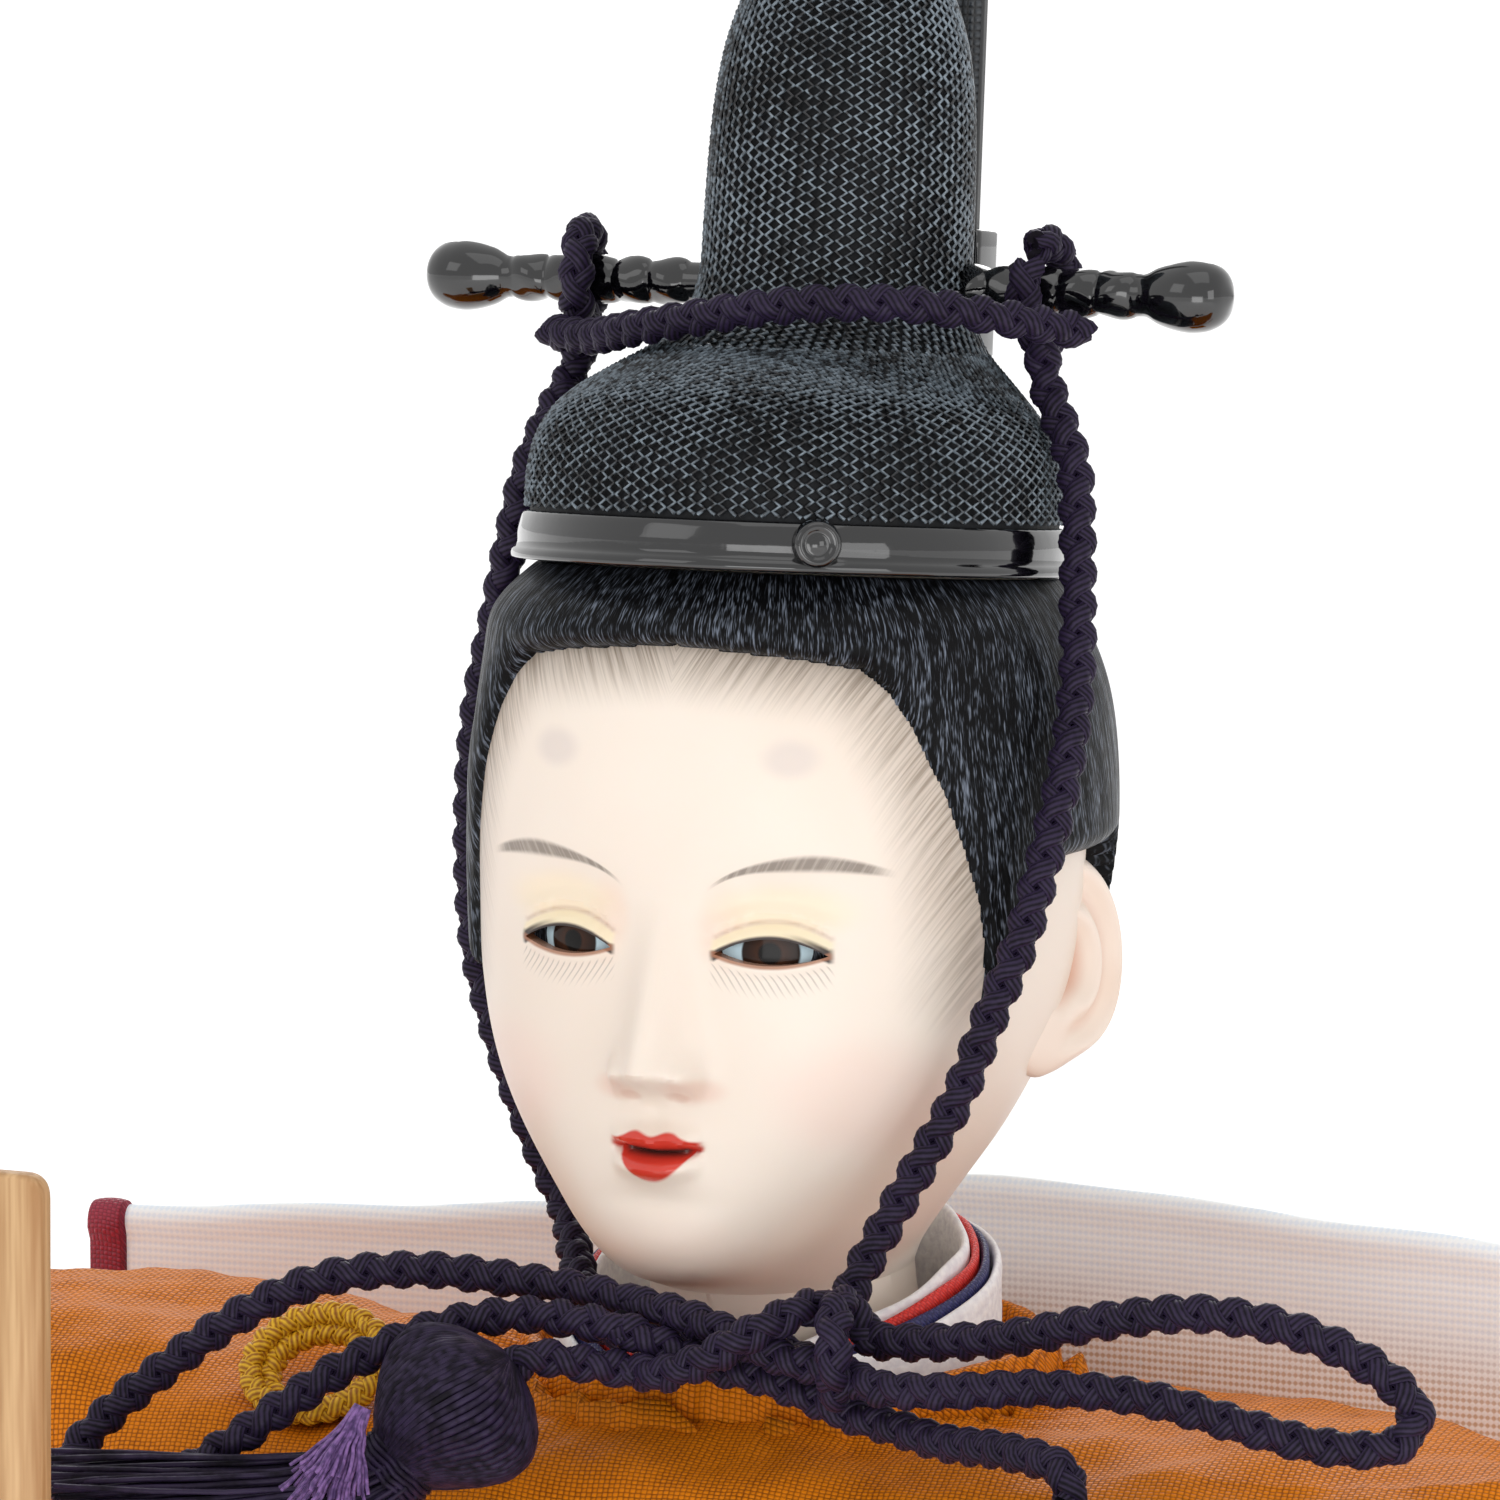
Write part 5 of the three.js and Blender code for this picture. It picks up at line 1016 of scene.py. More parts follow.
def combed(p):
    """Places that stay alike along each combed strand: up and back over the roll, back and down at the side."""
    x, y, z = p[:, 0], p[:, 1], p[:, 2]
    turn = np.arctan2(x, -y) * head_half_width
    side = ease(188, 198, z)
    return np.stack([turn + 0.12 * (z - 190) * (1 - side), y, z], 1) * MM


rings = []
for z in np.linspace(nape_z - 2, hair_top_z, hair_rows + 1):
    bare, wide = head_ring(z, 0.0, hair_columns), head_ring(z, 1.0, hair_columns)
    ring = bare + (wide - bare) * hair_depth(bare)[:, None]
    under_hat = hat_z - (ring[:, 1] - hat_y) * math.tan(-hat_tip) - 0.25
    ring[:, 2] = np.minimum(ring[:, 2], under_hat)
    rings.append(ring)
hair = skinned("hair_combed", rings, silk)
store(hair, "comb", combed(points_of(hair)))
seat(hair, "head", "hair_silk", "hair_front", "hair_back")

# The painted edge of the hair on the forehead and temples: brush strokes that lean towards the middle of the face.
places = points_of(head)
store(head, "inset", -past_hairline(places[:, 0], places[:, 2]))
lean = np.abs(places[:, 0]) - 0.55 * places[:, 2]
store(head, "brush", np.stack([lean, 0 * lean, places[:, 2]], 1) * MM)

# The topknot: the ends of the hair bound with thread into a stiff stem, through which the hat's pin passes.
knot_radius, knot_y, knot_foot_z, knot_height = 4.6, 6.4, 6.5, 25.0
rings = []
for share in np.linspace(0, 1, 60):
    swell = 0.9 + 0.1 * math.sin(math.pi * min(share / 0.6, 1)) - 0.14 * ease(0.6, 1, share)
    bound = 0.93 if 0.4 < share < 0.52 else 1.0
    turn = turns_of(72)
    reach = knot_radius * (swell * bound - 0.02 * np.cos(12 * turn))
    rings.append(ring_about((0, knot_y, knot_foot_z + knot_height * share), (0, -1, 0), (1, 0, 0), turn, reach))
topknot = skinned("topknot_bound", rings, silk)
places = points_of(topknot)
turn = np.arctan2(places[:, 0], places[:, 1] - knot_y) * knot_radius
store(topknot, "comb", np.stack([turn, places[:, 2], 0 * turn], 1) * MM)


# The hat's rim: a band of thin wood under black lacquer, polished to a mirror, with a lip at its foot and a small
# boss.
rim_half_width, rim_half_depth, rim_height, rim_thick, rim_lip = 18.8, 20.5, 3.3, 1.7, 0.5
boss_turn, boss_z = math.radians(31), 1.9
hat_place = Matrix.Translation(Vector((0, hat_y, hat_z)) * MM) @ Matrix.Rotation(hat_tip, 4, "X")
lacquer, lacquer_place = finish("black_lacquer", tone(6, 6, 8), 0.07, Coat_Weight=1.0, Coat_Roughness=0.03)
waver = lacquer_place.noise(170, 2)
waver.smooth(0.3, 0.8, 0.05, 0.16).to("Roughness")
(waver + lacquer_place.noise(900, 2) * 0.15).bump(0.0003, 0.35).to("Normal")


def rounded(corners, rounding, steps=5):
    """A closed outline with each corner eased by an arc of about that size."""
    line = []
    for before, corner, after in zip([corners[-1], *corners], corners, [*corners[1:], corners[0]]):
        corner = np.array(corner, float)
        into, out = np.array(before, float) - corner, np.array(after, float) - corner
        cut_in = min(rounding, np.linalg.norm(into) / 2.1)
        cut_out = min(rounding, np.linalg.norm(out) / 2.1)
        start, end = corner + into / np.linalg.norm(into) * cut_in, corner + out / np.linalg.norm(out) * cut_out
        for t in np.linspace(0, 1, steps):
            line.append((1 - t) ** 2 * start + 2 * t * (1 - t) * corner + t * t * end)
    return np.array(line)


def hoop(name, profile, half_width, half_depth, columns, material):
    """A profile of (out, up) carried round an oval."""
    rings = []
    for turn in turns_of(columns):
        out, up = profile[:, 0], profile[:, 1]
        rings.append(np.stack([(half_width + out) * math.sin(turn), -(half_depth + out) * math.cos(turn), up], 1))
    return skinned(name, [*rings, rings[0]], material, caps=False)


def joined(name, pieces):
    """Several meshes as one piece."""
    work = bmesh.new()
    for piece in pieces:
        work.from_mesh(piece.data)
    mesh = bpy.data.meshes.new(name)
    for material in pieces[0].data.materials:
        mesh.materials.append(material)
    work.to_mesh(mesh)
    work.free()
    for piece in pieces:
        bpy.data.objects.remove(piece)
    return placed(name, mesh)


rim_profile = rounded([
    (-rim_thick, -0.05), (rim_lip, -0.05), (rim_lip, 0.55), (0.05, 0.95), (0.1, 1.9), (-0.15, 2.9),
    (-0.35, rim_height), (-rim_thick, rim_height),
], 0.3)
rim = hoop("rim_band", rim_profile, rim_half_width, rim_half_depth, 220, lacquer)
# The boss from its middle outwards: distance from the middle and height over the rim, in millimetres.
boss_rows = [(0, 0.85), (0.5, 0.85), (0.75, 0.6), (0.95, 0.72), (1.2, 0.95), (1.5, 0.75), (1.7, 0.1), (1.7, -1)]
rings = [ring_about((0, -height, 0), (1, 0, 0), (0, 0, 1), turns_of(40), radius) for radius, height in boss_rows[::-1]]
boss = skinned("rim_boss", rings, lacquer)
boss_foot = Vector((rim_half_width * math.sin(boss_turn), -rim_half_depth * math.cos(boss_turn), boss_z)) * MM
boss.data.transform(Matrix.Translation(boss_foot) @ Matrix.Rotation(boss_turn, 4, "Z"))
seat(joined("rim_lacquered", [rim, boss]), "head", "black_lacquer", "hat_rim", place=hat_place)
seat(topknot, "head", "hair_silk", "topknot", place=hat_place)

# The crown: stiff silk net drawn up from the rim over a form into a tall hump, and set with black lacquer.
crown_inset, crown_height, crown_foot_z, net_shrink, backing_shrink = 0.5, 40.8, 3.6, -0.02, 0.25
crown_shares = [
    (0, 1, -1, 1), (0.07, 0.993, -0.985, 0.975), (0.135, 0.955, -0.935, 0.92), (0.19, 0.87, -0.83, 0.85),
    (0.235, 0.755, -0.63, 0.795), (0.275, 0.645, -0.42, 0.75), (0.325, 0.565, -0.255, 0.72),
    (0.4, 0.525, -0.17, 0.7), (0.5, 0.52, -0.14, 0.69), (0.61, 0.515, -0.12, 0.685), (0.72, 0.5, -0.09, 0.67),
    (0.82, 0.46, -0.05, 0.64), (0.91, 0.38, 0.03, 0.57), (0.965, 0.26, 0.12, 0.5), (1, 0.1, 0.245, 0.4),
]


def crown_ring(t, shrink, columns):
    height, width, front, back = row_at(crown_shares, t)
    half_width, half_depth = rim_half_width - crown_inset, rim_half_depth - crown_inset
    middle, half = half_depth * (front + back) / 2, half_depth * (back - front) / 2 - shrink
    return oval(
        crown_foot_z + crown_height * height - shrink * t, half_width * width - shrink, middle, middle - half,
        middle + half, 2, columns,
    )


net_dark = mottled(
    "net_backing", tone(16, 17, 20), 0.6, (tone(9, 10, 12), tone(20, 22, 26)), (500, 2), (1800, 2), (0.0001, 0.6),
    Specular_IOR_Level=0.25,
)
net_silk, thread_place = finish("net_thread", tone(40, 43, 49), 0.32, Coat_Weight=0.35, Coat_Roughness=0.2)
# Painted glints: fine light specks on the dark threads.
lit = (thread_place.noise(160, 2) * 0.35 + thread_place.noise(1900, 1) * 0.75).smooth(0.42, 0.72)
lit.mix(tone(17, 18, 22), tone(124, 136, 146)).to("Base Color")
lit.smooth(0.0, 1.0, 0.5, 0.28).to("Roughness")
thread_place.noise(3000, 1).bump(0.00005, 0.5).to("Normal")
net_sizes = {
    "Stitch": 0.37 * MM, "Sway": 0.26 * MM, "Thread": 0.15 * MM, "Axis": 5.0 * MM, "Sides": 4, "Side": 0,
}


def net_tree():
    """Threads that sway to the other side at every stitch, so that neighbours meet and part like knitted loops."""
    grow = Grower("hat_net", net_sizes)
    stitch, sway, thread, axis, sides, side = grow.given
    grow.step("ResampleCurve", {"Length": stitch}, "Curve", mode="LENGTH")
    x, y = grow.value("GeometryNodeInputPosition").parts()[:2]
    out = grow.value("ShaderNodeCombineXYZ", (x, y - axis, 0.0))
    across = grow.value("GeometryNodeInputTangent").vector("CROSS_PRODUCT", out).vector("NORMALIZE")
    number = grow.value("GeometryNodeSplineParameter", out="Index") + side
    sign = 1 - 2 * number.math("MODULO", number, 2)
    grow.step("SetPosition", {"Offset": across.times(sign * sway)})
    grow.tube(grow.round_section(sides, thread))
    return grow.close(net_silk)


net = net_tree()
crown_rows, net_threads, shoulder_row = 90, 160, 25
crown_rings = [crown_ring(i / crown_rows, net_shrink, net_threads) for i in range(crown_rows + 1)]
parts = []
for rows, step in ((range(shoulder_row + 1), 1), (range(shoulder_row, crown_rows + 1), 2)):
    for side in (0, 1):
        own_threads = range(side * step, net_threads, 2 * step)
        lines = [[Vector(crown_rings[row][k]) * MM for row in rows] for k in own_threads]
        parts.append(grown("net", curve_object("net", lines), net, Side=side))
seat(joined("net_crown", parts), "head", "hat_net", place=hat_place)
# The dark backing under the net goes a little way down inside the rim.
backing_rings = [crown_ring(0, backing_shrink, net_threads) - np.array((0, 0, drop)) for drop in (1.8, 0.9)]
backing_rings += [crown_ring(i / crown_rows, backing_shrink, net_threads) for i in range(crown_rows + 1)]
crown = skinned("crown_backing", backing_rings, net_dark)
seat(crown, "head", "hat_net", "hat_crown", place=hat_place)

# The pin: a turned and lacquered rod through the hump and the topknot, cut with twisted beads, with a pear-shaped
# knob at each end. The cord is doubled over it on each side, which holds the hat to the hair.
pin_x, pin_y, pin_z, pin_half_length = -1.5, 6.4, 19.6, 30.9
pin_radius, pin_bead, pin_beads, pin_twist, beads_start = 1.45, 0.3, 5, 3, 10.2
knob_radius, knob_length = 2.55, 7.0
# From the beads to the tip: place and radius of the knob, as shares of its length and radius.
knob_shares = [(0, 0.6), (0.1, 0.62), (0.25, 0.82), (0.45, 0.97), (0.62, 1), (0.8, 0.88), (0.93, 0.58), (1, 0.04)]
beads_end = pin_half_length - knob_length
left_knob, right_knob = np.linspace(-pin_half_length, -beads_end, 40), np.linspace(beads_end, pin_half_length, 40)
turn = turns_of(48)
rings = []
for along in np.concatenate([left_knob, np.linspace(-beads_end, beads_end, 260)[1:-1], right_knob]):
    reach = abs(along)
    if reach >= beads_end:
        share = (reach - beads_end) / knob_length
        radius = np.full(48, knob_radius * max(row_at(knob_shares, share)[1], 0.02))
    elif reach > beads_start:
        share = (reach - beads_start) / (beads_end - beads_start) * pin_beads
        bead = abs(math.sin(math.pi * share)) ** 0.6
        radius = pin_radius + pin_bead * bead + 0.07 * np.cos(pin_twist * turn + 5 * share)
    else:
        radius = np.full(48, pin_radius)
    y, z = pin_y + radius * np.cos(turn), pin_z + radius * np.sin(turn)
    rings.append(np.stack([np.full(48, pin_x + along), y, z], 1))
pin = skinned("pin_turned", rings, lacquer)
seat(pin, "head", "black_lacquer", "hat_pin", place=hat_place)

loop_radius, loop_sweep = 3.4, 332
loops = []
for name, x, tilt, start in (("left", 15.4, -0.05, 150), ("right", -20.1, 0.3, 20)):
    route = []
    for turn in np.radians(np.linspace(start, start + loop_sweep, 13)):
        over = Matrix.Rotation(tilt, 4, "Z") @ Vector((0, loop_radius * math.cos(turn), loop_radius * math.sin(turn)))
        route.append(hat_place @ (Vector((x, pin_y, pin_z)) * MM + over * MM) / MM)
    loops.append(plaited("pin_loop_" + name + "_plait", [route], "pin_loop_" + name))
free_cord("crown_cord", crown_route, "taut", loops)

# The pocket and the tail: a lacquered slot behind the hump, and the stiff ribbed net ribbon that stands in it.
tail_width, tail_thick, tail_length, tail_ribs, tail_rib_rise = 11, 1.0, 78, 14, 0.3
pocket_wall, pocket_height, pocket_foot_z, tail_room = 0.7, 9, 15.0, 0.3
pocket_y = crown_ring(0.28, 0, 64)[:, 1].max() + 0.3
tail_y = pocket_y + pocket_wall + tail_room + tail_rib_rise + tail_thick / 2
room_x, room_y = tail_width / 2 + tail_room, tail_thick / 2 + tail_rib_rise + tail_room


def corners_of(half_x, y_low, y_high):
    return [(half_x, y_low), (half_x, y_high), (-half_x, y_high), (-half_x, y_low)]


outer = rounded(corners_of(room_x + pocket_wall, pocket_y, tail_y + room_y + pocket_wall), 0.5)
inner = rounded(corners_of(room_x, tail_y - room_y, tail_y + room_y), 0.2)


def level(line, z, grow=0.0):
    middle = line.mean(0)
    out = line + np.sign(line - middle) * grow
    return np.column_stack([out, np.full(len(out), z)])


pocket_top_z = pocket_foot_z + pocket_height
rings = [level(outer, pocket_foot_z, -0.2), level(outer, pocket_foot_z + 0.2)]
rings += [level(outer, z) for z in np.linspace(pocket_foot_z + 1, pocket_top_z - 0.2, 8)]
rings += [level(outer, pocket_top_z, -0.2), level(inner, pocket_top_z, 0.1)]
rings += [level(inner, pocket_top_z - 0.2), level(inner, pocket_foot_z + pocket_wall)]
seat(skinned("tail_pocket", rings, lacquer), "head", "black_lacquer", "hat_pocket", place=hat_place)

outline = []
for side in (-1, 1):
    for share in np.linspace(0, 1, tail_ribs * 12 + 1):
        rise = tail_rib_rise * (0.5 - 0.5 * math.cos(math.pi * share * tail_ribs))
        outline.append((side * (2 * share - 1) * tail_width / 2, tail_y + side * -(tail_thick / 2 + rise)))
outline = np.array(outline)
foot = pocket_foot_z + pocket_wall + tail_room
rings = [level(outline, foot + tail_length * share) for share in np.linspace(0, 1, 40)]
tail_net, tail_place = finish("tail_net", tone(30, 32, 36), 0.4, Coat_Weight=0.3, Coat_Roughness=0.25)
x, y, z = tail_place.parts()
mesh_dots = (z * (math.pi / (0.55 * MM))).sin().abs() * (x * (math.pi / (0.5 * MM))).sin().abs()
(mesh_dots + tail_place.noise(900, 2) * 0.5).smooth(0.2, 1.1).mix(tone(16, 17, 20), tone(52, 57, 63)).to("Base Color")
mesh_dots.smooth(0, 1, 0.5, 0.3).to("Roughness")
mesh_dots.bump(0.0001, 0.7).to("Normal")
seat(skinned("tail_ribbon", rings, tail_net), "hat_tail", "hat_net", "hat_tail", place=hat_place)

# The bow's knot and ends: the two bow runs pass through, one cheek cord turns down round them at the left end and
# the other crosses them aslant; each ends in a short tail with a silk tassel. All of it hangs on the hat's cord.
tail_left_route = [
    (15.5, -25.9, 149.4), (19.8, -27, 149), (24.6, -29.4, 148.8), (31, -33, 149.4), (35.8, -35.6, 149),
    (36.6, -36.4, 147.3),
]
tail_right_route = [(1, -27.6, 151.3), (-2, -30, 152), (-4.6, -31.6, 152.4), (-6, -32.4, 151.4)]
knot_routes = [
    [(-0.6, -24.4, 155.2), (4, -25.6, 154.9), (8, -26.7, 154.1), (12, -27.2, 153), (17, -26.5, 152.1)],
    [(-0.2, -27.5, 154.2), (3, -26.6, 152.9), (6, -26, 151.8), (10, -25.8, 151.2), (15.5, -25.9, 149.6)],
    [
        (1, -27.6, 151.3), (4, -28.7, 151.5), (7.5, -29.1, 153), (10.6, -28.3, 154.9), (13.2, -25.4, 156.2),
        (13.8, -21.8, 155.2),
    ],
    [
        (1.6, -21.2, 153), (6, -21.8, 152.6), (11, -22.6, 152.2), (14.4, -24.4, 150.9), (16, -27.4, 151),
        (16.5, -28.9, 153.2), (15.9, -27.6, 155.8), (15.2, -24.4, 156.4), (17, -23.6, 153.9),
    ],
]
knot = plaited("knot_plait", knot_routes, "chin_knot")
tail_left = plaited("tail_left_plait", [tail_left_route], "cord_tail_left")
tail_right = plaited("tail_right_plait", [tail_right_route], "cord_tail_right")

# The tassels: silk threads drawn over a padded head in two lobes, tied at the neck, and left free below.
tassel_head_radius, tassel_head_length, tassel_skirt_radius, tassel_length = 5.4, 10.8, 7.2, 27
tassel_head_threads, tassel_skirt_threads, tassel_twist = 76, 260, 0.55
tie_rounds, tie_pitch, tie_top, tie_radius = 5, 0.42, 1.0, 2.75
# Down the head: place and radius, as shares of its length and radius; the first rows turn into the dimple.
tassel_shares = [
    (0, 0.04), (0.04, 0.26), (0.1, 0.6), (0.24, 0.95), (0.42, 1.06), (0.62, 0.94), (0.8, 0.68), (0.92, 0.46), (1, 0.42),
]
strand_sizes = {"Thread": 0.2 * MM, "Sides": 5, "Ripple": 0.1 * MM, "Ripple length": 2.2 * MM}


def strand_tree(name, silk):
    """Makes fine, slightly waved threads of the curves it is given, each a little lighter or darker."""
    grow = Grower(name, strand_sizes)
    thread, sides, ripple, ripple_length = grow.given
    along = grow.value("GeometryNodeSplineParameter", out="Length") / ripple_length
    place = grow.value("GeometryNodeInputPosition")
    wave = (along * math.tau + place.noise(300, 1) * 9).sin() * ripple
    grow.step("SetPosition", {"Offset": grow.value("GeometryNodeInputNormal").times(wave)})
    crown = grow.keep(place.noise(1700, 1).smooth(0.25, 0.75), "FLOAT")
    grow.tube(grow.round_section(sides, thread))
    grow.store("crown", crown)
    return grow.close(silk)


strands = strand_tree("silk_strands", cord_silk)


def tassel(name, end, way, lobe_turn, seed, node, sweep=(0, 0, 0)):
    """A tassel hung from the end of a tail."""
    draw = np.random.default_rng(seed)
    down = Vector(way).normalized()
    side = down.orthogonal().normalized()
    other = down.cross(side)
    start = Vector(end) + down * 0.6

    def out(turn):
        return side * math.cos(turn) + other * math.sin(turn)

    def head_radius(share, turn):
        """The padded head's radius: two lobes that are widest at its middle."""
        lobes = 0.17 * np.cos(2 * (turn - lobe_turn)) * math.sin(math.pi * min(share * 1.25, 1))
        return row_at(tassel_shares, share)[1] * tassel_head_radius * (1 + lobes)

    lines = []
    for angle in np.linspace(0, math.tau, tassel_head_threads, endpoint=False):
        line = [start + down * 1.6 + out(angle) * 0.3]
        for share in np.linspace(0, 1, 30):
            turn = angle + tassel_twist * share
            line.append(start + down * tassel_head_length * share + out(turn) * head_radius(share, turn))
        lines.append([p * MM for p in line])
    wound = grown(name + "_wound", curve_object(name, lines), strands, Thread=0.27 * MM, Ripple=0.04 * MM)
    lines = []
    neck = start + down * tassel_head_length
    for k in range(tassel_skirt_threads):
        angle, spread = draw.uniform(0, math.tau), math.sqrt(draw.uniform(0.02, 1))
        reach = (tassel_length - tassel_head_length) * draw.uniform(0.9, 1.0)
        swerve = draw.normal(0, 0.7, 2)
        line = []
        for share in np.linspace(0, 1, 16):
            radius = (2.1 + (tassel_skirt_radius - 2.5) * ease(-0.25, 0.9, share)) * spread
            drift = side * swerve[0] * share ** 2 + other * swerve[1] * share ** 2 + Vector(sweep) * share ** 1.4
            line.append(neck + down * reach * share + out(angle + 0.25 * share) * radius + drift)
        lines.append([p * MM for p in line])
    for drop in np.arange(tie_rounds) * tie_pitch - tie_top:
        lines.append([(neck + down * drop + out(turn) * tie_radius) * MM for turn in np.linspace(0, math.tau, 25)])
    piece = grown(name, curve_object(name, lines), strands)
    rings = []
    for share in np.linspace(0, 1, 24):
        turn = turns_of(48) + tassel_twist * share
        reach = np.maximum(head_radius(share, turn) - 0.15, 0.05)
        rings.append(ring_about(start + down * tassel_head_length * share, side, other, turn, reach))
    body = skinned(name + "_head", rings, cord_silk)
    return seat(joined(name, [piece, wound, body]), "head", "purple_cord", node)


tassel_left = tassel("tassel_left_silk", tail_left_route[-1], (0.15, -0.55, -1), 0.4, 7, "tassel_left")
tassel_right = tassel(
    "tassel_right_silk", (-5.4, -32.2, 153), (-0.62, -0.36, -0.7), 1.2, 8, "tassel_right", (-9, -1, 6),
)

# A pinch of lighter violet silk caught in the neck of the right tassel.
tuft_radius, tuft_length, tuft_count = 2.6, 8, 110
tuft_x, tuft_y, tuft_z, tuft_heading, tuft_dip = -13.4, -42.4, 146.6, -0.7, 1.1
violet_silk, violet_place = finish(
    "tuft_violet", tone(96, 64, 120), 0.6, Sheen_Weight=0.3, Sheen_Tint=tone(190, 160, 220),
)
violet_place.noise(2200, 1).smooth(0.3, 0.7).mix(tone(70, 44, 96), tone(128, 92, 152)).to("Base Color")
draw = np.random.default_rng(21)
level_reach = math.cos(tuft_dip)
way = Vector((
    level_reach * math.sin(tuft_heading), -level_reach * math.cos(tuft_heading), -math.sin(tuft_dip),
))
side = way.orthogonal().normalized()
other = way.cross(side)
start = Vector((tuft_x, tuft_y, tuft_z)) - way * tuft_length / 2
lines = []
for k in range(tuft_count):
    angle, spread = draw.uniform(0, math.tau), math.sqrt(draw.uniform(0, 1))
    reach = tuft_length * draw.uniform(0.6, 1)
    out = (side * math.cos(angle) + other * math.sin(angle)) * spread
    bend = draw.normal(0, 0.5, 2)
    line = []
    for share in np.linspace(0, 1, 12):
        spread_out = out * (0.5 + (tuft_radius - 0.5) * share ** 1.3)
        bent = (side * bend[0] + other * bend[1]) * share ** 2
        line.append((start + way * reach * share + spread_out + bent) * MM)
    lines.append(line)
violet_strands = strand_tree("violet_strands", violet_silk)
tuft = grown("tuft_strands", curve_object("tuft", lines), violet_strands, Thread=0.13 * MM)
seat(tuft, "head", "tuft_silk", "tassel_tuft")
free_cord("bow_loop_left", bow_left_route, "loose", [knot, tail_left, tassel_left])
free_cord("bow_loop_right", bow_right_route, "loose", [tail_right, tassel_right, tuft])

# The neck bands: four folded silk bands in a spiral of lanes, each a little lower than the one inside it and
# crossing in front: a crepe white, a red piping, a dark blue piping and a white outer band.
wrap_radius, lane_width, band_thick, band_lanes, band_steps = 12.5, 0.8, 0.5, 4, 260
half_turn, band_drop, fall_power, band_top_z, band_foot_z, band_step = 1.08 * math.pi, 9.5, 1.6, 157.6, 133.7, 0.55


def woven(name, deep, lit, pitch, rough=0.5, slub=0.5, gap_shade=0.55, **fixed):
    """A plain weave: threads cross over and under, with slubs and soft bands of lighter and darker yarn, and painted
    shade in the gaps between the threads.
    """
    material, place = finish(name, lit, rough, **fixed)
    x, y, z = [part / MM for part in place.parts()]
    warp, weft = (x + y * 0.15) / pitch, (y * 0.9 + z) / pitch
    loose = place.noise(260, 2) * slub
    cell = ((warp + loose) * math.pi).sin() * ((weft + loose) * math.pi).sin()
    thread = cell.abs() ** 0.6
    over = cell.smooth(-0.3, 0.3)
    bands = place.scaled(1, 1, 8).noise(240, 1) * 0.5 + place.scaled(8, 1, 1).noise(240, 1) * 0.5
    # Painted shade darkens the gaps between threads and painted light lifts the thread on top; deep and lit are the
    # shaded and lit tones of the silk, and the stretched bands are real yarn.
    shade = thread * gap_shade + over * 0.2 + bands * 0.5 + place.noise(45, 2) * 0.35
    shade.smooth(0.25, 1.25).mix(deep, lit).to("Base Color")
    over.smooth(0, 1, rough + 0.12, rough - 0.1).to("Roughness")
    (thread * 0.8 + bands * 0.4).bump(0.00012, 0.6).to("Normal")
    return material


crepe, crepe_place = finish("collar_crepe", tone(238, 236, 236), 0.7, Sheen_Weight=0.15)
crinkle = crepe_place.noise(1500, 2) + crepe_place.scaled(1, 1, 3).noise(600, 2) * 0.5
crinkle.smooth(0.45, 1.0).mix(tone(232, 230, 234), tone(254, 253, 252)).to("Base Color")
crinkle.bump(0.0002, 0.5).to("Normal")
red_band = woven("red_silk", tone(186, 26, 26), tone(240, 58, 46), 0.3)
navy_band = woven("navy_silk", tone(24, 24, 66), tone(54, 54, 112), 0.3)
bands = (
    ("collar_white_inner", crepe, "white_silk", "inner_band"),
    ("collar_red_piping", red_band, "red_silk", "red_band"),
    ("collar_purple_piping", navy_band, "navy_silk", "blue_band"),
    ("collar_white_outer", crepe, "white_silk", "outer_band"),
)
for order, (node, material, slot, name) in enumerate(bands):
    rings = []
    for turn in np.linspace(-half_turn, half_turn, band_steps + 1):
        inner = wrap_radius + order * lane_width + band_lanes * lane_width * turn / (2 * math.pi)
        inner += 0.1 * math.sin(turn * 9 + order) * ease(0.2, 1, abs(turn))
        top = band_top_z - order * band_step - band_drop * (abs(turn) / math.pi) ** fall_power
        top += 0.12 * math.sin(turn * 7 + 2 * order)
        puff = 0.12 if material is crepe else 0.04
        outer = inner + band_thick
        section = [
            (inner, band_foot_z), (inner, top - 6), (inner - 0.02, top - 0.9), (inner - 0.05, top - 0.3),
            (inner + 0.1, top - 0.03), (inner + band_thick / 2, top + 0.04), (outer - 0.1, top - 0.03),
            (outer + 0.05, top - 0.3), (outer + puff, top - 0.9), (outer + puff * 0.4, top - 2.2),
            (outer + puff, top - 4), (outer, top - 6), (outer, band_foot_z),
        ]
        fine = []
        for (r0, z0), (r1, z1) in zip(section, [*section[1:], section[0]]):
            steps = max(int(abs(z1 - z0) / 0.9), 1)
            fine += [(r0 + (r1 - r0) * k / steps, z0 + (z1 - z0) * k / steps) for k in range(steps)]
        rings.append((turn, fine))
    count = max(len(fine) for turn, fine in rings)
    even = []
    for turn, fine in rings:
        fine = np.array([*fine, fine[0]])
        places = np.linspace(0, 1, len(fine))
        radii, heights = [np.interp(np.linspace(0, 1, count, endpoint=False), places, fine[:, k]) for k in (0, 1)]
        even.append(np.stack([-radii * math.sin(turn), radii * math.cos(turn), heights], 1))
    band = seat(skinned(name, even, material), "body", slot, node)
    around = 2 * half_turn * (wrap_radius + order * lane_width)
    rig.sheet(band, flat=((band_top_z - band_foot_z) * MM, around * MM), held="folded", rests_on=["robe_collar"],
             area=(band_top_z - 4.1 - band_foot_z) * around * MM * MM)

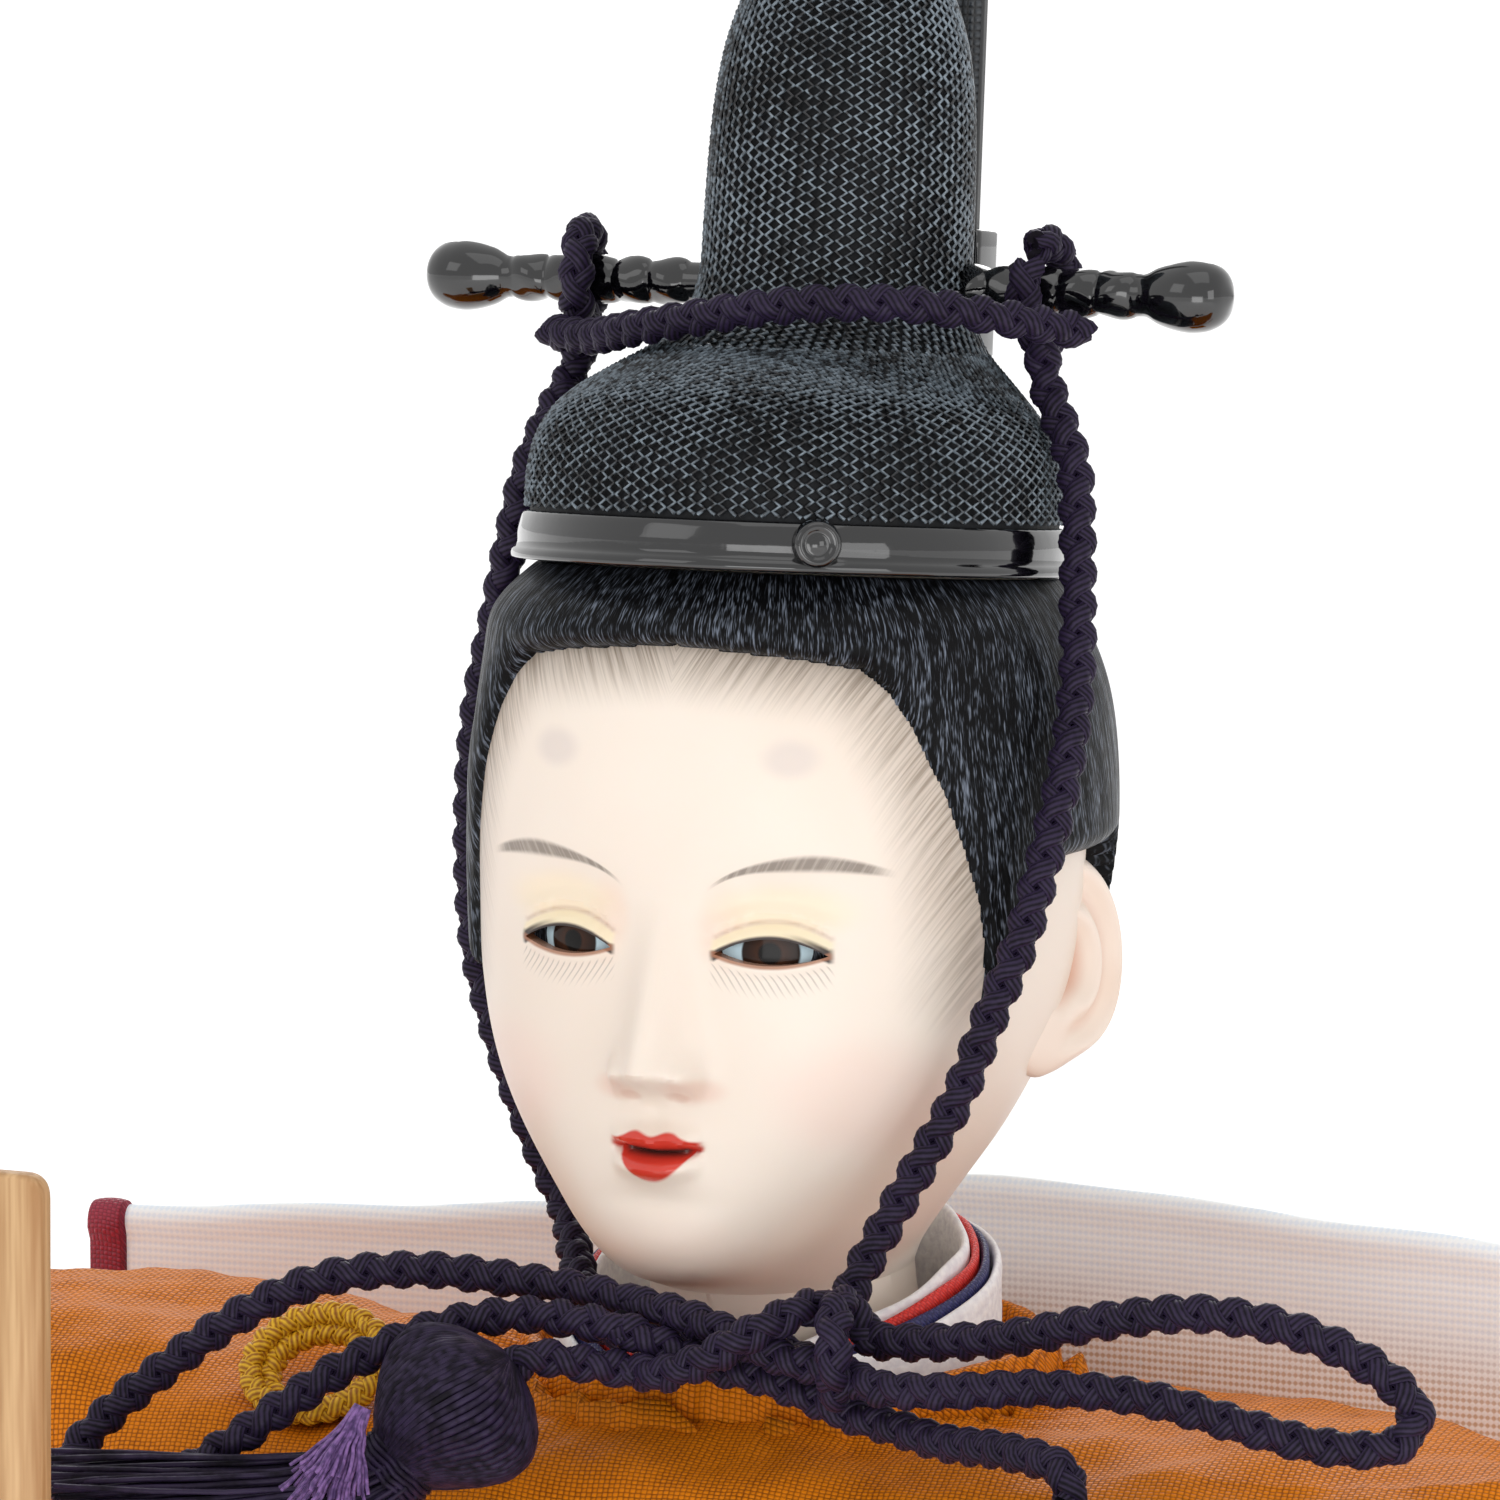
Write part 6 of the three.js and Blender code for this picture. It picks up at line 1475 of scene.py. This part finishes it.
# The over-robe: plain-woven orange silk over a padded torso, cut in a front and a back sewn up the sides and along
# the shoulders, and gathered in small puckers where it is stitched to its collar.
torso_half_width, torso_front, torso_back, torso_foot_z, shoulder_z, right_rise = 64, 42, 34, 8, 145.8, 3.6
robe_thick, seam_y, robe_lap_z, neck_opening, collar_outer = 1.6, 2.0, 49, 19.3, 18.83
torso_shares = [
    (0, 0.92, -1.1, 1.42), (0.2, 0.86, -1.04, 1.3), (0.37, 0.78, -1, 1.12), (0.55, 0.79, -0.98, 1.02),
    (0.72, 0.85, -0.92, 0.95), (0.85, 0.93, -0.83, 0.85), (0.93, 0.985, -0.73, 0.7), (0.97, 0.995, -0.665, 0.56),
    (0.99, 0.985, -0.6, 0.44), (1, 0.95, -0.5, 0.33),
]
fold_draw = np.random.default_rng(3)
fold_ways = fold_draw.normal(0, 1, (14, 3))
fold_starts = fold_draw.uniform(0, math.tau, 14)


def wrinkled(points, size, depth, stretch=(1, 1, 1)):
    """Soft, irregular folds about one size across, as a height for every point."""
    scaled = points * np.array(stretch)
    height = np.zeros(len(points))
    for k, (way, start) in enumerate(zip(fold_ways, fold_starts)):
        wave = math.tau / (size * (0.6 + 0.09 * k)) * way / np.linalg.norm(way)
        bent = scaled + 0.35 * size * np.sin(scaled[:, [1, 2, 0]] * (1.7 / size) + start)
        height += np.sin(bent @ wave + start)
    return depth * height / math.sqrt(len(fold_ways) / 2)


def torso_ring(t, grow, columns):
    height, width, front, back = row_at(torso_shares, t)
    ring = oval(
        torso_foot_z + (shoulder_z - torso_foot_z) * height, torso_half_width * width + grow,
        torso_back * (back - 1) / 2, torso_front * front - grow, torso_back * back + grow, 2.4, columns,
    )
    ring[:, 2] += right_rise * ease(0.75, 1, height) * ease(27, 57, -ring[:, 0])
    return ring


robe_columns = 420
robe_rings = [torso_ring(t, 0, robe_columns) for t in 1 - (1 - np.linspace(0, 1, 118)) ** 1.6]
edge = robe_rings[-1]
turn = np.arctan2(edge[:, 0], -edge[:, 1])
neck_line = ring_about((0, 0, shoulder_z + 0.6), (0, -1, 0), (1, 0, 0), turn, neck_opening)
for share in np.linspace(0, 1, 40)[1:]:
    ring = edge + (neck_line - edge) * share
    ring[:, 2] += 0.3 * math.sin(math.pi * share) * ease(3, 20, np.linalg.norm(edge - neck_line, axis=1))
    robe_rings.append(ring)
robe_rings.append(neck_line + [0, 0, -3])


def robe_relief(p):
    """Puckers that run out from the collar, and broad soft folds."""
    radius, angle = np.hypot(p[:, 0], p[:, 1]), np.arctan2(p[:, 0], -p[:, 1])
    near_neck = (1 - ease(neck_opening, neck_opening + 11, radius)) * ease(120, 138, p[:, 2])
    pucker = np.sin(angle * 38 + 3 * np.sin(angle * 5)) + 0.6 * np.sin(angle * 61 + 2 * np.sin(angle * 7))
    return 0.22 * pucker * near_neck + wrinkled(p, 16, 0.4) + wrinkled(p, 5, 0.08)


orange = woven("orange_weave", tone(100, 42, 2), tone(226, 128, 14), 0.42, slub=0.3, rough=0.5, gap_shade=0.7,
               Specular_IOR_Level=0.1)
skin_of_robe = skinned("robe_skin", robe_rings, orange, caps=False)


def pushed(piece, relief):
    """Moves every point of a piece along its normal by a height in millimetres."""
    mesh = piece.data
    places, normals = np.empty(3 * len(mesh.vertices)), np.empty(3 * len(mesh.vertices))
    mesh.vertices.foreach_get("co", places)
    mesh.vertex_normals.foreach_get("vector", normals)
    places, normals = places.reshape(-1, 3) / MM, normals.reshape(-1, 3)
    places += normals * relief(places)[:, None]
    places[:, 2] = np.maximum(places[:, 2], 0.4)
    mesh.vertices.foreach_set("co", (places * MM).ravel())
    mesh.update()
    return piece


pushed(skin_of_robe, robe_relief)


def part_of(piece, name, keep):
    """A copy of a piece with the faces whose middles pass a test."""
    mesh = piece.data.copy()
    made = placed(name, mesh)
    work = bmesh.new()
    work.from_mesh(mesh)
    lost = [face for face in work.faces if not keep(face.calc_center_median() / MM)]
    bmesh.ops.delete(work, geom=lost, context="FACES")
    work.to_mesh(mesh)
    work.free()
    return made


for node, keep, height, area in (
    ("robe_front", lambda p: p.y < seam_y and p.z > robe_lap_z, 0.14, 0.0135),
    ("robe_back", lambda p: p.y >= seam_y, 0.15, 0.0155),
):
    piece = part_of(skin_of_robe, node + "_silk", keep)
    thick = piece.modifiers.new("thick", "SOLIDIFY")
    thick.thickness, thick.offset = robe_thick * MM, -1
    seat(applied(piece), "body", "orange_silk", node)
    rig.sheet(piece, flat=(0.15, height), held="stretched", rests_on=["under_robe"], area=area)
bpy.data.objects.remove(skin_of_robe)

# The robe's collar: a doubled band of the same silk, folded over a soft core and whipped down in close stitches.
collar_inner, collar_foot_z, collar_top_z, collar_columns = 17.43, 142.7, 149, 520
rings = []
for angle in turns_of(collar_columns):
    pucker = 0.16 * math.sin(angle * 41 + 3 * math.sin(angle * 6)) + 0.1 * math.sin(angle * 67)
    lift = 0.25 * math.sin(angle * 5 + 1)
    rows = []
    for turn in turns_of(44):
        share = (1 - math.cos(turn)) / 2
        wide = 0.78 + 0.25 * math.sin(math.pi * share) + pucker * share
        height = (collar_top_z + collar_foot_z) / 2 - math.cos(turn) * (collar_top_z - collar_foot_z) / 2
        out = (collar_inner + collar_outer) / 2 + wide * math.copysign(abs(math.sin(turn)) ** 0.45, math.sin(turn))
        rows.append((out * math.sin(angle), -out * math.cos(angle), height + lift * share))
    rings.append(np.array(rows))
robe_band = skinned("robe_collar_silk", [*rings, rings[0]], orange, caps=False)
seat(robe_band, "body", "orange_silk", "robe_collar")
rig.sheet(robe_band, flat=(0.0102, 0.114), held="folded", rests_on=["under_robe"], area=0.00108)

# The gold button loop on the robe's right front: a fine plait of yellow silk wound twice into a ring.
loop_x, loop_y, loop_z, loop_reach, loop_stretch, loop_tilt = -26.1, -21.0, 148.0, 3.7, 1.18, 0.75
gold, gold_place = finish("gold_silk", tone(206, 158, 40), 0.45, Specular_IOR_Level=0.3)
# Painted shade in the grooves between yarns and painted light on the crowns, with fine random tone.
gold_shade = (gold_place.attribute("crown") * 0.6 + gold_place.noise(2400, 1) * 0.5).smooth(0.2, 0.9)
gold_shade.mix(tone(150, 88, 6), tone(236, 184, 38)).to("Base Color")
gold_place.noise(3000, 1).bump(0.00005, 0.5).to("Normal")
gold_plait = braid_tree("gold_plait", gold)
routes = []
for side, rise, grow in ((-1, -0.4, -0.4), (1, 0.5, 0.5)):
    route = []
    reach = loop_reach + grow
    for turn in np.linspace(0, math.tau, 25) + side:
        flat = Vector((loop_stretch * reach * math.cos(turn), reach * math.sin(turn), rise))
        route.append(Vector((loop_x, loop_y, loop_z)) + Matrix.Rotation(loop_tilt, 4, "X") @ flat)
    routes.append(route)
plaited(
    "gold_loop_plait", routes, "button_loop", "gold_cord", "body", gold_plait,
    **{"Middle": 0.44 * MM, "Weave": 0.17 * MM, "Pitch": 1.3 * MM, "Step": 0.16 * MM, "Yarns": 14,
       "Half width": 0.52 * MM, "Half thickness": 0.36 * MM},
)

# The stiff sheet behind the shoulders: ribbed white silk with a rolled top edge, bound in dark red at both ends.
sheet_half_width, sheet_back_y, sheet_bow, sheet_rise, sheet_thick = 66.6, 22.61, 3.5, 10.9, 1.2
sheet_foot_z, binding_width, binding_rise = 139, 2.6, 0.45
sheet_drops = [(-1, 0.633), (-0.42, 0.388), (0.06, 0), (0.4, 0.058), (0.73, 0.158), (1, 0.259)]


def sheet_section(share, swell):
    """The sheet's outline at one place across, from its foot over the rolled edge and down again."""
    y = sheet_back_y - sheet_bow * share * share + 0.25 * math.sin(share * 9)
    half = sheet_thick / 2 + swell
    top = shoulder_z + sheet_rise * (1 - row_at(sheet_drops, share)[1]) + swell + 0.12 * math.sin(share * 23)
    roll = top - 2.2 * half
    rows = [(-half, z) for z in np.linspace(sheet_foot_z, roll - 1, 14)]
    for turn in np.linspace(0, math.pi, 13):
        rows.append((-(half * 1.45) * math.cos(turn), roll + (top - roll) * math.sin(turn) ** 0.8))
    rows += [(half, z) for z in np.linspace(roll - 1, sheet_foot_z, 14)]
    return np.array([(share * sheet_half_width, y + dy, z) for dy, z in rows])


ribbed, rib_place = finish("sheet_silk", tone(226, 218, 218), 0.65, Sheen_Weight=0.1)
x, y, z = [part / MM for part in rib_place.parts()]
sheet_top = x.smooth(-66, 4) * 7.3 + 149.2 + x.smooth(-20, 4, 0, 2.5) - x.smooth(4, 66, 0, 2.8)
row_pitch, dash_pitch = 0.55, 0.46
loose = rib_place.noise(300, 2) * 0.5
rows = ((z / row_pitch + loose * 0.3) * math.tau).sin()
dashes = (x / dash_pitch * math.tau + loose).sin()
dash = (rows * 0.7 + dashes * 0.5 + rib_place.noise(900, 2) * 0.8).smooth(-0.5, 0.9)
upper = dash.mix(tone(238, 245, 253), tone(253, 255, 255))
lower = dash.mix(tone(214, 184, 154), tone(254, 252, 250))
(sheet_top - z).smooth(7, 15).mix(upper, lower).to("Base Color")
dash.smooth(0, 1, 0.7, 0.45).to("Roughness")
(rows * 0.6 + dashes * 0.4).bump(0.00003, 0.4).to("Normal")
end_share = 1 - (binding_width + 0.3) / sheet_half_width
white_sheet = skinned("sheet_silk", [sheet_section(s, 0) for s in np.linspace(-end_share, end_share, 260)], ribbed)
seat(white_sheet, "body", "white_silk", "back_sheet")
dark_red = woven("binding_silk", tone(112, 20, 42), tone(168, 42, 66), 0.34)
start_share = 1 - binding_width / sheet_half_width
bindings = []
for side, word in ((1, "left"), (-1, "right")):
    shares = side * np.linspace(start_share, 1, 15)
    swells = binding_rise * np.sin(math.pi * np.linspace(0.12, 0.88, 15)) ** 0.5
    bound = skinned("binding_" + word, [sheet_section(s, w) for s, w in zip(shares, swells)], dark_red)
    bindings.append(seat(bound, "body", "dark_red_silk", "back_binding_" + word))
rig.sheet(white_sheet, flat=(0.128, 0.019), held="folded", rests_on=["robe_back"], with_pieces=bindings)

# What is under the robe: a padded white under-robe that fills the torso, stuffed with cotton and stitched shut.
def softened(name, node, material, voxel, rounds, relief=None):
    """A cloth form from a solid's own shape: its copy is meshed finely, its edges are eased and folds are added."""
    mesh = frame["nodes"][node].data.copy()
    mesh.materials.clear()
    mesh.materials.append(material)
    piece = outward(placed(name, mesh))
    fine = piece.modifiers.new("fine", "REMESH")
    fine.mode, fine.voxel_size = "VOXEL", voxel * MM
    eased = piece.modifiers.new("eased", "SMOOTH")
    eased.factor, eased.iterations = 0.5, rounds
    applied(piece)
    if relief:
        pushed(piece, relief)
    piece.data.polygons.foreach_set("use_smooth", [True] * len(piece.data.polygons))
    return piece


cotton = mottled(
    "under_cotton", tone(236, 233, 228), 0.85, (tone(222, 218, 212), tone(242, 240, 236)), (700, 2), (1500, 2),
    (0.0002, 0.6), Sheen_Weight=0.2,
)
padding = softened("under_robe_cotton", "under_robe", cotton, 1.8, 5, lambda p: wrinkled(p, 12, 0.12))
seat(padding, "body", "white_silk", "under_robe")
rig.padded(padding, fill=0.8)

# The straw body and the neck peg, hidden inside the clothes: bound rice straw, and turned wood.
straw = mottled(
    "bound_straw", tone(201, 180, 131), 0.85, (tone(160, 136, 88), tone(220, 203, 156)), (900, 2), (900, 2),
    (0.0005, 0.8), stretch=(1, 1, 0.06),
)
turned_wood = mottled(
    "peg_wood", tone(214, 186, 146), 0.6, (tone(190, 158, 116), tone(226, 202, 166)), (700, 2), (900, 2),
    (0.0001, 0.4), stretch=(1, 1, 0.05),
)


def finished(node, material):
    """Gives a solid that is carried over its material."""
    mesh = frame["nodes"][node].data
    mesh.materials.clear()
    mesh.materials.append(material)


finished("straw_core", straw)
finished("neck_peg", turned_wood)

# The arms: straw rods in sleeves of the white under-robe, gathered a little along their length and turned back in
# a cuff at the wrist. Tubes of the robe's silk lie round them at the sleeves' heads and in the right sleeve's mouth,
# where one sees in.
arm_routes = {
    "left": [(26.95, 3, 130.9), (58.1, 1.9, 129), (80.1, -6, 118), (70.1, -32, 91.9), (48, -49.9, 72.1)],
    "right": [(-26.95, 3, 130.9), (-58.1, 1.9, 130), (-77.9, -8, 124), (-66.1, -36, 111.9), (-43.1, -56.6, 100.2)],
}
arm_radius, cuff_radius = 5.2, 7.6
tube_radius, tube_thick, tube_flat_radius, mouth_radius, mouth_flare = 6.6, 1, 7, 6.4, 3.4
mouth_start, mouth_end = 0.42, 0.9


def ring_round(line, i, turn, reach):
    """A ring round a line at one of its points, square to its way there."""
    way = (line[min(i + 1, len(line) - 1)] - line[max(i - 1, 0)]).normalized()
    side = way.cross(Vector((0, 0, 1))).normalized()
    return ring_about(line[i], side, way.cross(side), turn, reach)


def silk_tube(name, arm, line, start, end, radius):
    """A tube of the robe's silk round an arm, from one share of its length to another."""
    rings, last, turn = [], len(line) - 1, turns_of(96)
    steps = range(int(start * last) + 1, int(end * last) + 1)
    for grow, order in ((0, steps), (-tube_thick, reversed(steps))):
        for i in order:
            waves = 0.3 * np.sin(turn * 6 + 9 * i / last) * ease(0.1, 0.9, i / last)
            rings.append(ring_round(line, i, turn, radius(i / last) + grow + waves))
    made = seat(skinned(name, [*rings, rings[0]], orange, caps=False), "body", "orange_silk")
    length = line_length(line[steps[0]:steps[-1] + 1]) * MM
    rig.sheet(made, flat=(length, math.tau * tube_flat_radius * MM), held="hung", rests_on=[arm.name])


for word, route in arm_routes.items():
    line = [p / MM for p in curve_points(route, 16)]
    turn = turns_of(48)
    rings = []
    for i in range(len(line)):
        share = i / (len(line) - 1)
        swell = (cuff_radius - arm_radius) * ease(0.86, 0.98, share) - 1.2 * ease(0.988, 1, share)
        gathers = 0.22 * np.sin(share * 95 + 2 * np.sin(turn * 2))
        rings.append(ring_round(line, i, turn, arm_radius + swell + gathers + 0.15 * np.sin(turn * 7 + share * 20)))
    arm = skinned("arm_sleeve_" + word, rings, crepe)
    seat(arm, "body", "white_silk", "arm_core_" + word)
    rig.padded(arm, fill=0.9)
    silk_tube("sleeve_head_" + word, arm, line, 0.05, mouth_start, lambda share: tube_radius)
    if word == "right":
        silk_tube(
            "sleeve_mouth_" + word, arm, line, mouth_start, mouth_end,
            lambda share: mouth_radius + mouth_flare * ease(0.5, mouth_end, share),
        )

# The sleeves: wide squares of the robe's silk over a stiff paper lining, gathered at the shoulder and standing in
# deep folds to the hem. The silk is pressed in round the left wrist, so that the cuff shows.
left_wrist, wrist_dent, wrist_reach = (54, -49, 78), 6, 11
sleeve_middle_x, sleeve_middle_y = 96, -8


def sleeve_folds(p):
    """Broad folds that stand up and down, finer ones over them, and regular ones towards the hem."""
    angle = np.arctan2(p[:, 1] - sleeve_middle_y, np.abs(p[:, 0]) - sleeve_middle_x)
    low = 1 - ease(20, 140, p[:, 2])
    dent = wrist_dent * bell(np.linalg.norm(p - np.array(left_wrist), axis=1), 0, wrist_reach)
    broad = wrinkled(p, 42, 1.1, (1, 1, 0.35)) * (0.4 + low)
    return -dent + broad + wrinkled(p, 13, 0.3) + 0.7 * low * np.sin(angle * 17)


for word in ("left", "right"):
    sleeve = softened("sleeve_silk_" + word, "sleeve_" + word, orange, 1.35, 14, sleeve_folds)
    seat(sleeve, "body", "orange_silk", "sleeve_" + word)
    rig.padded(sleeve, fill=0.7)

# The trousers: stiff white silk, puffed out over the crossed legs and stuffed.
trouser_silk = woven("trouser_silk", tone(214, 210, 210), tone(242, 240, 240), 0.4, Sheen_Weight=0.2)


def trouser_folds(p):
    """Pleats that fade out towards the top, set in a little so that the robe lies clear over them."""
    pleats = 0.4 * np.sin(np.arctan2(p[:, 1] + 26, p[:, 0]) * 24) * (1 - ease(25, 50, p[:, 2]))
    return pleats - 0.7 + wrinkled(p, 18, 0.15)


for word in ("left", "right"):
    trouser = softened("trouser_silk_" + word, "trouser_" + word, trouser_silk, 1.8, 6, trouser_folds)
    seat(trouser, "body", "white_silk", "trouser_" + word)
    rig.padded(trouser, fill=0.9)

# The robe's skirt falls over the lap to the floor in front, with a wide band of the same silk sewn along its hem.
def skirt_folds(p):
    """Broad folds, and upright ones that deepen towards the hem."""
    low = 1 - ease(8, 46, p[:, 2])
    return 0.5 + wrinkled(p, 30, 0.5, (1, 1, 0.4)) + 0.5 * low * np.sin(p[:, 0] * 0.33 + 0.6 * np.sin(p[:, 0] * 0.11))


robe_skirt = softened("robe_skirt_silk", "robe_skirt", orange, 1.0, 5, skirt_folds)
seat(robe_skirt, "body", "orange_silk", "robe_skirt")
skirt_band = softened("skirt_band_silk", "skirt_band", orange, 0.8, 3, lambda p: skirt_folds(p) + 0.6)
seat(skirt_band, "body", "orange_silk", "skirt_band")
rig.sheet(
    robe_skirt, flat=(0.165, 0.125), held="draped", rests_on=["trouser_left", "trouser_right"], area=0.0125,
    with_pieces=[skirt_band],
)

# The train: a padded tail of the robe laid out behind on the floor, quilted into soft waves.
train = softened("train_silk", "train", orange, 1.1, 8, lambda p: wrinkled(p, 20, 0.35) + wrinkled(p, 6, 0.08))
seat(train, "body", "orange_silk", "train")
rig.padded(train, fill=0.5)

# The feet: split-toed white socks, sole to sole under the skirt's edge.
sock_silk = mottled(
    "sock_cotton", tone(240, 239, 236), 0.8, (tone(226, 224, 221), tone(245, 244, 241)), (1400, 2), (2400, 1),
    (0.00015, 0.6), Sheen_Weight=0.15,
)
for word in ("left", "right"):
    sock = softened("sock_cotton_" + word, "sock_" + word, sock_silk, 0.6, 10, lambda p: wrinkled(p, 7, 0.08))
    seat(sock, "body", "white_silk", "sock_" + word)
    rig.padded(sock, fill=1.0)

# The hands: carved wood under the same white shell paint as the head, on wires that the maker sets by hand.
hand_paint = mottled(
    "hand_white", tone(246, 234, 222), 0.42, (tone(240, 224, 212), tone(249, 238, 228)), (180, 2), (1200, 2),
    (0.0001, 0.15), Coat_Weight=0.18, Coat_Roughness=0.3,
)
for word in ("left", "right"):
    hand = softened("hand_carved_" + word, "hand_" + word, hand_paint, 0.4, 8)
    seat(hand, "body", "shell", "hand_" + word)

# The baton: a thin tablet of plain wood with planed faces, held upright in the right fist.
shaku_low, shaku_high = [np.array(corner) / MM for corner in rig.box("shaku")]
wood, wood_place = finish("baton_wood", tone(206, 164, 114), 0.5)
ring_line = wood_place.scaled(1, 1, 0.035).noise(520, 3, 0.65)
pores = wood_place.scaled(1, 1, 0.05).noise(2600, 1)
(ring_line * 0.8 + pores * 0.3).smooth(0.3, 0.85).mix(tone(166, 120, 74), tone(222, 184, 136)).to("Base Color")
ring_line.smooth(0.3, 0.8, 0.6, 0.42).to("Roughness")
(ring_line + pores * 0.5).bump(0.00012, 0.5).to("Normal")
(x_low, y_low, z_low), (x_high, y_high, z_high) = shaku_low, shaku_high
half_top, half_foot = (x_high - x_low) / 2, 4.0
corners = [(-half_foot, z_low), (half_foot, z_low), (half_top, z_high), (-half_top, z_high)]
line = rounded([(x, 0, z) for x, z in corners], 1.6, 9)
middle = np.array([0, 0, (z_low + z_high) / 2])
rings = []
for share, shrink in ((0, 0.3), (0.08, 0.08), (0.2, 0), (0.8, 0), (0.92, 0.08), (1, 0.3)):
    ring = line + (middle - line) * [shrink / half_top, 0, shrink / 40]
    ring[:, 0] += (x_low + x_high) / 2
    ring[:, 1] = y_low + (y_high - y_low) * share
    rings.append(ring)
seat(skinned("baton_planed", rings, wood), "shaku", "plain_wood", "shaku")

# The seat: a round-cornered board of plain planed wood that carries the straw body.
seat_wood, seat_place = finish("seat_wood", tone(202, 164, 112), 0.55)
grain = seat_place.scaled(0.05, 1, 1).noise(420, 3, 0.6)
grain.smooth(0.3, 0.75).mix(tone(172, 130, 84), tone(216, 180, 132)).to("Base Color")
grain.bump(0.0002, 0.5).to("Normal")
finished("seat_board", seat_wood)


# The box of the finished doll beside the box that it was built in.
shown_low, shown_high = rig.bounds()
with open("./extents.json", "w") as sizes:
    json.dump({
        "cad": [list(cad_low), list(cad_high)], "visual": [list(shown_low), list(shown_high)],
    }, sizes)
